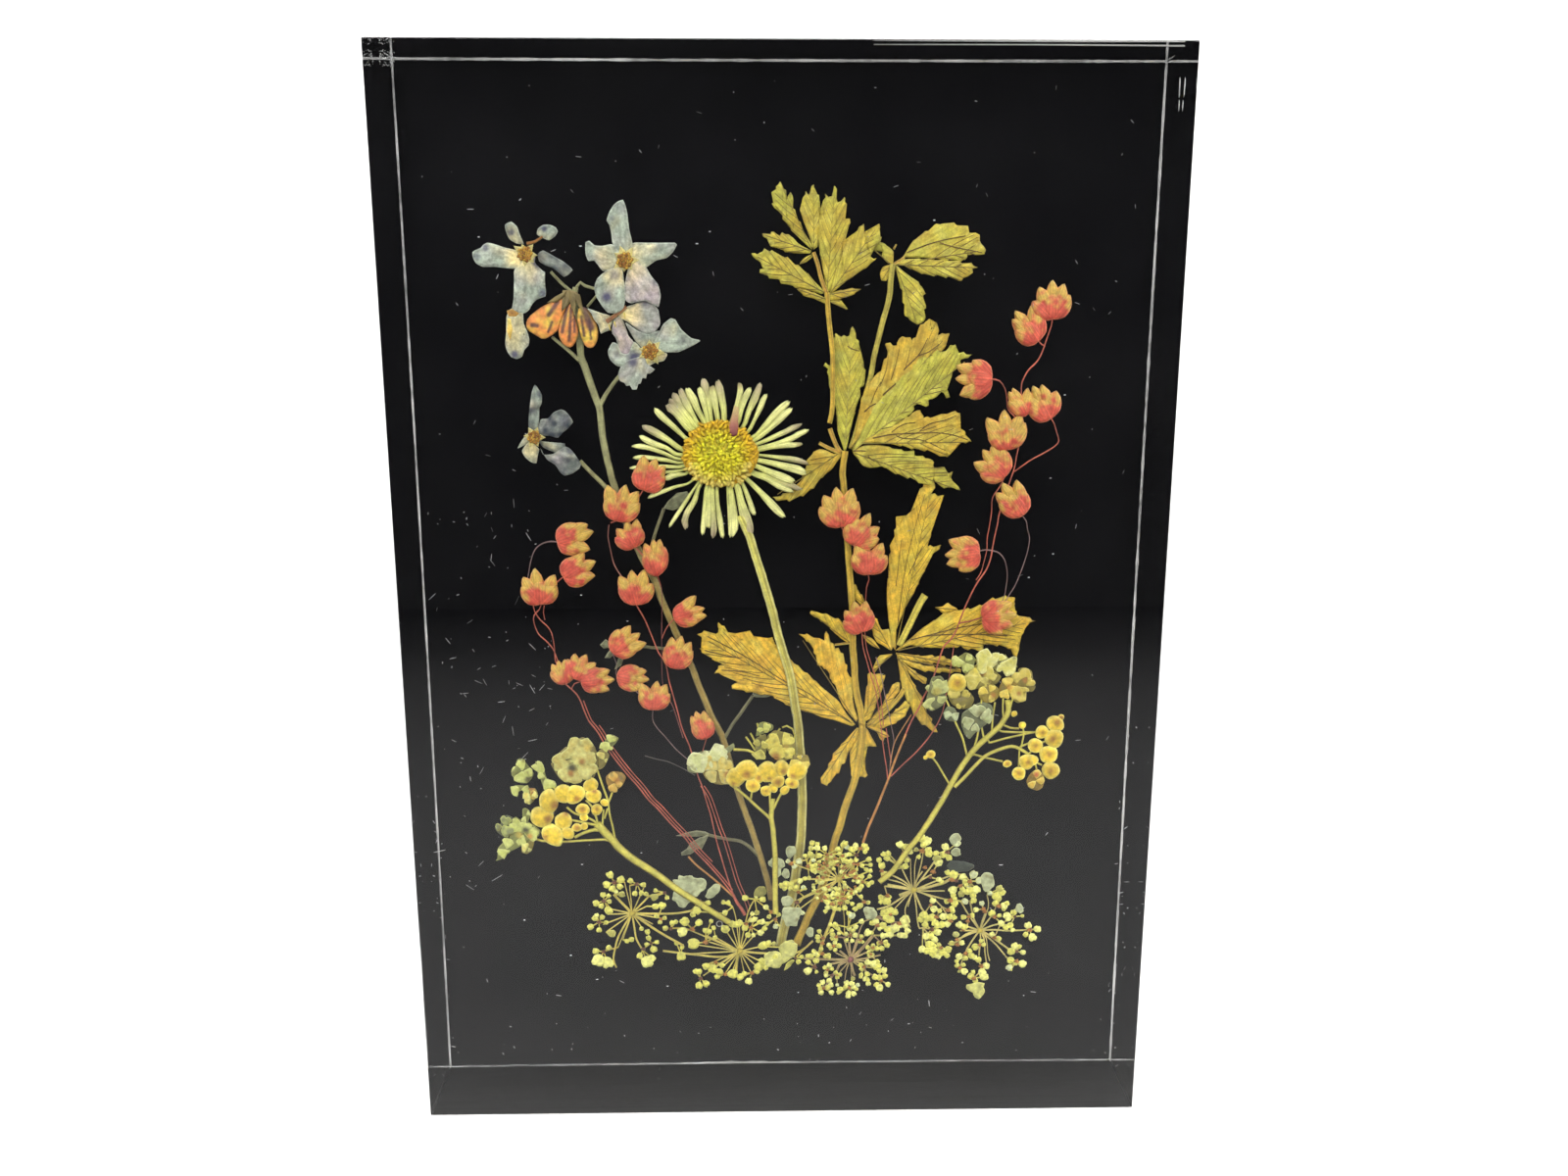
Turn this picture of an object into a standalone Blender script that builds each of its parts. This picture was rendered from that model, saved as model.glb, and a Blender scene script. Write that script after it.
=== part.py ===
"""Pressed garden flowers sealed in a clear cast block, with a black sheet glued on its back.

The block stands upright on its foot, front towards -Y. Sizes are in millimetres and become metres
where a mesh is made. Outlines are (x, z) points on the plane of the flowers: x from the middle of
the block, z up from its foot. Each pressed plant lies flat in a band of its own depth.
"""

import math

import bmesh
import bpy

MM = 0.001

# Driving dimensions
BLOCK_WIDTH = 127.0
BLOCK_HEIGHT = 181.8
CLEAR_DEPTH = 25.4
BACKING_DEPTH = 1.9
GAP = 0.3
FLOWER_DEPTH = 14.0
POCKET_MARGIN = 10.0
POCKET_DEPTH = 2.7
PETAL = 0.3
BAND_PITCH = 0.65

FRONT = -(CLEAR_DEPTH + GAP + BACKING_DEPTH) / 2
FLOWER_PLANE = FRONT + FLOWER_DEPTH
CLEAR_BACK = FRONT + CLEAR_DEPTH

# Depth bands, from the front of the block to its back
CLUSTER_BAND, UMBEL_FRONT_BAND, UMBEL_BACK_BAND = -3, -2, -1
GRASS_BAND, DAISY_BAND, LEAF_BAND, STEM_BAND = 0, 1, 2, 3


# ---------------------------------------------------------------- shapes

def clear_scene():
    for obj in list(bpy.data.objects):
        bpy.data.objects.remove(obj, do_unlink=True)


def surface(name, colour, roughness, **more):
    material = bpy.data.materials.new(name)
    material.use_nodes = True
    shader = material.node_tree.nodes["Principled BSDF"]
    shader.inputs["Base Color"].default_value = (*colour, 1.0)
    shader.inputs["Roughness"].default_value = roughness
    for socket, value in more.items():
        shader.inputs[socket].default_value = value
    return material


def add_object(name, bm, material):
    mesh = bpy.data.meshes.new(name)
    bmesh.ops.recalc_face_normals(bm, faces=bm.faces)
    if bm.calc_volume(signed=True) < 0:
        bmesh.ops.reverse_faces(bm, faces=bm.faces)
    bm.to_mesh(mesh)
    bm.free()
    mesh.materials.append(material)
    obj = bpy.data.objects.new(name, mesh)
    bpy.context.scene.collection.objects.link(obj)
    return obj


def plate(outline, low, high):
    """A flat closed piece of this (x, z) outline, from depth low to depth high."""
    bm = bmesh.new()
    corners = [bm.verts.new((x * MM, low * MM, z * MM)) for x, z in outline]
    face = bm.faces.new(corners)
    grown = bmesh.ops.extrude_face_region(bm, geom=[face])["geom"]
    moved = [item for item in grown if isinstance(item, bmesh.types.BMVert)]
    bmesh.ops.translate(bm, verts=moved, vec=(0, (high - low) * MM, 0))
    bmesh.ops.recalc_face_normals(bm, faces=bm.faces)
    return bm


def oval(x, z, rx, rz=None, corners=6, turn=0.0):
    rz = rx if rz is None else rz
    steps = [turn + 2 * math.pi * i / corners for i in range(corners)]
    return [(x + rx * math.cos(a), z + rz * math.sin(a)) for a in steps]


def ribbon(route, width, end_width=None):
    """The outline of a stem along its route, tapering evenly from width to end_width."""
    end_width = width if end_width is None else end_width
    left, right = [], []
    for i, (x, z) in enumerate(route):
        ahead = route[min(i + 1, len(route) - 1)]
        behind = route[max(i - 1, 0)]
        dx, dz = ahead[0] - behind[0], ahead[1] - behind[1]
        size = math.hypot(dx, dz)
        half = 0.5 * (width + (end_width - width) * i / (len(route) - 1))
        left.append((x - dz / size * half, z + dx / size * half))
        right.append((x + dz / size * half, z - dx / size * half))
    return left + right[::-1]


def ray(base, tip, width):
    """A straight thin stalk that tapers from its base to a point."""
    dx, dz = tip[0] - base[0], tip[1] - base[1]
    size = math.hypot(dx, dz)
    nx, nz = -dz / size * width / 2, dx / size * width / 2
    return [(base[0] + nx, base[1] + nz), tip, (base[0] - nx, base[1] - nz)]


def band_centre(band):
    return FLOWER_PLANE + band * BAND_PITCH


def pressed(name, outlines, band, material):
    """One pressed piece: every outline a thin plate in the same band, fused where they overlap."""
    low = band_centre(band) - PETAL / 2
    plates = []
    for i, outline in enumerate(outlines):
        plates.append(add_object(f"{name}_{i}", plate(outline, low, low + PETAL), material))
    whole = plates[0]
    others = bpy.data.collections.new(name)
    for piece in plates[1:]:
        others.objects.link(piece)
    if len(plates) > 1:
        union = whole.modifiers.new("fused", "BOOLEAN")
        union.operation = "UNION"
        union.operand_type = "COLLECTION"
        union.collection = others
        union.solver = "EXACT"
    bpy.context.view_layer.update()
    graph = bpy.context.evaluated_depsgraph_get()
    mesh = bpy.data.meshes.new_from_object(whole.evaluated_get(graph))
    for piece in plates:
        bpy.data.objects.remove(piece, do_unlink=True)
    bpy.data.collections.remove(others)
    mesh.name = name
    node = bpy.data.objects.new(name, mesh)
    bpy.context.scene.collection.objects.link(node)


# ---------------------------------------------------------------- the block

def slab(low, high):
    """A plain slab of the block's width and height between two depths."""
    half = BLOCK_WIDTH / 2
    corners = [(-half, 0), (half, 0), (half, BLOCK_HEIGHT), (-half, BLOCK_HEIGHT)]
    return plate(corners, low, high)


def clear_half(name, low, high, pocket_side, material):
    """One half of the clear block, with the flowers' pocket sunk in the face towards the other half."""
    bm = slab(low, high)
    bm.faces.ensure_lookup_table()
    face = max(bm.faces, key=lambda f: pocket_side * f.calc_center_median().y)
    bmesh.ops.inset_region(bm, faces=[face], thickness=POCKET_MARGIN * MM, use_even_offset=True)
    floor = bmesh.ops.extrude_face_region(bm, geom=[face])["geom"]
    moved = [item for item in floor if isinstance(item, bmesh.types.BMVert)]
    bmesh.ops.translate(bm, verts=moved, vec=(0, -pocket_side * POCKET_DEPTH * MM, 0))
    bmesh.ops.delete(bm, geom=[face], context="FACES_ONLY")
    return add_object(name, bm, material)


def block():
    clear = surface("clear_acrylic", (0.97, 0.98, 0.98), 0.03, IOR=1.49, Alpha=0.3)
    clear.node_tree.nodes["Principled BSDF"].inputs["Transmission Weight"].default_value = 1.0
    black = surface("black_backing", (0.012, 0.012, 0.014), 0.25)
    clear_half("clear_block_front", FRONT, FLOWER_PLANE - GAP / 2, 1, clear)
    clear_half("clear_block_back", FLOWER_PLANE + GAP / 2, CLEAR_BACK, -1, clear)
    add_object("black_backing", slab(CLEAR_BACK + GAP, CLEAR_BACK + GAP + BACKING_DEPTH), black)


# ---------------------------------------------------------------- the daisy

DISC = (-10.6, 118.0, 6.1, 5.6)
RAY_TIPS = [
    (-21.5, 125.6), (-23.7, 122.9), (-24.0, 121.2), (-25.5, 119.4), (-25.3, 117.3), (-25.9, 115.5),
    (-25.7, 114.2), (-19.2, 127.0), (-18.2, 128.3), (-15.9, 129.2), (-13.3, 130.8), (-12.1, 129.6),
    (-10.7, 130.4), (-7.5, 130.0), (-5.6, 129.3), (-3.6, 130.0), (1.2, 126.9), (1.6, 125.8),
    (3.2, 123.0), (4.5, 122.1), (3.3, 119.6), (4.3, 117.0), (4.7, 116.0), (3.9, 114.2), (3.2, 112.0),
    (0.5, 107.0), (-4.4, 108.0), (-5.3, 104.0), (-8.4, 104.0), (-9.8, 103.6), (-11.7, 103.6),
    (-13.4, 104.0), (-16.4, 105.0), (-19.2, 105.5), (-22.8, 110.5),
]
DAISY_STEM = [
    (-5.0, 102.6), (-2.6, 94), (-0.8, 87), (0.3, 83), (1.8, 77), (2.7, 71), (3.3, 64), (3.6, 56),
    (3.4, 49), (2.6, 43), (1.6, 37), (-0.3, 28),
]


def daisy():
    ray_colour = surface("daisy_ray", (0.78, 0.74, 0.42), 0.7)
    disc_colour = surface("daisy_disc", (0.80, 0.52, 0.05), 0.8)
    stem_colour = surface("daisy_stem", (0.36, 0.36, 0.16), 0.65)
    x, z, rx, rz = DISC
    rays = []
    for tip in RAY_TIPS:
        angle = math.atan2((tip[1] - z) / rz, (tip[0] - x) / rx)
        base = (x + 0.85 * rx * math.cos(angle), z + 0.85 * rz * math.sin(angle))
        (bx, bz), (tx, tz) = base, tip
        length = math.hypot(tx - bx, tz - bz)
        nx, nz = -(tz - bz) / length, (tx - bx) / length
        rays.append([(bx + 0.35 * nx, bz + 0.35 * nz), (tx + 0.5 * nx, tz + 0.5 * nz),
                     (tx - 0.5 * nx, tz - 0.5 * nz), (bx - 0.35 * nx, bz - 0.35 * nz)])
    pressed("daisy_rays", [oval(x, z, rx, rz, 24)] + rays, DAISY_BAND, ray_colour)
    dome(x, z, rx - 0.2, rz - 0.2, disc_colour)
    pressed("daisy_stem", [ribbon(DAISY_STEM, 1.4, 1.8)], DAISY_BAND, stem_colour)


def dome(x, z, rx, rz, material):
    """The daisy's yellow middle: a low cushion on the rays, in four rings."""
    back = band_centre(DAISY_BAND) - PETAL / 2 - GAP - 0.03
    rise = 1.3
    bm = bmesh.new()
    bmesh.ops.create_uvsphere(bm, u_segments=16, v_segments=8, radius=1.0)
    keep = bmesh.ops.bisect_plane(bm, geom=bm.verts[:] + bm.edges[:] + bm.faces[:],
                                  plane_co=(0, 0, 0), plane_no=(0, 0, -1), clear_outer=True)
    rim = [item for item in keep["geom_cut"] if isinstance(item, bmesh.types.BMEdge)]
    bmesh.ops.contextual_create(bm, geom=rim)
    for vert in bm.verts:
        across, up, out = vert.co
        vert.co = ((x + rx * across) * MM, (back - rise * out) * MM, (z + rz * up) * MM)
    add_object("daisy_disc", bm, material)


# ---------------------------------------------------------------- the lobed leaves

TOP_LEFT_LEAF = [
    [(7.4, 143.9), (6.9, 147.5), (6.4, 150), (5.9, 153.5), (5.6, 156.5), (6.1, 157.4), (6.7, 157),
     (7.0, 160.2), (7.8, 159.6), (8.6, 161.5), (9.1, 159.0), (10.2, 159.7), (10.4, 158.9),
     (9.9, 156.0), (11.1, 156.4), (10.9, 155.2), (10.1, 152.8), (9.6, 150), (8.9, 147.5), (8.0, 144)],
    [(7.9, 144.2), (8.6, 147.5), (9.3, 149.5), (9.9, 152.6), (10.7, 152.8), (11.1, 153.4),
     (11.6, 152.3), (12.2, 154), (13.3, 155.6), (13.8, 154.0), (15.8, 155.4), (16.0, 154.9),
     (15.2, 153.2), (16.4, 153.5), (15.4, 152), (13.6, 150.3), (15.4, 150.0), (14.4, 149.0),
     (12.5, 147.8), (10.5, 146.3), (8.4, 144.2)],
    [(7.2, 144.7), (5.4, 146.3), (4.0, 147.8), (2.0, 149.3), (-2.9, 151.6), (-2.7, 150.4),
     (-4.8, 150.7), (-3.2, 149.0), (-2.1, 148.6), (-3.8, 147.9), (-2.4, 147.1), (2.2, 145.4),
     (4.5, 144.7), (7.2, 143.9)],
    [(7.8, 143.8), (4.6, 144.8), (2.4, 145.2), (3.6, 144.1), (7.4, 142.7)],
    [(7.4, 144.3), (10, 145.0), (13.1, 145.1), (12.2, 144.3), (7.4, 143.2)],
    [(7.4, 143.4), (9.8, 143.2), (10.9, 141.8), (9.6, 142.3), (7.6, 142.6)],
    [(5.0, 151.3), (3.6, 152.5), (2.2, 153.8), (0, 156.6), (-1.8, 158.7), (-0.9, 158.8),
     (-1.8, 160.4), (-0.3, 162.0), (0.4, 161.0), (0.8, 159.4), (1.4, 160.2), (2.0, 157.6),
     (3.6, 154.2), (5.6, 151.6)],
    [(4.8, 151.2), (4.2, 154.2), (2.9, 157.8), (3.5, 157.5), (3.8, 160.5), (4.3, 159.9), (5.1, 161.5),
     (5.3, 160.0), (5.8, 160.2), (6.2, 157.0), (6.0, 154.5), (6.0, 151.2)],
    [(5.4, 151.4), (2.9, 152.2), (0.6, 153.9), (-0.4, 153.6), (-3.3, 153.9), (-1.4, 152.8),
     (-2.1, 152.1), (0.2, 151.2), (2, 150.6), (5.4, 150.6)],
]
TOP_LEFT_STALKS = [
    [(5.2, 151.3), (5.9, 149), (6.4, 147), (7.4, 144.2)],
    [(7.5, 144.2), (7.9, 139), (8.4, 135), (8.5, 126.5), (8.0, 123.2)],
]
TOP_RIGHT_LEAF = [
    [(18.6, 148.9), (21.0, 152.0), (23.6, 154.3), (26.3, 155.7), (29.6, 155.3), (30.8, 154.9),
     (30.9, 154.2), (32.4, 153.7), (31.8, 152.8), (33.4, 151.4), (33.3, 150.8), (30.6, 150.8),
     (30.3, 149.7), (25, 149.8), (19.2, 149.5)],
    [(18.8, 149.4), (23, 150.2), (27, 149.9), (31.2, 149.2), (32.4, 148.6), (31.4, 147.9),
     (30.1, 146.8), (29.2, 146.6), (25.5, 147.3), (21.5, 148.1), (19, 148.7)],
    [(18.6, 149.0), (20.2, 147.9), (23.2, 145.6), (23.9, 142.5), (23.2, 141.4), (23.9, 140.5),
     (22.6, 139.5), (21.2, 140.1), (20.2, 143), (19.4, 146.2), (18.6, 148.2)],
    [(15.2, 151.4), (15.9, 152.7), (17.3, 152.1), (18.7, 151.2), (18.8, 148.6), (17.2, 149.4),
     (16.4, 150.4)],
    [(18.4, 149.0), (16.7, 148.7), (16.2, 147.4), (16.5, 146.5), (17.5, 146.4), (18.4, 147.5)],
]
TOP_RIGHT_STALK = [(18.4, 149.2), (17.9, 144.5), (16.8, 140), (15.5, 134.5), (14.2, 128), (11.7, 119)]
MIDDLE_LEAF = [
    [(10.3, 118.2), (9.4, 121.8), (9.1, 125.3), (8.0, 130.5), (6.9, 132.6), (8.2, 132.8),
     (8.7, 136.5), (9.0, 138.0), (11.2, 137.6), (11.7, 138.9), (13.3, 135.1), (13.2, 133.2),
     (13.8, 132.7), (13.8, 130.5), (13.0, 128.9), (13.0, 127.5), (12.2, 124.5), (11.2, 118.8)],
    [(11.0, 118.2), (12.2, 121), (13.4, 127.9), (16.1, 131.5), (17.6, 135.2), (17.4, 136.6),
     (18.8, 135.2), (20, 137.4), (21.4, 137.4), (21.8, 136.7), (23.6, 139.6), (24.6, 140.3),
     (24.9, 138.3), (25.6, 139.9), (25.9, 137.6), (27.8, 138.1), (27.0, 135.1), (29.0, 136.2),
     (28.5, 134.5), (32.0, 134.4), (29.8, 133.3), (26.9, 129.6), (28.0, 127.5), (26.2, 128.2),
     (25.7, 127.2), (23.8, 127.2), (24.8, 126.1), (21.8, 125), (23.8, 124.7), (20, 122.4),
     (14, 120), (11.4, 118.4)],
    [(11.4, 118.4), (14.5, 121), (22.5, 123.4), (28.5, 124.9), (30.1, 124.9), (28.0, 122.3),
     (30.6, 121.8), (32.1, 120.0), (26.4, 120.2), (28, 118.6), (28.2, 117.3), (24.6, 118.4),
     (17.5, 119.7), (11.6, 118.6)],
    [(10.8, 118.6), (14, 119.3), (18, 118.9), (24.9, 117.3), (25.9, 115.9), (29.1, 115.0),
     (28.5, 114.2), (30.1, 111.9), (27.6, 112), (25.8, 113.3), (24.5, 112.6), (22, 113.7),
     (16.8, 115.8), (13.9, 116.1), (11.2, 118.0)],
    [(10.6, 118.8), (8.8, 118.2), (6.4, 118.7), (4.6, 117.3), (3.8, 115), (1.8, 111.8), (-1.6, 110.5),
     (1.2, 110), (5.0, 111.8), (8.4, 115.2), (9.4, 116.8), (10.6, 117.9)],
]
RIGHT_LEAF = [
    [(20.6, 83.0), (19.0, 86.5), (18.3, 92), (18.7, 99.5), (19.3, 102.4), (19.7, 106.9), (20.8, 106.3),
     (22.6, 108.8), (24.4, 113), (25.8, 113), (25.7, 111), (27.8, 110.8), (25.1, 106.9),
     (25.3, 101.9), (27.6, 102.1), (25.2, 99.3), (23.6, 95), (21.5, 91), (20.6, 87)],
    [(20.2, 83.4), (16.5, 88), (12.9, 95.1), (13.1, 92.4), (15.5, 87.5), (17, 83), (20.2, 82.4)],
    [(20.0, 83.6), (24.5, 87.3), (28.2, 89.9), (32.5, 90.8), (36.5, 92.5), (39.3, 93.0), (40.6, 92.7),
     (40.4, 91.3), (44.4, 88.6), (42.6, 87.2), (41.5, 85.9), (41.3, 81.7), (37.8, 84.2),
     (35.2, 84.4), (35.6, 83.0), (31.5, 84), (24.3, 83.8), (20, 82.6)],
    [(20.0, 82.9), (24, 82.4), (29.3, 81.9), (32, 80.6), (26, 80.9), (20.4, 82.0)],
    [(20.0, 82.3), (27, 80.6), (31.7, 79.7), (31.5, 79.3), (25, 79.6), (20, 81.4)],
    [(20.0, 82.0), (23.5, 79.7), (25.5, 78.2), (24.9, 77.3), (22.2, 79), (20.2, 81)],
    [(19.9, 82.6), (20.9, 78), (22.2, 74), (24.0, 70.8), (27.5, 68.4), (24.8, 74.5), (22.7, 78.3),
     (21.4, 82.2)],
    [(16.3, 79.2), (17.1, 82.9), (19.9, 82.9), (18.3, 81.5)],
]
RIGHT_STUB = [(20.6, 84.0), (22.5, 88.5), (24.9, 93.3)]
LOWER_LEAF = [
    [(13.4, 70.3), (10.0, 74.2), (6.5, 77.3), (2.2, 81.2), (-2.0, 86.0), (-2.6, 83.7), (-5.6, 86.9),
     (-6.4, 85.3), (-8.8, 86.3), (-11.1, 88.7), (-10.8, 86.0), (-14.8, 86.5), (-10.9, 84.1),
     (-14.4, 83.9), (-9.4, 80.9), (-11.9, 79.4), (-6.6, 78.1), (-9.0, 76.9), (-1.6, 75.1),
     (5.0, 72.2), (13.4, 69.2)],
    [(13.8, 70.4), (12, 71.8), (9.8, 76.3), (8.3, 78.4), (7.8, 80.2), (6.2, 80.8), (5.4, 83.6),
     (2.9, 86.5), (7.4, 85.3), (7.6, 86.8), (9.3, 83.8), (10.6, 82.8), (12.4, 77.5), (14, 71.3)],
    [(4.8, 90.5), (8, 89.9), (11, 88), (12.6, 86.5), (12.6, 84.5), (9.5, 86.3), (6.8, 88.8)],
    [(13.9, 70), (14.6, 73), (15.1, 78.5), (15.3, 79.6), (18.1, 79), (16.6, 73.5), (14.8, 70)],
    [(14.3, 69.6), (17.5, 73.3), (20.0, 77.7), (20.8, 77.5), (18.3, 72.2), (15, 69.4)],
    [(14.2, 69.8), (18.5, 71.4), (21.8, 74.2), (22.6, 73.5), (20.8, 70.6), (14.4, 68.8)],
    [(14.2, 70), (11.5, 67.3), (9.0, 64.2), (6.9, 59.0), (8.1, 58.4), (10.6, 62.2), (13.8, 68)],
    [(13.2, 69.5), (12.3, 62.3), (12.8, 59.9), (15.2, 60.1), (14.5, 65.3), (16.7, 65.9), (14.6, 69.5)],
]
MAIN_STALK = [
    (10.6, 117), (10.5, 112.5), (11.2, 104), (11.9, 95), (12.3, 87), (12.7, 81), (13.2, 75.5),
    (14.2, 70), (14.3, 68), (13.2, 60.5), (10.9, 53), (9.6, 48.5), (7.0, 38.5), (4.3, 32.2), (2.6, 27.8),
]


def lobed_leaves():
    olive = surface("olive_leaf", (0.55, 0.45, 0.09), 0.75)
    gold = surface("golden_leaf", (0.62, 0.40, 0.08), 0.75)
    stalks = [ribbon(route, 0.8) for route in TOP_LEFT_STALKS]
    pressed("leaf_top_left", TOP_LEFT_LEAF + stalks, DAISY_BAND, olive)
    pressed("leaf_top_right", TOP_RIGHT_LEAF + [ribbon(TOP_RIGHT_STALK, 0.8)], STEM_BAND, olive)
    pressed("leaf_middle", MIDDLE_LEAF + [oval(10.8, 118.7, 1.1)], LEAF_BAND, olive)
    pressed("leaf_right", RIGHT_LEAF + [ribbon(RIGHT_STUB, 1.2)], STEM_BAND, gold)
    pressed("leaf_lower", LOWER_LEAF + [ribbon(MAIN_STALK, 1.1, 1.5)], LEAF_BAND, gold)


# ---------------------------------------------------------------- the blue-flowered plant

BLUE_FLOWERS = {
    "blue_flower_left": (GRASS_BAND, [
        [(-41, 147), (-48.8, 148.6), (-50.3, 150.1), (-49.9, 151.2), (-48.6, 152), (-46.5, 152.1),
         (-41, 151.4)],
        [(-42.6, 150), (-44.8, 154.2), (-44.9, 155.2), (-43.9, 155.7), (-41.4, 151)],
        [(-42.2, 151.2), (-40, 154), (-38.7, 155.2), (-36.4, 154.2), (-37.9, 152.8), (-40.6, 150.6)],
        [(-41.8, 151), (-37, 150.2), (-34.2, 148.1), (-35.7, 147), (-39.4, 149.2), (-42, 149.6)],
        [(-43.7, 150.6), (-43.6, 146), (-44.2, 142), (-45.3, 140.6), (-45.5, 135.2), (-43.9, 133.8),
         (-41.9, 136), (-42.4, 141.2), (-38.8, 143.9), (-38.7, 147.6), (-40.2, 150.6)],
    ]),
    "blue_flower_top": (UMBEL_BACK_BAND, [
        [(-27.5, 149), (-28, 155.2), (-28.4, 155.9), (-27.2, 158.3), (-25.7, 159.1), (-25, 156.8),
         (-24.0, 149.4)],
        [(-25.6, 151.3), (-29.2, 151.9), (-31.3, 152.7), (-31.5, 149.5), (-30.1, 149), (-25.6, 147.8)],
        [(-26, 151.6), (-22, 152.4), (-17.4, 152.4), (-18.8, 150), (-22.2, 148.5), (-26, 148.2)],
        [(-25.4, 150), (-28.8, 147.9), (-30.7, 145.2), (-30.4, 143.8), (-28.6, 141.5), (-26.1, 142.2),
         (-24.8, 143.2), (-22.5, 143.2), (-20.3, 142.2), (-20.3, 145.8), (-22.3, 148.7)],
    ]),
    "blue_flower_middle": (GRASS_BAND, [
        [(-27.4, 141), (-32, 142), (-31.4, 141.2), (-29.9, 137.9), (-28, 138)],
        [(-28.0, 140), (-25.8, 142.1), (-22.6, 143.2), (-20.4, 141.8), (-20.2, 139.2), (-22.5, 137.8),
         (-27, 139.5)],
        [(-28.4, 140.6), (-27.4, 137), (-26.9, 134.9), (-26, 134.2), (-24.6, 135.5), (-26.4, 140.6)],
    ]),
    "blue_flower_right": (UMBEL_BACK_BAND, [
        [(-22.6, 136.8), (-18.3, 140.4), (-17.6, 140.2), (-15, 137.2), (-13.5, 136.8), (-17.2, 134.9),
         (-22.6, 133.8)],
        [(-21.2, 134.5), (-25.8, 139.7), (-22, 138), (-20.3, 138.4), (-20, 134.5)],
        [(-21.2, 133.4), (-25.5, 133), (-28.4, 133.6), (-28, 136.5), (-24.4, 136.5), (-21.2, 136.4)],
        [(-22.6, 135.6), (-26.8, 132.4), (-26.9, 130.2), (-24.9, 128.8), (-23.5, 129.8), (-20, 133.5)],
    ]),
    "blue_flower_low": (GRASS_BAND, [
        [(-42.6, 120.4), (-42, 126.5), (-41.1, 129.6), (-40, 127.9), (-40.4, 120.6)],
        [(-41.4, 120.6), (-40.4, 123.8), (-37, 125.5), (-35, 123.4), (-37.6, 120.8), (-41, 119.6)],
        [(-42, 121.4), (-38.5, 120), (-36.5, 119.8), (-34.6, 117.6), (-33.9, 116.3), (-36.8, 114.4),
         (-39.6, 117.2), (-41.6, 119.4)],
        [(-41.2, 121.2), (-44.4, 119), (-43.2, 117.5), (-41.4, 116.5), (-40.6, 120.6)],
    ]),
    "blue_flower_buds": (DAISY_BAND, [
        [(-36, 143.9), (-40, 142), (-42.3, 139.4), (-42, 138.4), (-39.5, 136.9), (-36.9, 139)],
        [(-37.2, 141.5), (-36.6, 136.6), (-34.9, 135.6), (-33.6, 138), (-34.6, 143.2), (-36.4, 143.6)],
        [(-35.4, 141.8), (-33.6, 138.8), (-32.5, 135.7), (-31.5, 135.5), (-30.5, 139.2), (-32, 142),
         (-34.6, 143.4)],
        [(-36.4, 142.2), (-36, 144.6), (-34, 144.6), (-33, 142)],
    ]),
}
BLUE_STEM = [
    (-33.6, 136.8), (-33, 132.8), (-31.3, 127.5), (-30.3, 121), (-28.7, 113), (-26.6, 106),
    (-23.2, 98.3), (-20.2, 91), (-17.2, 83.5), (-14.8, 77.5), (-10.4, 67), (-7.6, 56.5),
    (-4.7, 47.5), (-2, 36.5),
]
BLUE_TWIGS = [
    [(-30.9, 125.9), (-28.5, 129.4), (-27.2, 131)],
    [(-34.2, 116.8), (-31, 113.4), (-28.4, 110.5)],
    [(-18, 108.9), (-21, 106.5), (-24.6, 102.6)],
    [(-3, 76.4), (-6.3, 73.6), (-10.2, 66.9)],
    [(-15.6, 48.4), (-9.5, 48.3), (-6, 46.9), (-4.6, 45.2)],
    [(-30, 83.4), (-24.3, 84.3), (-17.6, 83.7)],
]
BLUE_SIDE_BUDS = [
    [(-20.4, 108.2), (-20, 110.5), (-18.5, 111.5), (-16.4, 110.8), (-16, 109.2), (-18, 108)],
    [(-5.3, 75.3), (-3.5, 79.2), (-2.4, 80), (0.4, 77.8), (0.2, 76.7), (-1.6, 75.3)],
    [(-18.3, 48), (-15.5, 50), (-13.9, 49.8), (-12.7, 48.9), (-14.6, 46.3), (-17.2, 46.6)],
    [(-31.7, 84.4), (-30, 84.9), (-27.4, 82.6), (-29.3, 80.2), (-31, 82)],
]


def blue_plant():
    petal = surface("blue_petal", (0.47, 0.52, 0.58), 0.6)
    bud = surface("orange_bud", (0.65, 0.36, 0.12), 0.65)
    green = surface("grey_green_stem", (0.40, 0.42, 0.26), 0.7)
    for name, (band, outlines) in BLUE_FLOWERS.items():
        pressed(name, outlines, band, bud if name.endswith("buds") else petal)
    stalks = [ribbon(BLUE_STEM, 1.2, 1.0)] + [ribbon(route, 0.6) for route in BLUE_TWIGS]
    pressed("blue_flower_stem", stalks + BLUE_SIDE_BUDS, STEM_BAND, green)


# ---------------------------------------------------------------- the quaking grass

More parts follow.
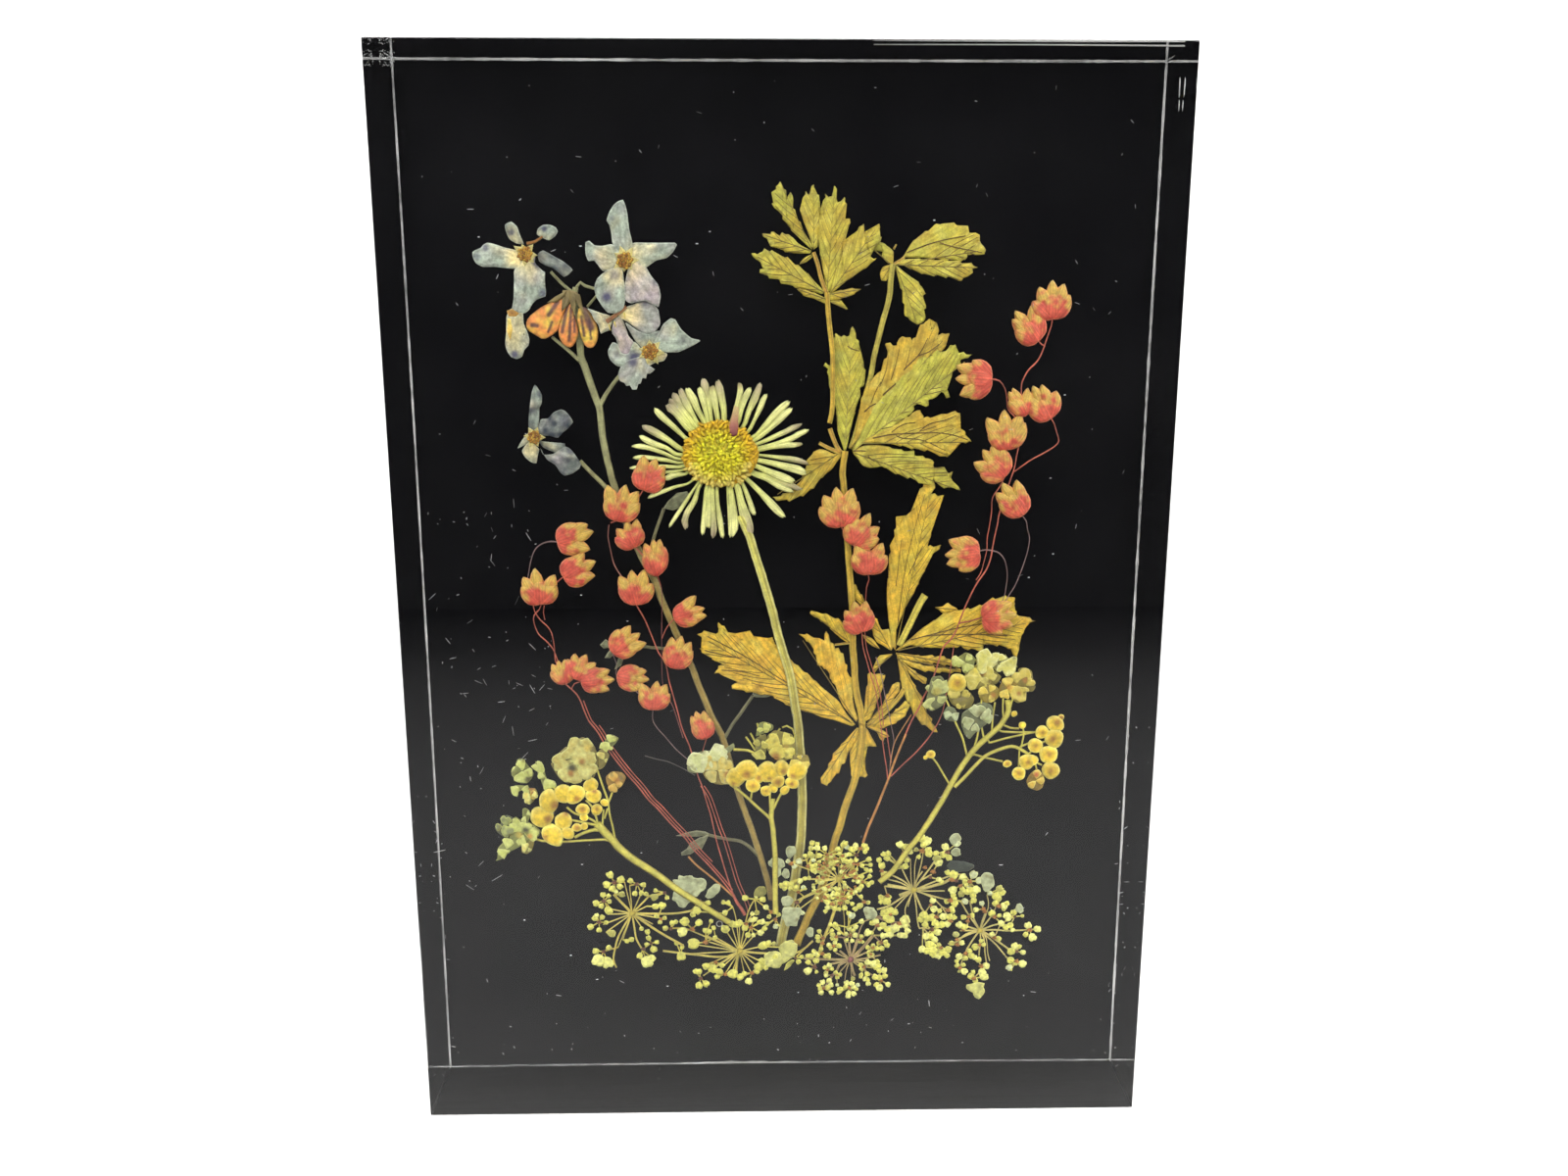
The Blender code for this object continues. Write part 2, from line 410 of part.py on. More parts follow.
# Each spikelet: (base, tip, width)
RIGHT_SPIKELETS = [
    ((44.8, 140.2), (45.6, 146.5), 6.0), ((42.9, 136.6), (40.2, 142.1), 5.0),
    ((35.3, 130.4), (28.7, 130.8), 6.0), ((45.3, 124.0), (43.2, 129.7), 5.4),
    ((40.6, 123.8), (39.4, 129.3), 3.2), ((39.0, 118.6), (36.4, 125.5), 6.2),
    ((38.4, 113.9), (35.0, 119.0), 6.0), ((41.2, 107.3), (38.3, 113.3), 5.6),
    ((34.3, 101.2), (27.6, 101.2), 6.4), ((33.6, 89.0), (40.3, 91.6), 5.6),
]
RIGHT_STALKS = [
    [(44.8, 140.6), (43.3, 134.8), (40.4, 130.5), (40.4, 122), (38.8, 113.5), (36.9, 106), (35.2, 98),
     (31.6, 91), (28.3, 84.5), (24.8, 75), (20.6, 65), (18, 57.5), (14.6, 48)],
    [(42.9, 137), (43.9, 135.8)],
    [(35, 130.4), (37.3, 129), (38, 125.5), (40.6, 123.0)],
    [(45.2, 124.4), (46.7, 120.6), (42.3, 117), (38.6, 113.8)],
    [(39, 119), (40.2, 118.4)],
    [(41, 107.8), (42.3, 102), (39.3, 93.5), (36, 89.9)],
    [(33.8, 101.2), (36.8, 101.2), (38.9, 97), (38.5, 93)],
    [(33.9, 89.3), (30.6, 88.8)],
]
MIDDLE_SPIKELETS = [
    ((10.0, 105.3), (9.8, 112.6), 6.6), ((12.2, 102.0), (15.6, 106.9), 5.8),
    ((14.9, 97.0), (15.0, 103.6), 5.8), ((14.1, 86.9), (12.4, 92.6), 5.2),
]
MIDDLE_STALKS = [
    [(10.0, 106), (12.2, 102.4), (14.4, 98.0), (15.0, 91), (16.6, 84), (18.3, 74.5), (19.1, 67.5)],
    [(14.0, 87.4), (14.9, 81.5), (16.4, 76.5), (17.4, 70), (18.8, 66.9)],
]
LEFT_INNER_SPIKELETS = [
    ((-23.8, 111.6), (-20.8, 117.0), 5.4), ((-28.2, 106.5), (-25.2, 112.9), 5.4),
    ((-25.2, 101.9), (-27.4, 106.9), 4.6), ((-21.4, 97.0), (-22.4, 104.0), 3.2),
    ((-25.2, 92.0), (-25.0, 98.5), 5.2), ((-19.0, 89.4), (-13.2, 91.6), 4.6),
    ((-29.5, 83.3), (-24.2, 87.4), 4.2), ((-29.1, 79.4), (-23.4, 77.2), 4.0),
    ((-20.0, 80.3), (-16.6, 86.4), 4.6), ((-22.7, 73.0), (-22.2, 78.8), 5.2),
    ((-13.3, 67.8), (-15.2, 73.4), 4.0),
]
LEFT_INNER_STALKS = [
    [(-23.6, 112), (-24.8, 105), (-24.6, 99), (-21.4, 95.6)],
    [(-25.2, 102.3), (-24.5, 99.5)],
    [(-21.4, 97.4), (-20.8, 90), (-21, 81), (-19.1, 73.5), (-17.5, 68.8)],
    [(-18.7, 89.6), (-21, 89)],
    [(-28, 106.9), (-29.4, 102), (-27.4, 96.8), (-25.2, 92.1)],
    [(-25.2, 92.4), (-23, 87.5), (-20.1, 80.5), (-17.8, 70.3), (-15, 61), (-11.8, 48.5), (-8.8, 38)],
    [(-29.4, 83.7), (-29.1, 79.2)],
    [(-29.4, 83.4), (-25, 84.3), (-21.6, 84.3)],
    [(-22.7, 73.4), (-22, 69.8), (-16, 63.8)],
    [(-13.3, 68.1), (-13.6, 62), (-12.3, 54), (-9.8, 46), (-7.5, 38.5), (-6.3, 34.5)],
    [(-6.2, 34.4), (-8.9, 38.2)],
]
LEFT_OUTER_SPIKELETS = [
    ((-38.6, 103.2), (-32.4, 104.4), 5.6), ((-37.7, 96.8), (-32.0, 99.0), 5.0),
    ((-41.5, 92.1), (-41.2, 98.4), 6.0), ((-37.9, 77.8), (-38.6, 82.3), 3.6),
    ((-36.3, 78.7), (-34.0, 83.4), 4.2), ((-35.3, 78.2), (-29.7, 79.6), 4.2),
]
LEFT_OUTER_STALKS = [
    [(-38.2, 103.2), (-41, 102.8), (-43, 99.8), (-43.6, 94.6), (-41.5, 91.9)],
    [(-37.5, 97), (-41.4, 92.4)],
    [(-41.5, 92.4), (-42.9, 89), (-39.6, 84), (-38.4, 80), (-37.9, 77.5)],
    [(-35.8, 79), (-37.6, 77)],
    [(-35.0, 78.4), (-37.4, 77.4)],
    [(-37.9, 78), (-35.3, 74.8), (-33.1, 70), (-27.3, 61), (-20, 52), (-13.5, 44.2), (-10.2, 39.9)],
]


def spikelet(base, tip, width):
    """Overlapping scales: a heart-shaped body whose far edge ends in three points."""
    (x0, z0), (x1, z1) = base, tip
    ux, uz = x1 - x0, z1 - z0
    length = math.hypot(ux, uz)
    shape = [(0, 0), (0.4, 0.5), (0.9, 0.42), (0.74, 0.17), (1, 0.02), (0.74, -0.17), (0.9, -0.42),
             (0.4, -0.5)]
    return [(x0 + ux * s - uz / length * t * width, z0 + uz * s + ux / length * t * width)
            for s, t in shape]


def quaking_grass():
    red = surface("quaking_grass", (0.68, 0.20, 0.10), 0.65)
    sprays = {
        "grass_right": (RIGHT_SPIKELETS, RIGHT_STALKS),
        "grass_middle": (MIDDLE_SPIKELETS, MIDDLE_STALKS),
        "grass_left_inner": (LEFT_INNER_SPIKELETS, LEFT_INNER_STALKS),
        "grass_left_outer": (LEFT_OUTER_SPIKELETS, LEFT_OUTER_STALKS),
    }
    for name, (spikelets, stalks) in sprays.items():
        threads = [ribbon(route, 0.4, 0.5) for route in stalks]
        pressed(name, threads + [spikelet(*one) for one in spikelets], GRASS_BAND, red)


# ---------------------------------------------------------------- the yellow bud clusters

# Round buds: (x, z, radius)
LEFT_BUDS = [
    (-41.4, 56.8, 2.0), (-42.6, 54, 1.9), (-38.8, 57.8, 1.7), (-36.3, 57.8, 1.9), (-33.6, 58.6, 1.7),
    (-39.2, 53.4, 1.7), (-40.8, 50.5, 1.9), (-38.0, 51.0, 1.3), (-35.6, 55, 1.6), (-36.4, 52.2, 1.5),
    (-31.9, 56.4, 1.2), (-37.6, 55.4, 1.3),
]
LEFT_PETALS = [
    [(-31, 55.5), (-31.3, 61.2), (-30, 62.2), (-27.6, 61.1), (-29.8, 57.8)],
    [(-40.7, 63.8), (-38, 66.8), (-35, 68.6), (-32.9, 66.8), (-31.2, 63.2), (-32.6, 58.6), (-37, 58.2)],
    [(-33.6, 65.5), (-30.4, 69), (-28.7, 68.4), (-31.5, 63.8)],
    [(-39, 57.4), (-42, 59), (-45, 59.7), (-47.7, 62), (-46.2, 64.8), (-43.8, 62.2), (-42.2, 64.2),
     (-38.4, 60)],
    [(-47.9, 58.7), (-44.6, 60), (-42.4, 58.4), (-44.4, 56.4)],
    [(-40, 49.4), (-44.3, 49), (-48.3, 48.6), (-50.8, 46.6), (-50.9, 50), (-48.8, 54.2), (-45.4, 55.6),
     (-42, 51.6)],
]
LEFT_CLUSTER_STEMS = [
    ([(-9.6, 33.4), (-14, 36.4), (-22, 42.4), (-29, 47.8), (-33.2, 52.8), (-34.2, 56)], 1.1),
    ([(-32.8, 52.4), (-31, 55.2), (-31, 58)], 0.5),
]
MIDDLE_BUDS = [
    (-8.4, 61, 1.8), (-6.3, 62.1, 2.0), (-4.9, 59.8, 1.6), (-2.6, 61.6, 1.8), (-0.8, 60.1, 1.4),
    (-2.5, 58.6, 1.2), (1.7, 60.3, 1.5), (2.5, 62.2, 1.8), (0.5, 58.9, 1.0),
]
MIDDLE_PETALS = [
    [(-4.9, 62), (-4.8, 68), (-4, 71), (-1.6, 70.6), (1.7, 68.8), (2.3, 66), (4.4, 65), (4.6, 62.6),
     (-1, 61)],
    [(-7.4, 61), (-9.5, 65.2), (-8.6, 67.3), (-14, 65.9), (-16.8, 63), (-15.3, 61.8), (-12, 59.8),
     (-8.8, 59.8)],
]
MIDDLE_CLUSTER_STEMS = [
    ([(-1.2, 35), (-1.3, 42), (-1.5, 49), (-2, 53.5), (-2.2, 59)], 1.05),
    ([(-2, 53), (-6.5, 57.5), (-8.5, 60)], 0.5),
    ([(-1.8, 54), (0.5, 59)], 0.5),
]
RIGHT_BUDS = [
    (41.9, 61.8, 1.2), (45.8, 69.1, 1.2), (47.9, 67.9, 1.5), (44.7, 66.6, 1.4), (47.1, 65, 1.5),
    (43.3, 64.2, 1.5), (47.4, 62.2, 1.5), (48, 70.6, 1.4), (26.2, 65, 0.9), (45.5, 63.3, 1.0),
]
RIGHT_PETALS = [
    [(46.6, 62), (43.4, 61), (43.8, 58.8), (45.3, 58.2), (46.6, 60)],
    [(29.3, 82.2), (31.8, 83.6), (33.8, 82.9), (37.1, 83.6), (41, 80.9), (37.3, 79), (33.5, 78), (31.2, 80)],
    [(31.6, 81), (38.6, 80), (37, 76), (31.4, 76)],
    [(25, 74.3), (25.8, 78.2), (27.6, 79.4), (30.6, 79.8), (32.4, 78.6), (31.8, 75), (28.6, 73.6)],
    [(28.2, 72.5), (30.3, 71.1), (33, 67.9), (36, 70.8), (37, 74), (33, 77), (29, 75)],
    [(34.4, 78), (34.5, 75), (38, 74.6), (40.6, 75), (40.6, 79.6), (36, 79)],
    [(38.6, 75.2), (41.5, 74.4), (44.3, 77), (43.5, 80.2), (41.2, 80.5), (39, 79)],
]
RIGHT_CLUSTER_STEMS = [
    ([(17.5, 41), (22.8, 47.5), (27.8, 55.3), (32.5, 64), (36.8, 68.8), (39.2, 71.8), (39.6, 76)], 1.2),
    ([(30.6, 59.4), (36, 64.8), (40.5, 66.5), (44.7, 65)], 0.6),
    ([(34, 66.3), (34.9, 76)], 0.5),
    ([(37.8, 69.2), (45.8, 69.2)], 0.45),
    ([(29.9, 58.7), (27.3, 63.5), (26.2, 65)], 0.45),
    ([(41, 66.4), (41.9, 61.8)], 0.45),
    ([(44.4, 66.4), (47.9, 68.2)], 0.45),
    ([(43.2, 64.6), (47.4, 62.2)], 0.45),
    ([(47.8, 67.5), (48, 70.6)], 0.45),
    ([(44.2, 65.8), (47.1, 65)], 0.45),
]


def bud_clusters():
    yellow = surface("yellow_bud", (0.72, 0.58, 0.16), 0.7)
    clusters = {
        "bud_cluster_left": (LEFT_BUDS, LEFT_PETALS, LEFT_CLUSTER_STEMS),
        "bud_cluster_middle": (MIDDLE_BUDS, MIDDLE_PETALS, MIDDLE_CLUSTER_STEMS),
        "bud_cluster_right": (RIGHT_BUDS, RIGHT_PETALS, RIGHT_CLUSTER_STEMS),
    }
    for name, (buds, petals, stems) in clusters.items():
        rounds = [oval(x, z, radius) for x, z, radius in buds]
        stalks = [ribbon(route, width) for route, width in stems]
        pressed(name, petals + rounds + stalks, CLUSTER_BAND, yellow)


# ---------------------------------------------------------------- the lace umbels

# Each umbel: centre, depth band and the groups of small florets at its rays' ends, (x, z, radius)
UMBELS = {
    "umbel_far_left": ((-27.2, 35.1), UMBEL_FRONT_BAND, [
        (-30.2, 41.2, 1.6), (-26, 40.4, 1.7), (-32.4, 37.2, 1.7), (-33.3, 33.2, 1.7), (-32.6, 26.2, 2.2),
        (-28, 29.9, 1.0), (-24.4, 30.6, 1.6), (-24.8, 26.3, 1.8), (-22, 34, 1.3), (-22.3, 37.4, 1.7),
        (-16.8, 39.6, 2.7), (-12.6, 39.3, 1.5), (-15.2, 36.2, 1.4),
    ]),
    "umbel_left": ((-7.8, 27.3), UMBEL_BACK_BAND, [
        (-20.1, 32, 1.3), (-17.6, 32.2, 1.8), (-14.2, 32.4, 1.5), (-16.3, 28.8, 1.7), (-18.6, 26.7, 1.5),
        (-13, 24, 1.9), (-15, 21.6, 1.4), (-11, 22.8, 1.4), (-6.8, 22, 1.7), (-3.8, 24.4, 1.4),
        (-1.4, 25.8, 2.2), (1.2, 27.4, 2.1), (1.6, 24.6, 1.2), (-3.6, 31.4, 1.9), (-6.4, 32.6, 1.8),
        (-9.6, 32.2, 1.8), (-1.9, 34.6, 1.5), (-9.4, 36.6, 1.5), (-4.2, 38.6, 1.4),
    ]),
    "umbel_middle": ((9.6, 41.4), UMBEL_FRONT_BAND, [
        (5.4, 47.8, 1.7), (5.4, 44.6, 1.8), (8.4, 46.4, 1.6), (11.2, 47.2, 1.7), (14.2, 46.8, 1.9),
        (13.6, 44, 1.7), (14.8, 40.4, 1.6), (14.4, 37.2, 1.8), (15, 34.6, 1.9), (11.8, 35.4, 1.6),
        (8.4, 36.4, 2.0), (3.4, 40.6, 1.4), (1, 40, 1.5), (1.6, 46.6, 1.4), (-0.9, 44, 1.8),
        (0.8, 37.3, 1.4), (1.6, 34.4, 2.1), (9.4, 32, 1.3), (7.2, 29.4, 1.3), (5.2, 31.2, 1.0),
    ]),
    "umbel_low": ((12.5, 25.4), UMBEL_BACK_BAND, [
        (9.5, 28.6, 1.7), (12.4, 30.4, 1.7), (14.3, 29.4, 0.9), (17, 28, 1.6), (18.5, 29.8, 1.2),
        (6, 26.6, 1.5), (5.4, 24, 1.5), (8.8, 23, 1.6), (7.8, 20, 1.8), (10, 19.4, 1.1),
        (12.4, 19.8, 2.0), (15.4, 24, 1.6), (18, 23.8, 1.5), (15.5, 21.4, 1.4), (18, 21, 1.9),
        (19.6, 34.2, 1.7), (17.6, 32.4, 1.5), (21.3, 31.8, 2.2),
    ]),
    "umbel_right": ((23.8, 39.2), UMBEL_FRONT_BAND, [
        (21.8, 47, 1.7), (18.4, 44.8, 1.7), (18.8, 41.8, 1.5), (22, 44, 1.3), (25.6, 47.6, 2.1),
        (27.6, 44.6, 1.6), (26.8, 42.4, 1.3), (30.6, 47.4, 2.3), (31, 41.6, 1.8), (34.2, 41.2, 1.5),
        (37, 40.6, 1.9), (34.4, 38.4, 2.0), (30.6, 37.6, 2.1), (27.4, 36, 1.6), (26, 33.6, 1.7),
        (29.6, 33.6, 2.2), (27.6, 30.8, 1.7), (26.8, 27.9, 1.9), (29.4, 27, 1.8), (18.6, 37.6, 1.6),
    ]),
    "umbel_far_right": ((36.1, 31.0), UMBEL_BACK_BAND, [
        (33.2, 32.8, 1.9), (31.8, 29.8, 1.2), (32, 28.3, 1.2), (36.1, 35.6, 1.5), (39, 37.6, 2.3),
        (39.2, 34.4, 1.6), (42.4, 34.2, 2.1), (41, 31.6, 1.5), (45.3, 30.9, 2.2), (39, 29.7, 1.2),
        (42.9, 27, 1.7), (43, 24.6, 1.9), (36, 28.2, 1.3), (33.8, 26, 1.7), (32.8, 23.8, 1.6),
        (36.8, 24, 1.9), (35.4, 21.8, 1.4), (36, 19.3, 1.9),
    ]),
}
UMBEL_STUBS = {
    "umbel_left": ([(-21.8, 27.5), (-12, 26.2), (-8, 26.8)], 0.7),
}


def lace_umbels():
    cream = surface("lace_floret", (0.74, 0.70, 0.30), 0.7)
    for name, (centre, band, florets) in UMBELS.items():
        rays = [ray(centre, (x, z), 0.9) for x, z, _ in florets]
        if name in UMBEL_STUBS:
            rays.append(ribbon(*UMBEL_STUBS[name]))
        heads = [oval(x, z, radius, corners=5, turn=x + z) for x, z, radius in florets]
        pressed(name, [oval(*centre, 1.5)] + rays + heads, band, cream)


def main():
    clear_scene()
    block()
    daisy()
    lobed_leaves()
    blue_plant()
    quaking_grass()
    bud_clusters()
    lace_umbels()


main()
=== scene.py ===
"""Pressed garden flowers sealed in a clear cast block with a black sheet glued on its back.

Lengths are in millimetres up to the call that makes each mesh, which turns them into metres. Places of
the plants are (x, z) points on their own plane: x from the middle of the block, z up from its foot.
"""

import math
import random

import bmesh
import bpy
import numpy as np
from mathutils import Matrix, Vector, noise


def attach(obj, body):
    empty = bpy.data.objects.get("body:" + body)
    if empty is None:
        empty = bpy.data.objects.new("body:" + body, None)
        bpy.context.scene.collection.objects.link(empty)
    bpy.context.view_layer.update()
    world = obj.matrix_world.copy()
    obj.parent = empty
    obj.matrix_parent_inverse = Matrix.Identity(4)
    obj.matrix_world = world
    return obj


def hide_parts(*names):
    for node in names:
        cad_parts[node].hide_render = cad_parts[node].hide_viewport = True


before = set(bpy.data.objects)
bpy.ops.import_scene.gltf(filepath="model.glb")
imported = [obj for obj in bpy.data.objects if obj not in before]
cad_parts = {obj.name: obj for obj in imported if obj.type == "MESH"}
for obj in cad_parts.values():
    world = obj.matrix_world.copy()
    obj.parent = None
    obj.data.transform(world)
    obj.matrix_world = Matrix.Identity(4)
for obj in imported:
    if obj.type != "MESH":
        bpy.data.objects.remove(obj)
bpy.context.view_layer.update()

MM = 0.001

# ================================================================ the studio
# A white table with a pale felt backdrop just behind the block, lit by one broad soft dome from
# above. The table is painted darker and darker towards its front edge, as painted shade, and ends in front of
# the block; its upper face mirrors the dark room.

TABLE_FRONT = -424.0
BACKDROP_AT = 28.0


class Paint:
    """A node's output, so that a finish is written as arithmetic."""

    def __init__(self, tree, socket=None):
        self.tree, self.socket = tree, socket

    def node(self, kind, sockets=None, out=0, stops=None, **settings):
        made = self.tree.nodes.new("ShaderNode" + kind)
        for name, value in settings.items():
            setattr(made, name, value)
        if stops:
            ramp = made.color_ramp
            while len(ramp.elements) < len(stops):
                ramp.elements.new(0.5)
            for element, (place, colour) in zip(ramp.elements, stops):
                element.position, element.color = place, (*colour, 1.0)
        for name, value in (sockets or {}).items():
            if isinstance(value, Paint):
                self.tree.links.new(value.socket, made.inputs[name])
            else:
                made.inputs[name].default_value = value
        return Paint(self.tree, made.outputs[out])

    def combine(self, operation, other):
        return self.node("Math", {0: self, 1: other}, operation=operation)

    def __add__(self, other):
        return self.combine("ADD", other)

    __radd__ = __add__

    def __mul__(self, other):
        return self.combine("MULTIPLY", other)

    __rmul__ = __mul__

    def __gt__(self, other):
        return self.combine("GREATER_THAN", other)

    def times(self, value):
        """A colour or vector made stronger or weaker by a value."""
        return self.node("VectorMath", {0: self, "Scale": value}, operation="SCALE")

    def blend(self, other, share, kind):
        """A colour laid over with another by a share from 0 to 1, in a kind of blending."""
        return self.node("Mix", {0: share, 6: self, 7: other}, out=2, data_type="RGBA", blend_type=kind)

    def ramp(self, low, high, first=0.0, last=1.0):
        return self.node("MapRange", {0: self, 1: low, 2: high, 3: first, 4: last})


def new_finish(name):
    """A fresh material: its shader, and a pen that adds nodes to it."""
    material = bpy.data.materials.new(name)
    material.use_nodes = True
    return material, material.node_tree.nodes["Principled BSDF"], Paint(material.node_tree)


def join(shader, socket, value):
    """Feeds a node's output into a socket of the shader."""
    shader.id_data.links.new(value.socket, shader.inputs[socket])


def place(name, bm, material):
    """Turns a bmesh in millimetres into an object in metres, at the origin."""
    bmesh.ops.scale(bm, verts=bm.verts, vec=(MM, MM, MM))
    mesh = bpy.data.meshes.new(name)
    bm.to_mesh(mesh)
    bm.free()
    mesh.materials.append(material)
    obj = bpy.data.objects.new(name, mesh)
    bpy.context.scene.collection.objects.link(obj)
    return obj


def box(low, high):
    """A box from its lowest corner to its highest."""
    bm = bmesh.new()
    bmesh.ops.create_cube(bm, size=1.0)
    bmesh.ops.translate(bm, verts=bm.verts, vec=(0.5, 0.5, 0.5))
    bmesh.ops.scale(bm, verts=bm.verts, vec=[b - a for a, b in zip(low, high)])
    bmesh.ops.translate(bm, verts=bm.verts, vec=low)
    return bm


table_finish, shader, pen = new_finish("white_table")
spot = pen.node("TexCoord", out="Object")
cloud = pen.node("TexNoise", {"Vector": spot, "Scale": 9.0, "Detail": 3.0})
cloth = pen.node("ValToRGB", {0: cloud}, stops=[(0.3, (0.90, 0.90, 0.91)), (0.7, (0.94, 0.94, 0.94))])
ahead = pen.node("SeparateXYZ", {0: spot}, out="Y").ramp(TABLE_FRONT * MM, 0.0)
# Painted shade: the table's colour is multiplied down to black at its front edge.
table_painted_shade = pen.node("ValToRGB", {0: ahead}, stops=[(place, (v, v, v)) for place, v in [
    (0.0, 0.0), (0.17, 0.06), (0.33, 0.17), (0.53, 0.28), (0.72, 0.36), (0.87, 0.38), (0.94, 0.5),
    (0.965, 0.72)]])
join(shader, "Base Color", cloth.blend(table_painted_shade, 1.0, "MULTIPLY"))
shader.inputs["Roughness"].default_value = 0.75
shader.inputs["Specular IOR Level"].default_value = 0.0
table = place("table", box((-700, TABLE_FRONT, -20), (700, 900, 0)), table_finish)

felt_finish, shader, pen = new_finish("pale_felt")
spot = pen.node("TexCoord", out="Object")
broad = pen.node("TexNoise", {"Vector": spot, "Scale": 16.0, "Detail": 5.0, "Roughness": 0.6})
fibre = pen.node("TexNoise", {"Vector": spot, "Scale": 380.0, "Detail": 3.0})
join(shader, "Base Color", pen.node("ValToRGB", {0: broad * 0.7 + fibre * 0.3},
                                    stops=[(0.35, (0.80, 0.80, 0.82)), (0.65, (0.90, 0.90, 0.90))]))
join(shader, "Normal", pen.node("Bump", {"Strength": 0.25, "Distance": 0.0006, "Height": fibre + broad}))
shader.inputs["Roughness"].default_value = 0.95
backdrop = place("backdrop", box((-700, BACKDROP_AT, 0), (700, BACKDROP_AT + 6, 620)), felt_finish)

world = bpy.data.worlds.new("soft_dome")
bpy.context.scene.world = world
world.use_nodes = True
pen = Paint(world.node_tree)
way = pen.node("TexCoord", out="Generated")
upward = pen.node("SeparateXYZ", {0: way}, out="Z")
frontal = pen.node("SeparateXYZ", {0: way}, out="Y").ramp(0.3, -0.5, 0.55, 1.0)
dome = upward.ramp(0.22, 0.38, 0.0, 1.0) * upward.ramp(0.5, 1.0, 1.0, 0.4) * frontal * 7.0 + 0.05
sky = world.node_tree.nodes["Background"]
sky.inputs["Color"].default_value = (1.0, 0.99, 0.97, 1.0)
world.node_tree.links.new(dome.socket, sky.inputs["Strength"])

bpy.context.scene.view_settings.view_transform = "Standard"
lens = bpy.data.cameras.new("camera")
lens.lens, lens.sensor_width, lens.clip_start = 29.03, 36.0, 0.01
camera = bpy.data.objects.new("camera", lens)
camera.location = (-3.66 * MM, -217.95 * MM, 140.08 * MM)
camera.rotation_euler = (math.radians(90 - 11.958), 0, math.radians(-1.07))
bpy.context.scene.collection.objects.link(camera)
bpy.context.scene.camera = camera

# ================================================================ the clear block
# One block of clear cast acrylic with the plants sealed inside, its faces polished flat and its
# edges lightly broken. It stands for both halves, which meet at the plane of the flowers.

HALF_WIDTH, TALL = 63.5, 181.8
FRONT, CLEAR_BACK, SHEET_FRONT, BACK = -13.8, 11.6, 11.9, 13.8
GLUE_CONTACT = 0.06     # the clear block reaches this far into the glued face of the sheet
BROKEN_EDGE = 0.22

clear_finish, shader, pen = new_finish("clear_acrylic")
shader.inputs["Base Color"].default_value = (0.985, 0.99, 0.99, 1.0)
shader.inputs["Roughness"].default_value = 0.0
shader.inputs["IOR"].default_value = 1.49
shader.inputs["Transmission Weight"].default_value = 1.0


def broken_edges(bm, width):
    """Every edge of a box rounded off by this much."""
    bmesh.ops.bevel(bm, geom=bm.edges[:], offset=width, segments=2, profile=0.5, affect="EDGES", material=-1)
    return bm


clear = box((-HALF_WIDTH, FRONT, 0), (HALF_WIDTH, SHEET_FRONT + GLUE_CONTACT, TALL))
clear_block = place("clear_block", broken_edges(clear, BROKEN_EDGE), clear_finish)
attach(clear_block, "root")
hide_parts("clear_block_front", "clear_block_back")

# ================================================================ the black sheet
# A smooth black plastic sheet of the block's own width and height, glued flat on its back. It is
# glossy where it meets the air and has no gloss where the glue wets it.

GLUED_TO = 12.15        # the side that touches the glue ends here, and the glossy one starts

sheet_finish, shader, pen = new_finish("black_sheet")
spot = pen.node("TexCoord", out="Object")
haze = pen.node("TexNoise", {"Vector": spot, "Scale": 40.0, "Detail": 3.0})
join(shader, "Base Color", pen.node("ValToRGB", {0: haze},
                                    stops=[(0.3, (0.004, 0.004, 0.005)), (0.75, (0.008, 0.008, 0.009))]))
join(shader, "Coat Weight", pen.node("SeparateXYZ", {0: spot}, out="Y") > GLUED_TO * MM)
shader.inputs["Coat Roughness"].default_value = 0.2
shader.inputs["Specular IOR Level"].default_value = 0.0
sheet = box((-HALF_WIDTH, SHEET_FRONT, 0), (HALF_WIDTH, BACK, TALL))
black_sheet = place("black_sheet", broken_edges(sheet, 0.25), sheet_finish)
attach(black_sheet, "root")
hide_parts("black_backing")

# ================================================================ the glued seam, painted pale
# A thin thread along the rim of the clear block where the sheet is glued on, whitish as a painted
# highlight for the light that the seam catches. The polished walls mirror it, so it seems to run on past the
# corners.

glue_and_highlight_finish, shader, pen = new_finish("glue_seam_painted_highlight")
spot = pen.node("TexCoord", out="Object")
patchy = pen.node("TexNoise", {"Vector": spot, "Scale": 55.0, "Detail": 6.0, "Roughness": 0.75})
# Whitish in patches: a painted highlight for the light that the glued seam catches.
join(shader, "Base Color", pen.node("ValToRGB", {0: patchy}, stops=[
    (0.34, (0.10, 0.10, 0.10)), (0.48, (0.42, 0.42, 0.42)), (0.7, (0.85, 0.85, 0.84))]))
shader.inputs["Roughness"].default_value = 0.6
GLUE_STEP = 0.8


def glue_run(points, widths):
    """A flat pale thread along the glued seam against a wall, its inner side wandering: points along, width
    at each.
    """
    bm = bmesh.new()
    bmesh.ops.create_grid(bm, x_segments=1, y_segments=len(points) - 1, size=0.5)
    rows = sorted({round(v.co.y, 6) for v in bm.verts})
    for vert in bm.verts:
        row = rows.index(round(vert.co.y, 6))
        (x, z), (inward_x, inward_z) = points[row]
        inner = widths[row] if vert.co.x > 0 else 0.0
        vert.co = (x + inward_x * inner, 0.0, z + inward_z * inner)
    return bm


def wall_points(start, end, inward):
    """Places along a wall from start to end, each with the way inwards."""
    count = max(2, int(math.dist(start, end) / GLUE_STEP))
    return [((start[0] + (end[0] - start[0]) * i / count, start[1] + (end[1] - start[1]) * i / count),
             inward) for i in range(count + 1)]


glue = bmesh.new()
RIM = 0.03
SIDE, TOP = HALF_WIDTH - RIM, TALL - RIM
corners = [(-SIDE, RIM), (-SIDE, TOP), (SIDE, TOP), (SIDE, RIM), (-SIDE, RIM)]
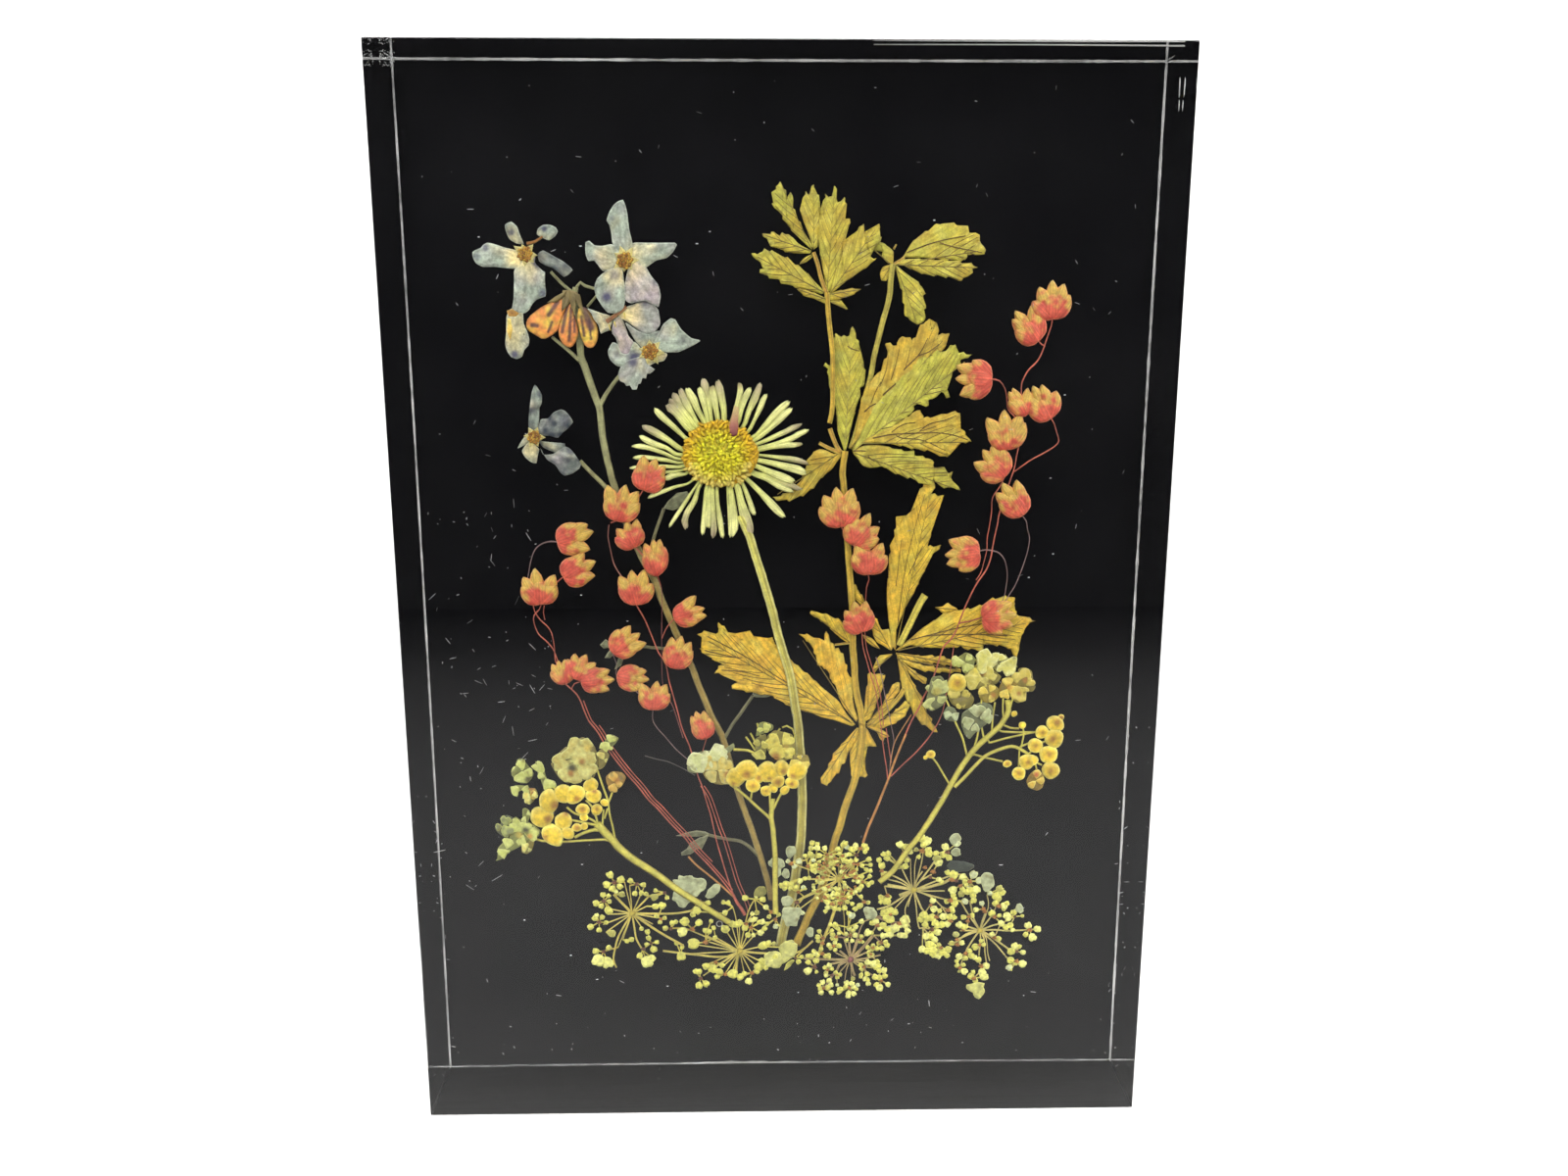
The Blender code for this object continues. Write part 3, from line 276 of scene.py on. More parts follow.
# For each wall: the way inwards, how wide the pale thread is and how far it wanders.
walls = [((1, 0), 0.13, 0.05), ((0, -1), 0.16, 0.08), ((-1, 0), 0.16, 0.09), ((0, 1), 0.10, 0.12)]
for start, end, (inward, plain, wander) in zip(corners, corners[1:], walls):
    run = wall_points(start, end, inward)
    widths = []
    for (x, z), _ in run:
        rough = noise.noise(Vector((x * 0.35, 0, z * 0.35))) + 0.6 * noise.noise(Vector((x, 3, z)))
        smear = 0.3 * max(0.0, 1 - ((x + 8) / 13) ** 2) if z < 1 else 0.0
        widths.append(max(0.05, plain + (wander + 0.4 * smear) * rough + smear))
    strip = glue_run(run, widths)
    bmesh.ops.translate(strip, verts=strip.verts, vec=(0, CLEAR_BACK, 0))
    spare = bpy.data.meshes.new("run")
    strip.to_mesh(spare)
    strip.free()
    glue.from_mesh(spare)
    bpy.data.meshes.remove(spare)
bmesh.ops.remove_doubles(glue, verts=glue.verts, dist=0.02)
bmesh.ops.recalc_face_normals(glue, faces=glue.faces)
bmesh.ops.solidify(glue, geom=glue.faces[:], thickness=0.2)
bmesh.ops.recalc_face_normals(glue, faces=glue.faces)
glue_seam_highlight = place("glue_seam_highlight", glue, glue_and_highlight_finish)
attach(glue_seam_highlight, "root")

# ================================================================ the lobed leaves
# Five dried leaves of one lobed-leaf plant, olive turning golden, each cut into toothed lobes with
# a dark vein to every tooth. They were pressed flat and sealed with their stalks.

FLOWER_PLANE, BAND_PITCH = 0.2, 0.65
THIN = 0.10


def trace(text):
    """Points on the plane of the flowers: where the first one is, then the step to each next one, as
    x,z in tenths of a millimetre."""
    steps = np.array([tuple(map(int, pair.split(","))) for pair in text.split()])
    return [(x / 10, z / 10) for x, z in steps.cumsum(0).tolist()]


def smooth_route(route, step, closed=False):
    """A curve through the points of a route or a closed outline, with a point about every step."""
    route = list(route)
    padded = route[-1:] + route + route[:2] if closed else route[:1] + route + route[-1:]
    bend = 0.3 if closed else 0.5
    points = []
    for corners in zip(padded, padded[1:], padded[2:], padded[3:]):
        count = max(1, int(math.dist(*corners[1:3]) / step))
        for i in range(count):
            t = i / count
            ease = t * t * (3 - 2 * t)
            points.append(tuple(b + (c - b) * ease + bend * (c - a) * t * (1 - t) ** 2
                                - bend * (d - b) * t * t * (1 - t) for a, b, c, d in zip(*corners)))
    return points if closed else points + route[-1:]


def mixed(first, second, share):
    """Colours between two, one for each share."""
    share = np.clip(np.asarray(share, float), 0, 1)[:, None]
    return np.asarray(first, float) * (1 - share) + np.asarray(second, float) * share


def dimmed(colour, share):
    return tuple(share * c for c in colour)


def around(x, z, out, turn):
    """The place this far from (x, z), in the direction of turn."""
    return x + out * math.cos(turn), z + out * math.sin(turn)


def ripple(points, scale, seed):
    """Smooth unevenness between about -1 and 1 at each (x, z) point."""
    return np.array([noise.noise(Vector((x / scale, seed * 7.31, z / scale))) for x, z in points]) * 1.6


def near(points, x, z, radius):
    """1 at a spot, falling to 0 beyond its radius."""
    away = np.hypot(points[:, 0] - x, points[:, 1] - z) / radius
    return np.clip(1.5 - 1.5 * away, 0, 1)


class Pressed:
    """One pressed piece: thin sheets, stalks and buds gathered in a mesh and tinted point by point."""

    def __init__(self, name, band):
        self.name = name
        self.level = FLOWER_PLANE + band * BAND_PITCH
        self.bm = bmesh.new()
        self.tints, self.runs = [], []

    def gather(self, bm, tint, runs):
        """Adds a finished little mesh: a colour for each point, and its place along, across and inside."""
        spare = bpy.data.meshes.new("spare")
        bmesh.ops.recalc_face_normals(bm, faces=bm.faces)
        bm.to_mesh(spare)
        bm.free()
        self.bm.from_mesh(spare)
        bpy.data.meshes.remove(spare)
        self.tints.append(np.asarray(tint, float))
        self.runs.append(np.column_stack(runs))

    def sheet(self, outline, paint, cell, lift, bulge, edge=0.6, wave=0.06, base=None, slant=0.0):
        """A thin leaf or petal of this outline. paint gets the points, share along and depth inside.
        With a slant, its streaks fan outward from its middle line."""
        bm = bmesh.new()
        bm.faces.new([bm.verts.new((x, 0.0, z)) for x, z in outline])
        bmesh.ops.triangulate(bm, faces=bm.faces[:])
        for _ in range(7):
            long_edges = [e for e in bm.edges if e.calc_length() > cell]
            if not long_edges:
                break
            bmesh.ops.subdivide_edges(bm, edges=long_edges, cuts=1)
            bmesh.ops.triangulate(bm, faces=[f for f in bm.faces if len(f.verts) > 3])
            bmesh.ops.beautify_fill(bm, faces=bm.faces[:], edges=bm.edges[:])
        bmesh.ops.recalc_face_normals(bm, faces=bm.faces)
        bmesh.ops.solidify(bm, geom=bm.faces[:], thickness=THIN)
        points = np.array([(v.co.x, v.co.z) for v in bm.verts])
        corners = np.array(outline)
        ahead = np.roll(corners, -1, axis=0) - corners
        from_corner = points[:, None] - corners[None]
        share = np.clip((from_corner * ahead).sum(2) / np.maximum((ahead ** 2).sum(1), 1e-9), 0, 1)
        inside = np.linalg.norm(from_corner - share[..., None] * ahead, axis=2).min(1)
        start = np.array(base or outline[0])
        tip = corners[np.linalg.norm(corners - start, axis=1).argmax()]
        reach = np.linalg.norm(tip - start)
        way = (tip - start) / reach
        run = (points - start) @ way
        aside = (points - start) @ np.array([-way[1], way[0]])
        swell = bulge * np.sqrt(np.clip(1 - (1 - np.clip(inside / edge, 0, 1)) ** 2, 0, 1))
        out = lift + swell + wave * ripple(points, 2.2, lift + bulge)
        for vert, rise in zip(bm.verts, out):
            vert.co.y = self.level + abs(vert.co.y) - rise
        fanned = abs(aside) - slant * run if slant else aside
        self.gather(bm, paint(points, run / reach, inside), (run, fanned, inside))

    def stalk(self, route, width, end_width, paint, lift, across=4, step=0.6, plump=0.35, waved=None):
        """A flattened stalk along a route. paint gets the points, share along and place across.
        A vein is waved like the leaf under it."""
        line = smooth_route(route, step)
        bm = bmesh.new()
        bmesh.ops.create_grid(bm, x_segments=across, y_segments=len(line) - 1, size=1.0)
        bm.verts.ensure_lookup_table()
        for vert in bm.verts:
            side, run = vert.co.x, (vert.co.y + 1) / 2
            row = round(run * (len(line) - 1))
            (x, z) = line[row]
            (ax, az), (bx, bz) = line[max(row - 1, 0)], line[min(row + 1, len(line) - 1)]
            long = math.hypot(bx - ax, bz - az) or 1.0
            half = 0.5 * (width + (end_width - width) * run)
            wide = half * (1 + 0.10 * noise.noise(Vector((x * 0.9, side * 2, z * 0.9))))
            rise = lift + plump * half * math.sqrt(max(0.0, 1 - side * side))
            if waved is not None:
                rise += 0.096 * noise.noise(Vector((x / 2.2, waved * 7.31, z / 2.2)))
            x, z = x - (bz - az) / long * side * wide, z + (bx - ax) / long * side * wide
            vert.co = (x, self.level - rise, z)
        bmesh.ops.solidify(bm, geom=bm.faces[:], thickness=THIN)
        points = np.array([(v.co.x, v.co.z) for v in bm.verts])
        line = np.array(line)
        rows = np.linalg.norm(points[:, None] - line[None], axis=2).argmin(1)
        shares = rows / (len(line) - 1)
        ahead = line[np.minimum(rows + 1, len(line) - 1)] - line[np.maximum(rows - 1, 0)]
        off = points - line[rows]
        crossed = ahead[:, 0] * off[:, 1] - ahead[:, 1] * off[:, 0]
        aside = crossed / np.maximum(np.linalg.norm(ahead, axis=1), 1e-6)
        sides = aside / np.maximum(0.5 * (width + (end_width - width) * shares), 1e-6)
        self.gather(bm, paint(points, shares, sides), (rows * step, aside, 1 - abs(sides)))

    def finish(self, material, slot, *nodes):
        """Makes the object, gives it its tints and streak directions, and rides it on the part."""
        obj = place(self.name, self.bm, material)
        obj.data.shade_smooth()
        colours = np.ones((len(obj.data.vertices), 4), np.float32)
        colours[:, :3] = np.clip(np.concatenate(self.tints), 0, 1)
        tint = obj.data.attributes.new("Tint", "FLOAT_COLOR", "POINT")
        tint.data.foreach_set("color", colours.ravel())
        lay = obj.data.attributes.new("Lay", "FLOAT_VECTOR", "POINT")
        lay.data.foreach_set("vector", np.concatenate(self.runs).astype(np.float32).ravel())
        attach(obj, "root")
        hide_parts(*nodes)
        return obj


def plant_finish(name, roughness, mottle, grain, streaks=(0.3, 1.8), depth=0.0, net=0.0):
    """Dry plant matter: the tint, clouded and finely grained, with streaks that run along each piece
    (how fine they are along and across it, and how dark) and a net of small veins."""
    material, shader, pen = new_finish(name)
    tint = pen.node("Attribute", out="Color", attribute_name="Tint")
    spot = pen.node("TexCoord", out="Object")
    cloud = pen.node("TexNoise", {"Vector": spot, "Scale": 420.0, "Detail": 4.0, "Roughness": 0.6})
    fine = pen.node("TexNoise", {"Vector": spot, "Scale": 2600.0, "Detail": 3.0, "Roughness": 0.7})
    shade = cloud.ramp(0.3, 0.7, 1 - mottle, 1 + mottle) * fine.ramp(0.3, 0.7, 1 - grain, 1 + grain)
    height = cloud * 0.5 + fine * 0.5
    if depth:
        lay = pen.node("Attribute", out="Vector", attribute_name="Lay")
        drawn = pen.node("VectorMath", {0: lay, 1: (*streaks, 0.0)}, out="Vector", operation="MULTIPLY")
        streak = pen.node("TexNoise", {"Vector": drawn, "Scale": 1.0, "Detail": 3.0, "Roughness": 0.55})
        shade = shade * streak.ramp(0.34, 0.66, 1 - depth, 1 + 0.6 * depth)
        height = height + streak * 1.4
    if net:
        cells = pen.node("TexVoronoi", {"Vector": spot, "Scale": 1300.0}, out="Distance",
                         feature="DISTANCE_TO_EDGE")
        veins = cells.ramp(0.02, 0.14, 1 - net, 1.0)
        shade = shade * veins
        height = height + veins * 0.5
    join(shader, "Base Color", tint.times(shade))
    join(shader, "Normal", pen.node("Bump", {"Strength": 0.6, "Distance": 0.00014, "Height": height}))
    shader.inputs["Roughness"].default_value = roughness
    return material


OLIVE, GOLD, BROWN = (0.50, 0.47, 0.05), (0.58, 0.38, 0.03), (0.15, 0.09, 0.02)
PALE_OLIVE, VEIN = (0.70, 0.66, 0.13), (0.12, 0.075, 0.015)


def leaf_paint(fresh, dry, dryness):
    """Olive in the middle of the lobe, drier in patches and brown along its very edge, lighter and darker
    over its crumples as painted light and shade.
    """
    def paint(points, along, inside):
        patches = 0.5 + 0.4 * ripple(points, 3.2, 2) + dryness
        colour = mixed(fresh, dry, patches)
        colour = mixed(colour, PALE_OLIVE, 0.35 * np.clip(ripple(points, 1.4, 5), 0, 1))
        rim = np.clip(1 - inside / 0.22, 0, 1) * (0.30 + 0.45 * ripple(points, 1.6, 9))
        colour = mixed(colour, BROWN, rim)
        # Painted light and shade: the lobe's colour brightened and darkened over its crumples, away from its
        # edge.
        painted_fold_shading = ripple(points @ np.array([[0.8, -0.25], [-0.25, 0.8]]), 1.1, 6) * np.clip(inside / 0.6, 0, 1)
        return colour * (1 + 0.26 * painted_fold_shading)[:, None]
    return paint


def vein_routes(lobe):
    """A midrib from the foot of a lobe to its tip, and curved side veins that leave it to both sides
    and end just inside the lobe's edge."""
    foot, corners = np.array(lobe[0]), np.array(lobe)
    tip = corners[np.linalg.norm(corners - foot, axis=1).argmax()]
    long = np.linalg.norm(tip - foot)
    way = (tip - foot) / long
    before, after = corners, np.roll(corners, -1, 0)

    def covered(x, z):
        crossed = (before[:, 1] > z) != (after[:, 1] > z)
        share = (z - before[crossed, 1]) / (after[crossed, 1] - before[crossed, 1])
        return (before[crossed, 0] + share * (after[crossed, 0] - before[crossed, 0]) > x).sum() % 2 == 1

    routes = [[tuple(foot + way * long * share) for share in (0.02, 0.3, 0.6, 0.93)]]
    for side in (-1, 1):
        run = 0.10 * long
        while run < 0.85 * long:
            point, route = foot + way * run, []
            turn = side * 0.52
            while covered(*(point + way * 0.25)) and len(route) < 16:
                route.append(tuple(point))
                c, s = math.cos(turn), math.sin(turn)
                point = point + 0.5 * np.array([way[0] * c - way[1] * s, way[1] * c + way[0] * s])
                turn *= 0.95
            if len(route) > 2:
                routes.append(route[::2] + route[-1:])
            run += 2.1 + 1.3 * noise.noise(Vector((run, side, long)))
    return routes


def plain_paint(colour, edge_colour, speckle=0.15):
    """One colour along a stalk, with paler or darker sides."""
    def paint(points, along, side):
        colours = mixed(colour, edge_colour, np.clip(abs(side), 0, 1) ** 3)
        return colours * (1 + speckle * ripple(points, 1.5, 4))[:, None]
    return paint


def stem_paint(colour):
    """A stalk with a pale line along each side and a darker line off its middle, which is painted shade for a
    groove there.
    """
    def paint(points, along, side):
        # Painted shade: the colour dimmed to 0.55 along a groove off the middle.
        colours = mixed(colour, dimmed(colour, 0.55), np.clip(1 - abs(side - 0.3) / 0.22, 0, 0.8))
        colours = mixed(colours, (0.68, 0.60, 0.14), 0.6 * np.clip(abs(side) - 0.6, 0, 1) / 0.4)
        return colours * (1 + 0.15 * ripple(points, 1.5, 4))[:, None]
    return paint


TOOTH_STEP, TOOTH_PITCH, TOOTH_DEPTH = 0.4, 2.1, 0.42
leaf_finish = plant_finish("dry_leaf", 0.55, 0.20, 0.18, (0.16, 1.9), 0.24, 0.12)


def toothed(lobe):
    """A lobe's outline with small saw teeth that point to its tip, and none at its foot."""
    edge = np.array(smooth_route(lobe, TOOTH_STEP, True))
    following = np.roll(edge, -1, axis=0)
    ahead, out = following - np.roll(edge, 1, axis=0), edge - lobe[0]
    turned = np.sign((edge[:, 0] * following[:, 1] - following[:, 0] * edge[:, 1]).sum())
    saw = np.arange(len(edge)) * TOOTH_STEP / TOOTH_PITCH % 1
    saw = np.where((ahead * out).sum(1) > 0, saw, 1 - saw) ** 1.5 - 0.4
    reach = np.linalg.norm(out, axis=1)
    saw *= TOOTH_DEPTH * np.clip(reach / reach.max() * 3 - 0.6, 0, 1) * min(1.0, reach.max() / 12)
    share = turned * saw / np.linalg.norm(ahead, axis=1)
    edge += share[:, None] * np.column_stack([ahead[:, 1], -ahead[:, 0]])
    return [tuple(corner) for corner in edge]


def leaf(name, band, fresh, dry, dryness, vein_width, lobes, stalks, extra_veins="", tones=()):
    """One leaf: its lobes lie over each other like a fan, with raised veins and its stalks. A tone
    for each lobe says how dry it is, and a fresh one has a pale midrib."""
    piece = Pressed(name, band)
    for order, lobe in enumerate(map(trace, lobes)):
        lift = 0.05 * (order % 4)
        tone = tones[order] if tones else 0.12 * math.sin(order * 2.1)
        piece.sheet(toothed(lobe), leaf_paint(fresh, dry, dryness + tone), 0.45, lift, 0.10,
                    base=lobe[0], slant=0.42)
        for number, route in enumerate(vein_routes(lobe)):
            wide = vein_width * (0.36 if number else 1.0)
            colour = mixed(VEIN, fresh, [(0.84 if number else 0.6) - 0.8 * dryness])[0]
            if tone < -0.2 and number == 0:
                colour = PALE_OLIVE
            piece.stalk(route, wide, wide * 0.4, plain_paint(colour, BROWN, 0.3), lift + 0.12, 2, 0.5, 0.35,
                        lift + 0.10)
    for row in extra_veins.split(";") if extra_veins else ():
        wide, route = row.split(":")
        wide = float(wide)
        piece.stalk(trace(route), wide, wide * 0.5, plain_paint(VEIN, BROWN, 0.3), 0.30, 2, 0.5, 0.2)
    for route, width, end_width, colour in stalks:
        piece.stalk(trace(route), width, end_width, stem_paint(colour), 0.16, 6)
    return piece.finish(leaf_finish, "leaf", name)


STALK_OLIVE, STALK_GOLD, STALK_BROWN = (0.50, 0.42, 0.06), (0.58, 0.37, 0.03), (0.50, 0.29, 0.035)

leaf("leaf_top_left", 1, OLIVE, GOLD, -0.15, 0.12, [
    "74,1444 -5,31 -5,25 -5,35 -3,30 5,9 6,-4 3,32 8,-6 8,19 5,-25 11,7 2,-8 -5,-29 12,4 -2,-12 -8,-24"
    " -5,-28 -7,-25 -9,-27",
    "79,1444 7,31 7,20 6,17 0,14 8,2 4,6 5,-11 6,17 11,16 5,-16 20,14 2,-5 -8,-17 12,3 -10,-15 -9,-10"
    " -9,-7 18,-3 -10,-10 -19,-12 -20,-15 -19,-16",
    "72,1445 -18,18 -14,15 -20,15 -15,10 -25,9 -9,4 2,-12 -21,3 5,-8 11,-9 11,-4 -17,-7 14,-8 16,-5 11,-6"
    " 19,-6 23,-5 20,-6",
    "74,1435 -28,13 -22,4 12,-11 18,-6 17,-7",
    "76,1443 24,7 16,2 15,-1 -9,-6 -18,-8 -24,-4",
    "78,1432 20,0 11,-14 -13,6 -15,5",
    "49,1514 -13,11 -14,13 -12,14 -10,14 -8,11 -10,10 9,1 -9,16 9,4 2,9 4,3 7,-10 4,-16 6,8 4,-10 2,-16"
    " 8,-16 8,-18 14,-22",
    "52,1514 -10,28 -6,18 -7,18 6,-3 -1,15 4,15 5,-6 8,16 2,-15 5,2 2,-17 2,-15 -2,-25 -2,-27",
    "48,1512 -19,10 -10,10 -13,7 -6,3 -4,-6 -14,7 -1,-4 -14,0 9,-7 10,-4 -7,-7 9,-3 14,-6 18,-4 26,0",
    "50,1507 -13,-6 -8,-10 11,3 10,8",
], [
    ("52,1510 7,-20 5,-20 9,-24", 0.6, 0.7, STALK_BROWN),
    ("74,1446 2,-26 3,-30 5,-40 1,-50 0,-35 -2,-20 -3,-13", 0.85, 0.8, STALK_GOLD),
])

leaf("leaf_top_right", 3, OLIVE, GOLD, -0.05, 0.14, [
    "187,1492 14,13 9,15 10,12 16,11 14,10 13,4 15,-1 18,-3 12,-4 1,-7 9,-1 6,-4 0,-6 -6,-3 10,-4 6,-10"
    " -1,-6 -15,-3 -12,3 0,-6 -3,-5 -23,1 -30,2 -45,2",
    "187,1491 15,8 28,1 40,-2 42,-6 12,-6 -8,-3 -2,-4 -6,-7 -7,-4 -9,-2 -17,4 -20,3 -20,2 -20,8 -15,7",
    "188,1490 14,-11 16,-11 14,-12 5,-12 -2,-4 4,-15 -2,-8 -5,-3 7,-9 -3,-5 -10,-5 -14,6 -8,12 -2,17 -2,15"
    " -6,17 -4,14",
    "152,1514 7,13 14,-6 10,-9 1,-16 -1,-7 -11,7 -8,8 2,7",
    "181,1490 -14,-3 -5,-13 3,-9 8,-1 3,8 6,3",
], [
    ("184,1516 4,7", 0.3, 0.2, STALK_BROWN),
    ("182,1490 20,12", 0.4, 0.3, STALK_BROWN),
    ("183,1492 -3,-27 -1,-20 -4,-20 -7,-25 -7,-30 -6,-25 -5,-30 -8,-35 -10,-40 -8,-30"
     " -7,-22", 0.95, 0.85, STALK_OLIVE),
],
     "0.098:205,1510 35,13 25,7 37,7;0.098:260,1526 20,-6 50,-10")

leaf("leaf_middle", 2, OLIVE, GOLD, -0.2, 0.13, [
    "106,1183 -6,17 -6,18 -1,17 -2,18 -9,35 -2,17 -4,15 -7,6 4,5 9,-3 4,17 1,20 0,13 3,2 9,-5 13,1 5,13"
    " 6,-10 4,-16 6,-12 0,-11 -1,-8 6,-5 0,-22 -3,-12 -5,-4 0,-14 -8,-30 -7,-30 -5,-25",
    "115,1188 8,22 5,30 5,28 5,19 7,10 10,12 8,5 5,14 6,12 2,10 -3,15 7,-2 5,-4 2,-8 3,5 1,8 6,7 9,3 8,-1"
    " 3,-6 5,7 4,10 8,12 11,7 5,-3 -1,-17 4,4 2,12 5,-7 -1,-16 4,1 9,3 7,1 -2,-12 -5,-10 -6,-10 -26,-19"
    " -40,-30 -40,-45 -30,-50",
    "119,1183 9,20 12,27 14,28 18,21 16,15 11,20 16,7 11,17 14,5 20,8 14,0 8,8 8,3 1,-10 -7,-7 16,2 20,-3"
    " -14,-5 -7,-4 2,-5 -8,-9 -9,-8 -12,-7 -4,-9 7,-4 5,-8 1,-10 -4,-2 -5,7 -8,2 -4,-6 -7,-6 -8,-1 -7,3"
    " 6,-6 4,-7 -11,2 -9,1 -5,-4 -6,-12 -27,-20 -30,-17 -24,-13",
    "134,1197 16,13 20,9 20,9 20,12 9,8 9,3 8,-2 2,-6 -3,-5 11,2 14,3 13,2 11,4 12,1 6,-2 -6,-10 -9,-8"
    " -7,-8 13,2 9,-2 10,-10 7,-8 3,-5 -10,0 -12,-1 -18,0 -19,3 10,-6 7,-8 3,-11 -2,-3 -13,4 -22,7 -22,3"
    " -20,5 -24,4 -22,2",
    "120,1182 16,10 14,2 20,-1 20,-5 20,-4 16,-1 -5,-4 9,-4 18,-3 7,-4 4,-8 1,-4 12,0 8,-3 4,-7 7,3 -4,-9"
    " 5,-7 5,-7 6,-9 -9,3 -11,0 -11,4 -10,6 -4,4 -4,-7 -12,-2 -11,7 -13,5 -16,5 -16,7 -16,9 -8,-2 -13,-1"
    " -12,4 -8,11",
    "100,1183 -12,-4 -13,6 -11,2 -10,-5 -8,-9 -4,-7 -4,-16 -8,-18 -12,-14 -16,-8 -18,-5 11,-5 17,0 20,6"
    " 18,12 12,14 10,11 12,9 9,13 8,11",
], [
    ("81,1222 9,-24 9,-16", 0.75, 0.7, STALK_BROWN),
    ("63,1198 19,-10 17,-6", 0.5, 0.6, STALK_BROWN),
],
     "0.187:139,1250 9,9 10,5;0.209:170,1278 10,10 11,9;0.143:204,1320 11,11 12,12 8,12 8,17;0.11:227,1343"
     " 19,7 16,12;0.088:164,1292 10,26 4,26;0.11:183,1304 7,24 6,27;0.077:206,1322 5,18 3,16;"
     "0.088:150,1265 8,21 8,14;0.132:154,1206 31,6 35,2 40,1 30,-4 25,-8;0.0825:185,1216 20,13 20,3;"
     "0.088:233,1218 17,12 25,6 19,8;0.0825:193,1211 10,-5 32,-3 29,-11;0.121:122,1184 10,1 10,-1;"
     "0.132:146,1175 6,-5 5,-3;0.11:109,1359 9,-5 11,-3", (-0.25, 0.7, -0.45, 0.4, 0.0, 0.5))

leaf("leaf_right", 3, (0.69, 0.53, 0.04), (0.71, 0.42, 0.03), 0.1, 0.15, [
    "199,834 -7,11 -2,20 -4,25 -3,30 1,35 3,40 -1,25 7,4 2,26 2,19 11,-6 7,9 11,16 7,12 5,18 6,12 14,0"
    " 4,-10 -5,-10 10,-3 11,1 -8,-12 -13,-15 -6,-12 5,-7 0,-17 -3,-26 23,2 -12,-13 -12,-15 -7,-20 -9,-23"
    " -10,-20 -11,-20 -10,-20 -5,-20 0,-20",
    "192,833 -16,10 -11,7 -10,25 -15,30 -14,28 1,18 9,-16 16,-25 13,-20 11,-20 11,2 7,-27",
    "199,833 26,22 20,18 20,14 17,12 23,7 20,2 23,7 17,10 28,5 13,-3 -2,-14 5,-11 6,-6 29,-10 -14,-6 -4,-8"
    " -2,-10 -9,-3 2,-24 -4,-18 -7,9 -8,11 -20,5 -26,2 4,-14 -16,4 -20,2 -5,4 -25,-2 -25,0 -22,2 -17,3",
    "267,911 13,1 10,7 6,-5 10,-7 -23,-7 -9,6",
    "200,829 40,-5 35,-1 18,-4 12,-7 15,-6 -5,-5 -25,5 -30,4 -30,3 -20,5",
    "204,820 36,-11 30,-6 30,-3 17,-3 -2,-4 -30,0 -35,3 -22,7",
    "202,820 33,-25 20,-13 -1,-9 -5,0 -13,9 -14,11",
    "202,826 5,-31 2,-15 4,-20 9,-20 11,-20 7,-12 10,-10 12,-9 13,-5 -4,11 -8,15 -8,15 -7,20 -11,20 -10,18"
    " -9,17 -9,18",
    "194,827 -24,-4 -6,-13 -5,-15 4,-3 9,13 12,15",
    "141,862 14,-5 11,-11 6,-10 -9,3 -13,9 -7,9",
], [
    ("206,843 19,42 15,33 9,15", 1.1, 1.25, (0.70, 0.58, 0.08)),
],
     "0.105:202,880 10,90 14,70 19,70;0.105:198,950 8,80;0.105:220,970 23,50;0.105:225,853 45,12 40,10"
     " 35,6 55,14;0.105:250,860 50,3 60,-1 35,-2")

leaf("leaf_lower", 2, (0.72, 0.55, 0.04), (0.75, 0.43, 0.03), 0.15, 0.15, [
    "130,699 -15,19 -15,24 -18,16 -17,15 -15,15 -16,13 -12,11 -24,21 -7,10 -11,17 -6,-8 0,-15 -13,7 -11,13"
    " -6,12 -10,-5 2,-11 -12,5 -12,5 -11,13 -12,11 -2,-9 5,-18 -12,6 -16,4 -12,-5 14,-12 12,-5 13,-7 -16,0"
    " -19,-2 12,-11 14,-8 16,-7 8,-4 -12,0 -8,-6 -5,-9 17,-1 9,-6 10,-4 17,-2 -14,-3 -10,-9 18,-6 18,-3"
    " 19,-4 19,-5 18,-11 14,-7 14,-5 20,-6 20,-9 20,-5 20,-7 15,-5",
    "132,704 -12,14 -11,14 -9,18 -2,13 -6,11 -9,10 0,8 -5,10 -16,6 7,5 -7,10 -8,13 -7,14 -9,6 -9,9 11,0"
    " 15,-6 19,-6 2,15 5,-6 5,-12 7,-12 6,2 7,-12 6,-16 2,-14 6,-10 4,-13 0,-20 4,-25 6,-20",
    "124,846 -14,6 -15,11 -13,15 -14,10 -12,7 -8,10 14,-1 18,-5 20,-9 10,-10 14,-15",
    "141,705 5,25 3,30 2,25 2,11 7,-4 21,-2 -2,-15 -7,-20 -6,-20 -10,-25",
    "150,700 25,33 13,27 12,17 8,-2 -2,-15 -11,-18 -12,-20 -21,-23",
    "150,697 35,13 17,17 16,15 8,-7 -6,-17 -12,-12 -18,-9 -15,-5",
    "150,696 22,-4 11,-6 7,-9 -8,-2 -2,-9 -7,10 -5,9",
    "134,694 -19,-21 -15,-17 -10,-14 -3,-9 -8,-16 -8,-17 -2,-10 7,-3 5,-3 5,10 12,13 8,15 10,18 6,13 12,21",
    "136,693 -12,-33 -2,-10 1,-27 0,-15 5,-9 10,3 14,-1 -3,14 -2,15 -2,23 11,6 11,0 -6,14 -11,19",
], [
    ("107,1184 -4,-34 2,-25 4,-45 3,-40 2,-30 3,-35 2,-25 3,-40 1,-40 1,-30 3,-30 1,-25 4,-30 7,-30"
     " 3,-25", 1.1, 1.25, STALK_GOLD),
    ("142,700 1,-20 -3,-30 -8,-45 -7,-25 -9,-25 -7,-25 -6,-25 -7,-20 -12,-55 -14,-45 -10,-25 -10,-20"
     " -7,-18 -7,-17 -6,-15 -4,-12", 1.2, 1.5, STALK_GOLD),
    ("92,846 26,3", 0.3, 0.3, STALK_BROWN),
    ("160,700 43,45 12,20", 0.9, 0.8, GOLD),
],
     "0.105:-130,862 50,-27 40,-25 40,-27 40,-21 40,-27 40,-29;0.105:-135,837 40,-10 25,-4;0.105:-106,801"
     " 36,-3 30,-8")

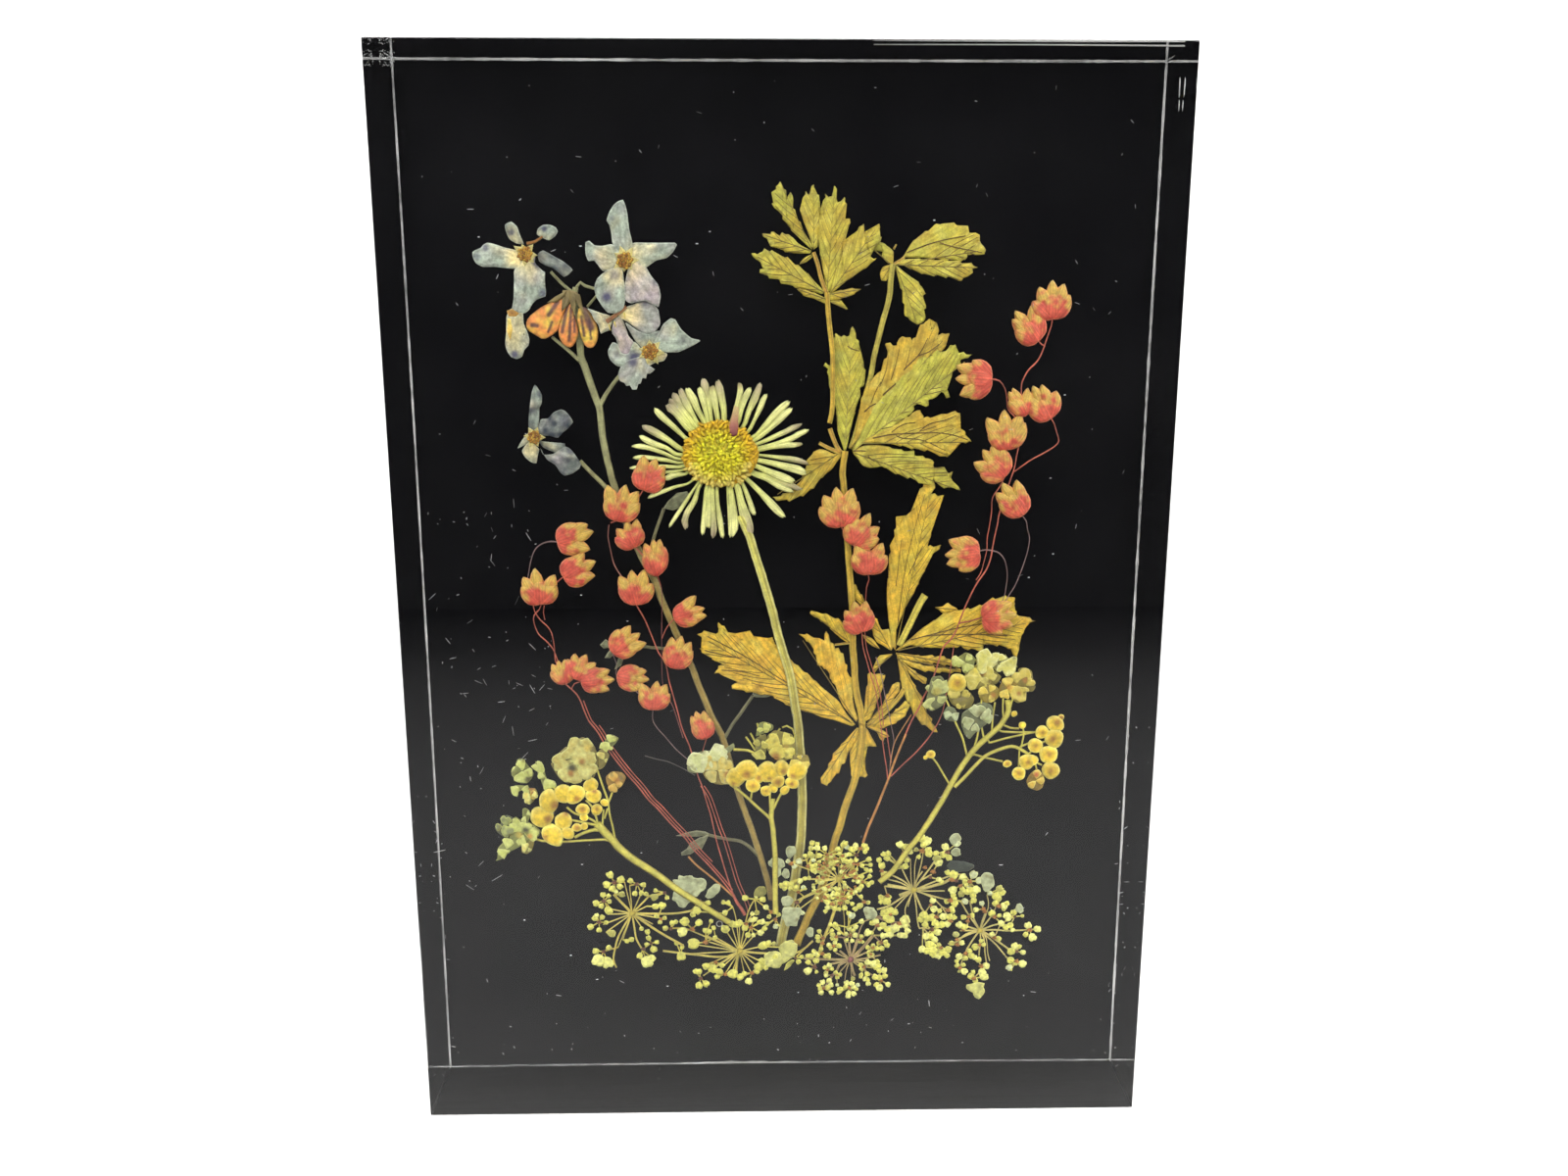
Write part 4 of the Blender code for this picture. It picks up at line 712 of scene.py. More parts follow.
# ================================================================ the blue-flowered plant
# A stalk with five pale blue flowers, three orange buds and four dull green ones. The petals dried
# thin and crumpled, with ink-blue spots, round a tight orange-brown eye with a yellow star.

PETAL_GREY, PETAL_LILAC, PETAL_PEACH = (0.36, 0.42, 0.33), (0.46, 0.38, 0.40), (0.80, 0.66, 0.30)
INK, STAR_YELLOW, EYE_ORANGE = (0.045, 0.045, 0.12), (0.80, 0.66, 0.16), (0.34, 0.13, 0.02)


def petal_paint(middle, spots, lilac, dark, peach):
    """A thin petal: peach by the flower's middle, grey-blue and lilac beyond, spotted with ink, and darkened
    by its dark share as painted shade for the black sheet seen through it.
    """
    def paint(points, along, inside):
        away = np.hypot(points[:, 0] - middle[0], points[:, 1] - middle[1])
        turn = np.arctan2(points[:, 1] - middle[1], points[:, 0] - middle[0])
        colour = mixed(PETAL_GREY, PETAL_LILAC, lilac + 0.3 * ripple(points, 2.6, 3))
        colour = mixed(colour, PETAL_PEACH, peach * (1.25 - away / 4.5) + 0.3 * ripple(points, 2.0, 8))
        streaks = np.array([noise.noise(Vector((math.cos(t) * 9, math.sin(t) * 9, a * 0.35)))
                            for t, a in zip(turn, away)])
        colour = colour * (1 + 0.42 * streaks + 0.16 * ripple(points, 0.55, 6))[:, None]
        rim = np.clip(1 - inside / 0.6, 0, 1) * np.clip(0.2 + ripple(points, 0.7, 5), 0, 1)
        colour = mixed(colour, (0.09, 0.10, 0.09), rim * 0.9)
        colour = mixed(colour, (0.62, 0.68, 0.56), 0.5 * np.clip(1 - inside / 0.16, 0, 1))
        for x, z, radius, share in spots:
            colour = mixed(colour, INK, share * near(points, x, z, radius))
        # Painted shade: the dark share darkens the petal towards black, for the black sheet seen through it.
        return mixed(colour, (0.02, 0.03, 0.045), dark * (0.75 + 0.5 * ripple(points, 1.1, 2)))
    return paint


def bud(piece, x, z, across, high, paint, lift, turn, fat, segments):
    """A flattened round bud or bead at a place, turned in its own plane."""
    bm = bmesh.new()
    bmesh.ops.create_uvsphere(bm, u_segments=segments, v_segments=max(4, segments // 2), radius=1.0)
    ball = np.array([tuple(v.co) for v in bm.verts])
    c, s = math.cos(turn), math.sin(turn)
    for vert in bm.verts:
        uneven = 1 + 0.16 * noise.noise(Vector((x + vert.co.x, z + vert.co.y, 0)))
        dx, dz = vert.co.x * across * uneven, vert.co.y * high * uneven
        vert.co = (x + dx * c - dz * s, piece.level - lift - max(0.0, vert.co.z) * fat * across
                   + max(0.0, -vert.co.z) * 0.1, z + dx * s + dz * c)
    points = np.array([(v.co.x, v.co.z) for v in bm.verts])
    depth = 1 - np.hypot(ball[:, 0], ball[:, 1])
    piece.gather(bm, paint(points, ball), (ball[:, 1] * high, ball[:, 0] * across, depth))


def ball_paint(middle, rim):
    """A bud's middle colour turning into its rim colour, lightly speckled. Where the rim colour is a dimmed
    copy of the middle one, the darker rim is painted shade.
    """
    def paint(points, ball):
        out = np.hypot(ball[:, 0], ball[:, 1])
        colour = mixed(middle, rim, np.clip((out - 0.55) / 0.4, 0, 1))
        return colour * (1 + 0.15 * ripple(points, 0.8, 3))[:, None]
    return paint


def laid(shape, x, z, long, half, turn, hook=0.0):
    """A shape drawn as shares along and across, laid at a place: this long, this wide to each side
    and turned. A hook bends its tip aside."""
    c, s = math.cos(turn), math.sin(turn)
    return [(x + long * u * c - (half * v + hook * u * u) * s,
             z + long * u * s + (half * v + hook * u * u) * c) for u, v in shape]


STAR_POINT = [(0.1, -0.3), (0.55, -0.42), (1.0, 0.0), (0.55, 0.42), (0.1, 0.3)]
GOLDEN_TURN = 2.399963      # from one floret to the next, which packs them evenly round a middle


def eye(piece, x, z, radius, lift, rays, seed):
    """The tight middle of a flower: orange-brown beads within a ragged yellow star."""
    rng = random.Random(seed)
    for k in range(rays):
        turn = 2 * math.pi * (k + rng.uniform(-0.2, 0.2)) / rays
        outline = laid(STAR_POINT, x, z, radius * rng.uniform(1.3, 1.9), radius, turn)
        piece.sheet(outline, lambda p, a, i: mixed(STAR_YELLOW, (0.5, 0.45, 0.2), a), 0.3, lift, 0.05, 0.3)
    beads = 26
    for k in range(beads):
        turn, out = k * GOLDEN_TURN, radius * 0.95 * math.sqrt((k + 0.5) / beads)
        colour = mixed(EYE_ORANGE, (0.70, 0.42, 0.05), [rng.random() ** 1.5])[0]
        # Each bead darkens to about a third of its colour at its rim: painted shade round it.
        bud(piece, *around(x, z, out, turn), radius * 0.20, radius * 0.26,
            ball_paint(colour, dimmed(colour, 0.35)), lift + 0.08, turn, 0.8, 6)


def flower(piece, middle, petals, laid_before=0):
    """The petals of a flower round its middle, each lying a little over the one before: an outline,
    the shares of lilac, dark (painted shade for the black sheet seen through the petal) and peach, and then
    its ink spots as (x, z, radius, share)."""
    for order, (outline, lilac, dark, peach, *spots) in enumerate(petals, laid_before):
        piece.sheet(smooth_route(trace(outline), 0.4, True), petal_paint(middle, spots, lilac, dark, peach),
                    0.4, 0.05 * order, 0.10, 0.5, 0.16)


blue_finish = plant_finish("thin_blue_petal", 0.6, 0.22, 0.25, (0.5, 1.6), 0.2)
A, B, C, D, E = (-41.8, 150.6), (-25.6, 149.6), (-27.2, 141.0), (-21.8, 135.0), (-41.5, 120.9)

left_flower = Pressed("blue_flower_left", 0)
flower(left_flower, A, [
    ("-432,1523 -11,7 -5,12 -1,10 10,5 9,-7 4,-12 6,-16", 0, 0.35, 0.9, (-43.9, 154.0, 0.8, 0.8)),
    ("-386,1530 -12,7 2,9 9,6 11,0 9,-4 3,-6 -5,-8 -10,-6", 0, 0.2, 0.5, (-38.6, 154.6, 0.7, 0.9)),
    ("-389,1512 19,-10 14,-8 11,-9 3,-4 -8,-8 -7,-3 -8,7 -11,8 -10,3 -10,7 -2,11", 0.2, 0.72, 0.2),
])
flower(left_flower, (-45.2, 138.8), [
    ("-446,1419 -7,-13 -1,-21 -3,-21 2,-12 7,-11 9,-3 9,4 4,11 7,7 2,10 -3,12 -6,16 0,20",
     0.1, 0.1, 0.9, (-44.2, 134.6, 0.9, 0.9), (-42.6, 137.2, 1.0, 0.3)),
], 3)
flower(left_flower, A, [
    ("-416,1504 -21,-24 1,-20 -2,-17 -4,-18 -2,-12 21,-1 8,6 6,10 10,8 11,3 1,11 -2,14 2,12 -8,7 -8,10"
     " 1,11",
     0.1, 0, 0.75, (-39.9, 149.2, 1.2, 0.85), (-39.2, 144.4, 1.0, 0.7), (-40.2, 146.8, 0.9, 0.25)),
    ("-419,1507 -11,-23 -20,0 -20,2 -18,0 -11,6 -4,9 0,8 4,3 6,0 7,8 8,4 13,-3 15,-5 14,-3",
     0.15, 0, 0.95, (-49.6, 150.2, 0.9, 0.5), (-48.2, 151.6, 0.8, 0.6)),
], 4)
left_flower.stalk(trace("-415,1523 13,3 13,8"), 0.5, 0.3, plain_paint(EYE_ORANGE, BROWN), 0.1)
left_flower.sheet(trace("-452,1416 9,3 11,-7 -5,-5 -12,0"),
                  lambda p, a, i: mixed((0.55, 0.30, 0.05), (0.20, 0.08, 0.02), 1.5 * i), 0.3, 0.35, 0.15)
left_flower.sheet(trace("-451,1404 -2,-22 5,-13 4,16 -1,18"),
                  lambda p, a, i: mixed(STAR_YELLOW, (0.75, 0.45, 0.08), a), 0.3, 0.33, 0.1)
eye(left_flower, *A, 1.25, 0.35, 7, 3)
left_flower.finish(blue_finish, "blue_petal", "blue_flower_left")

top_flower = Pressed("blue_flower_top", -1)
flower(top_flower, B, [
    ("-259,1499 -16,23 -2,16 -3,14 -4,7 5,13 7,11 8,6 7,2 4,-9 3,-14 2,-23 5,-23 -7,-12",
     0.05, 0, 0.35, (-26.2, 158.1, 1.2, 0.25), (-27.6, 156.2, 0.7, 0.35)),
    ("-259,1499 -16,22 -17,-2 -13,1 -8,7 -6,-2 -1,-12 1,-10 4,-8 9,1 5,-6 9,-11 14,3 10,8",
     0.1, 0, 0.45, (-29.0, 149.3, 0.9, 0.3)),
    ("-250,1499 7,24 23,1 25,0 21,0 3,-3 -6,-11 -11,-10 -17,-4 -17,-11 -13,1 -11,8", 0.1, 0, 0.4),
    ("-249,1489 -8,-29 -1,-25 10,-7 23,4 15,-7 7,-3 4,18 -4,18 -12,15 -8,14 -17,9",
     0.75, 0, 0.35, (-20.9, 145.9, 0.9, 0.35), (-25.2, 146.6, 0.6, 0.5), (-24, 142.9, 0.5, 0.6)),
    ("-263,1489 -25,-10 -14,-12 -5,-15 3,-14 9,-15 9,-10 13,-1 12,7 4,16 -1,25 -2,20",
     0.1, 0, 0.85, (-28.7, 143.8, 1.25, 0.95), (-27.4, 147.3, 1.3, 0.6)),
])
eye(top_flower, *B, 1.35, 0.32, 7, 5)
top_flower.finish(blue_finish, "blue_petal", "blue_flower_top")

middle_flower = Pressed("blue_flower_middle", 0)
flower(middle_flower, C, [
    ("-278,1403 -8,6 -14,4 -20,7 6,-8 4,-10 7,-9 4,-14 7,3 6,2", 0.25, 0, 0.8, (-29.2, 140.1, 0.5, 0.5)),
    ("-276,1404 -5,-21 7,-13 2,-10 3,-11 9,-7 7,2 7,11 1,10 -9,11 -6,19 -6,11", 0.95, 0, 0.35),
    ("-270,1406 12,15 13,5 19,6 14,-5 8,-9 3,-18 -1,-8 -10,-12 -13,-2 -13,7 -18,14",
     0.55, 0, 0.9, (-22.6, 143.0, 1.1, 0.5)),
])
middle_flower.stalk(trace("-289,1399 15,10 18,14"), 0.75, 0.5,
                    plain_paint((0.42, 0.16, 0.06), (0.65, 0.45, 0.2), 0.5), 0.3)
for x, z in [(-28.5, 139.4), (-27.6, 139.9), (-26.0, 141.3)]:
    middle_flower.stalk([(x, z), (x + 0.2, z - 0.9)], 0.3, 0.1, plain_paint(STAR_YELLOW, STAR_YELLOW), 0.3)
middle_flower.finish(blue_finish, "blue_petal", "blue_flower_middle")

right_flower = Pressed("blue_flower_right", -1)
flower(right_flower, D, [
    ("-242,1367 -16,30 20,-13 18,-6 17,6 -2,-16 -10,-6 -15,-6", 0.2, 0.35, 0.1),
    ("-216,1348 -8,-22 14,6 14,3 6,11 -15,6", 0.1, 0, 0.9),
    ("-228,1346 -16,20 -11,-20 -11,2 -6,14 -8,3 -8,-15 4,-14 12,-10 17,0 13,0",
     0.05, 0.1, 0, (-24.4, 133.9, 1.6, 0.95), (-27.4, 134.4, 0.7, 0.3)),
    ("-230,1342 -26,-6 -12,-12 -4,-12 3,-10 7,-3 3,-5 6,1 4,-7 7,0 3,9 4,1 3,9 6,-1 2,8 5,0 8,7 -9,6",
     0.25, 0.05, 0, (-24.6, 133.2, 1.2, 0.85)),
    ("-216,1354 14,28 6,12 13,10 7,-2 10,-16 16,-14 15,-4 -10,-7 -15,-7 -12,-5 -20,0",
     0.05, 0, 0.1, (-16.6, 136.6, 1.2, 0.2), (-18.6, 138.6, 0.9, 0.2)),
])
eye(right_flower, *D, 1.35, 0.35, 7, 8)
right_flower.finish(blue_finish, "blue_petal", "blue_flower_right")

low_flower = Pressed("blue_flower_low", 0)
flower(low_flower, E, [
    ("-410,1206 8,-4 17,-2 20,-2 -1,-10 -14,-5 -22,9", 0, 0.9, 0.3),
    ("-406,1190 4,-10 17,1 20,12 10,-5 9,-12 7,-13 -3,-7 -13,-9 -13,-3 -6,5 -8,13 -14,10",
     0.4, 0.74, 0, (-35.6, 118.5, 0.8, 0.6)),
    ("-410,1214 6,24 12,2 10,10 12,5 8,-3 7,-8 5,-10 -8,-10 -10,-8 -8,-8 -14,3",
     0.3, 0.86, 0, (-36.6, 123.6, 1.4, 0.5)),
    ("-415,1214 -9,11 1,20 3,20 3,18 6,13 6,-8 5,-9 -1,-14 -4,-7 -1,-16 -2,-14",
     0.15, 0.7, 0.2, (-40.5, 128.0, 0.7, 0.6), (-41.8, 125.4, 0.7, 0.6)),
    ("-416,1208 -13,-10 -8,-12 5,-11 10,-8 8,-2 3,13 3,11 -6,7", 0, 0.35, 1),
    ("-420,1213 -6,3 -10,-12 -8,-14 10,5 8,5", 0, 0.35, 0.5),
])
eye(low_flower, *E, 1.15, 0.38, 6, 11)
low_flower.finish(blue_finish, "blue_petal", "blue_flower_low")


def orange_bud_paint(stripes, yellow):
    """An orange bud with purple-brown stripes along the given lines and yellow patches."""
    def paint(points, along, inside):
        colour = mixed((0.76, 0.27, 0.06), (0.70, 0.50, 0.07), yellow + 0.7 * ripple(points, 1.3, 4))
        colour = mixed(colour, (0.30, 0.10, 0.04), np.clip(1 - inside / 0.3, 0, 1) * 0.7)
        for (x0, z0), (x1, z1), wide in stripes:
            way = np.array([x1 - x0, z1 - z0])
            at = np.clip(((points - (x0, z0)) @ way) / (way @ way), 0, 1)
            gap = np.linalg.norm(points - (np.array([x0, z0]) + at[:, None] * way), axis=1) / wide
            colour = mixed(colour, (0.07, 0.025, 0.03), np.clip(1.6 - 1.6 * gap, 0, 0.92))
        return colour * (1 + 0.25 * ripple(points, 0.6, 9))[:, None]
    return paint


def softened(outline):
    """An outline with its corners cut off."""
    cut = []
    for (x0, z0), (x1, z1) in zip(outline, outline[1:] + outline[:1]):
        cut += [(0.75 * x0 + 0.25 * x1, 0.75 * z0 + 0.25 * z1),
                (0.25 * x0 + 0.75 * x1, 0.25 * z0 + 0.75 * z1)]
    return cut


buds = Pressed("orange_buds", 1)
for order, (outline, paint) in enumerate([
    ("-336,1388 4,-18 7,-13 10,-2 7,7 4,14 -1,16 -7,13 -8,15 -14,4 -5,-19",
     orange_bud_paint([((-32.6, 142), (-31.6, 138.9), 0.9), ((-33.1, 140.6), (-32.7, 137.6), 0.35),
                       ((-31.8, 140.2), (-31.6, 137), 0.25)], 0.75)),
    ("-344,1442 -16,-6 -20,-6 -20,-10 -18,-14 -5,-12 3,-10 12,-7 13,-8 13,6 12,9 6,16 8,20",
     orange_bud_paint([((-38.4, 140.9), (-36.9, 143), 0.5), ((-41.2, 139.3), (-40.4, 139.2), 0.5),
                       ((-38.6, 138.2), (-37.9, 139.8), 0.3)], 0.25)),
    ("-348,1432 -20,-37 -2,-15 4,-14 8,-8 9,-2 8,10 5,14 -3,16 -5,22",
     orange_bud_paint([((-35.3, 142.6), (-36.3, 138.2), 0.42), ((-34.7, 142), (-35.2, 136.8), 0.38),
                       ((-34.2, 141), (-34.3, 138.2), 0.3)], 0.1)),
]):
    buds.sheet(softened(trace(outline)), paint, 0.3, 0.06 * order, 0.32, 1.6, 0.05)
for order, strip in enumerate(["-360,1449 4,-19 -7,-16 11,10 6,14 0,11",
                               "-350,1450 2,-26 6,-16 2,18 4,20",
                               "-344,1448 8,-24 10,-12 -4,16 -2,14",
                               "-372,1439 -7,-7 -7,-3 16,1 14,10 2,8"]):
    buds.sheet(trace(strip), plain_paint((0.20, 0.15, 0.05), (0.06, 0.04, 0.02), 0.4), 0.3,
               0.3 + 0.04 * order, 0.15)
buds.finish(plant_finish("orange_bud", 0.5, 0.10, 0.15), "orange_bud", "blue_flower_buds")

STEM_GREY, STEM_OLIVE, DULL_GREEN = (0.29, 0.29, 0.13), (0.34, 0.23, 0.045), (0.11, 0.115, 0.055)


def blue_stem_paint(points, along, side):
    """Grey-green at the top of the plant turning olive-brown lower down, paler on its two sides."""
    colour = mixed(STEM_OLIVE, STEM_GREY, (points[:, 1] - 88) / 32)
    colour = mixed(colour, (0.42, 0.42, 0.22), 0.35 * side ** 2)
    return colour * (1 + 0.22 * ripple(points, 1.2, 4))[:, None]


blue_stem = Pressed("blue_flower_stem", 3)
blue_stem.stalk(trace(
    "-336,1380 1,-38 5,-14 8,-26 9,-27 6,-17 2,-23 2,-25 4,-25 5,-25 7,-30 9,-35 12,-35 21,-50 13,-27 12,-23"
    " 8,-25 10,-25 10,-25 10,-25 10,-25 14,-30 10,-30 12,-30 11,-30 15,-30 6,-15 18,-70 10,-35 11,-35 9,-25"
    " 9,-30 9,-30 8,-30 6,-25 4,-25"), 1.2, 1.1, blue_stem_paint, 0, 6)
for route, width, end_width in [
        ("-340,1452 8,10 7,-5 19,-5 10,2", 0.4, 0.4),
        ("-305,1442 -17,-19", 0.35, 0.35), ("-340,1454 -2,-22 4,-42 2,-20", 0.9, 1.1),
        ("-380,1479 20,-21 14,-11", 0.4, 0.45),
        ("-382,1374 16,-13 14,-12 16,-15", 0.4, 0.6),
        ("-342,1168 17,-19 15,-15 14,-15 12,-12", 0.6, 0.8),
        ("-306,1260 9,17 12,17 13,16", 0.75, 0.55)]:
    blue_stem.stalk(trace(route), width, end_width, blue_stem_paint, 0.02, 4)
for route, width in [("-202,1086 -8,-21 -8,-22 -8,-28 -6,-26", 0.5),
                     ("-52,752 -11,-16 -12,-18 -13,-18 -10,-18 -6,-12", 0.5),
                     ("-133,492 18,-5 20,-4 20,-4 15,-10 11,-11 7,-8", 0.5),
                     ("-290,836 24,6 23,1 15,-2 15,-1 28,-5", 0.4)]:
    blue_stem.stalk(trace(route), width, width * 1.2,
                    plain_paint((0.17, 0.16, 0.07), (0.24, 0.23, 0.12)), 0, 3)


def sepal_paint(points, along, inside):
    """Dull green, paler along its edge."""
    colour = mixed(DULL_GREEN, (0.24, 0.25, 0.13), 0.5 + 0.9 * ripple(points, 0.9, 2))
    return mixed(colour, (0.30, 0.30, 0.17), np.clip(1 - inside / 0.22, 0, 1))


for order, outline in enumerate([
        "-203,1086 9,13 14,13 18,3 6,-9 -12,-16 -18,-8",
        "-53,753 4,12 6,15 8,12 11,8 9,-5 -11,-19 -14,-22",
        "-52,751 20,15 17,20 22,-8 -1,-11 -14,-7 -8,-7 -12,-4 -18,0",
        "-132,492 -8,-17 -6,-12 -18,5 -8,-2 6,10 16,10",
        "-129,492 -26,-4 -37,2 17,6 20,4 16,-2",
        "-156,470 -16,-4 -11,-8 1,-6 17,3 9,7",
        "-298,847 -10,9 -10,-10 6,-7 12,2", "-295,839 -8,-4 -8,-13 10,0 9,9",
        "-282,834 -5,-14 -7,-19 12,7 6,17", "-293,830 17,2 12,12 -16,5 -16,-3"]):
    blue_stem.sheet(trace(outline), sepal_paint, 0.4, 0.03 * (order % 3), 0.15, 0.8)
green_finish = plant_finish("green_stem", 0.55, 0.12, 0.2, (0.2, 5.0), 0.25)
blue_stem.finish(green_finish, "plant_stem", "blue_flower_stem")

# ================================================================ the ox-eye daisy
# A daisy head with long notched petals, cream with mauve tips, round a domed eye of some three
# hundred tube florets, on a ribbed stem. It was pressed face forward.

RAY_GREEN, RAY_CREAM = (0.66, 0.70, 0.17), (0.84, 0.84, 0.33)
RAY_MAUVE, RAY_MAROON = (0.30, 0.19, 0.18), (0.16, 0.025, 0.04)
DISC_X, DISC_Z, DISC_WIDE, DISC_HIGH = -10.6, 118.0, 6.1, 5.6


def ray_paint(tip_colour, reach):
    """Yellow-green at the foot, cream along and mauve or maroon at the tip, with fine grooves."""
    def paint(points, along, inside):
        colour = mixed(RAY_GREEN, RAY_CREAM, 1.3 * along)
        colour = mixed(colour, tip_colour, 0.85 * np.clip((along - 1 + reach) / reach, 0, 1))
        colour = mixed(colour, (0.36, 0.38, 0.16), 0.5 * np.clip(1 - inside / 0.14, 0, 1))
        return colour * (1 + 0.16 * ripple(points, 1.6, 2))[:, None]
    return paint


STRAP = [(0.0, -0.55), (0.2, -0.6), (0.42, -0.78), (0.66, -1.0), (0.82, -0.95), (0.92, -0.66), (0.97, -0.3),
         (0.94, -0.05), (1.0, 0.2), (0.95, 0.45), (0.92, 0.72), (0.82, 0.95), (0.66, 0.92), (0.42, 0.7),
         (0.2, 0.56), (0.0, 0.5)]
TIPS = [(RAY_CREAM, 0.2), (RAY_MAUVE, 0.5), (RAY_MAROON, 0.16)]
rays = Pressed("daisy_rays", 1)
rng = random.Random(4)
# Each row is a petal: its width, which tip it has, and the line along its middle.
for order, entry in enumerate((
        "12 1 -168,1185 -15,13 -22,13 -31,16;10 0 -174,1177 -22,13 -24,8 -20,13;"
        "8 0 -172,1170 -33,13 -28,9 -21,1;8 0 -170,1164 -40,8 -42,2;8 0 -168,1158 -47,1 -43,-3;"
        "7 0 -166,1152 -44,-4 -46,-8;9 0 -164,1146 -19,-2 -17,-7;7 0 -155,1131 -39,-11 -35,-15;"
        "10 0 -161,1205 -22,22 -22,19 -10,11;12 1 -159,1222 -17,24 -18,17;"
        "12 1 -153,1224 -21,31 -15,17;12 1 -146,1226 -22,31 -15,25;11 1 -142,1231 -19,35 -10,24;"
        "13 0 -131,1233 -15,30 -13,28;10 0 -125,1234 -6,32 -8,26;11 1 -120,1234 -6,46 -6,27;"
        "12 2 -107,1234 -7,38 -3,23;12 1 -96,1234 -2,25 -5,22 -5,23;"
        "9 2 -86,1234 10,25 7,31 -4,9;10 0 -74,1230 6,27 7,17 8,18;"
        "11 1 -66,1222 11,33 11,21 9,23;9 0 -58,1214 12,23 11,24 9,20;"
        "12 0 -48,1207 24,24 21,24 16,14;11 0 -46,1202 26,22 22,20 15,14;"
        "9 1 -44,1196 41,17 22,11 15,6;9 0 -44,1189 46,11 26,13 18,7;"
        "9 2 -44,1185 35,8 26,1 18,3;8 1 -44,1178 35,-4 39,-6 16,-7;"
        "13 0 -46,1170 33,-7 32,-8 23,-9;13 0 -46,1160 37,-16 31,-12;"
        "9 1 -54,1151 34,-11 33,-14 21,-7;9 0 -56,1147 30,-10 26,-15 20,-7;"
        "13 0 -62,1139 27,-26 24,-26 16,-17;9 0 -68,1131 11,-28 10,-29;"
        "17 1 -76,1130 6,-27 7,-29 10,-33;15 0 -89,1128 4,-36 2,-33 -5,-24;"
        "9 0 -111,1128 2,-36 4,-33 3,-25;10 1 -119,1128 1,-36 1,-33 -1,-24;"
        "12 0 -123,1129 -2,-26 -2,-33 1,-18;8 0 -128,1130 -3,-27 -3,-33 -2,-30;"
        "11 1 -140,1128 -10,-30 -15,-24 1,-24;7 0 -144,1128 -22,-32 -17,-26 -11,-16").split(";")):
    width, shade, places = entry.split(" ", 2)
    half, skew = float(width) / 18, rng.choice((-1, 1))
    places = trace(places)
    places.insert(0, (0.85 * places[0][0] + 0.15 * DISC_X, 0.85 * places[0][1] + 0.15 * DISC_Z))
    line = np.array(smooth_route(places, 0.3))
    outline = []
    for u, v in STRAP:
        row = u * (len(line) - 1)
        at = line[int(row)] + (row % 1) * (line[min(int(row) + 1, len(line) - 1)] - line[int(row)])
        way = line[min(int(row) + 2, len(line) - 1)] - line[max(int(row) - 2, 0)]
        off = skew * v * half * rng.uniform(0.85, 1.15) / np.linalg.norm(way)
        outline.append((at[0] - way[1] * off, at[1] + way[0] * off))
    rays.sheet(smooth_route(outline, 0.35, True), ray_paint(*TIPS[int(shade)]), 0.36, 0.07 * (order % 5),
               0.22, 0.4, 0.2, places[0])
rays.finish(plant_finish("daisy_petal", 0.55, 0.10, 0.12, (0.15, 4.5), 0.3), "daisy_rays", "daisy_rays")

disc = Pressed("daisy_disc", 0)
bud(disc, DISC_X, DISC_Z, DISC_WIDE, DISC_HIGH, ball_paint((0.66, 0.54, 0.02), (0.62, 0.36, 0.015)),
    0.0, 0, 0.15, 28)
FLORETS = 290
for k in range(FLORETS):
    turn, out = k * GOLDEN_TURN, math.sqrt((k + 0.5) / FLORETS)
    x = DISC_X + DISC_WIDE * out * math.cos(turn) + rng.uniform(-0.27, 0.27)
    z = DISC_Z + DISC_HIGH * out * math.sin(turn) + rng.uniform(-0.27, 0.27)
    lean = turn + rng.uniform(-0.8, 0.8)
    rise = 0.95 * math.sqrt(max(0.0, 1 - 0.9 * out * out))
    rim = (0.98, 0.78, 0.16) if math.sin(turn) < -0.35 else (0.96, 0.58, 0.015)
    middle = mixed((1.0, 0.88, 0.02), rim, [(out - 0.55) / 0.35])[0]
    if out < 0.4 and z > DISC_Z:
        middle = (0.86, 0.80, 0.03)
    glow = rng.uniform(0.72, 1.12)
    colour = tuple(min(1.0, c * glow) for c in middle)
    # Each floret darkens to half of its colour at its rim: painted shade between the florets.
    bud(disc, x, z, rng.uniform(0.27, 0.38), rng.uniform(0.34, 0.5) + 0.22 * out,
        ball_paint(dimmed(colour, 0.88), dimmed(colour, 0.5)), rise + rng.uniform(-0.1, 0.25),
        lean - math.pi / 2, 1.2, 8)


def folded_petal_paint(points, along, inside):
    """The one petal that folded over the eye: tan at its foot, then wine red and nearly black."""
    colour = mixed((0.60, 0.50, 0.20), (0.45, 0.16, 0.12), 1.6 * along)
    return mixed(colour, (0.13, 0.02, 0.025), 2.2 * along - 1.2)


disc.sheet(trace("-80,1262 -6,-24 -3,-13 1,-10 6,-6 7,4 2,15 -1,17 2,14"), folded_petal_paint,
           0.3, 1.05, 0.25, 0.5)
disc.finish(plant_finish("daisy_eye", 0.6, 0.10, 0.15), "daisy_disc", "daisy_disc")


def daisy_stem_paint(points, along, side):
    """Olive, paler up the stem, with a dark line off its middle that is painted shade for a groove, and a
    pale rib along each side.
    """
    colour = mixed((0.44, 0.37, 0.06), (0.62, 0.58, 0.12), (points[:, 1] - 70) / 30)
    # Painted shade along a groove off the middle.
    colour = mixed(colour, (0.20, 0.16, 0.03), 0.7 * np.clip(1 - abs(side - 0.3) / 0.25, 0, 1))
    colour = mixed(colour, (0.80, 0.80, 0.36), 0.8 * np.clip(1 - abs(abs(side) - 0.8) / 0.25, 0, 1))
    return colour * (1 + 0.2 * ripple(points, 1.4, 4))[:, None]


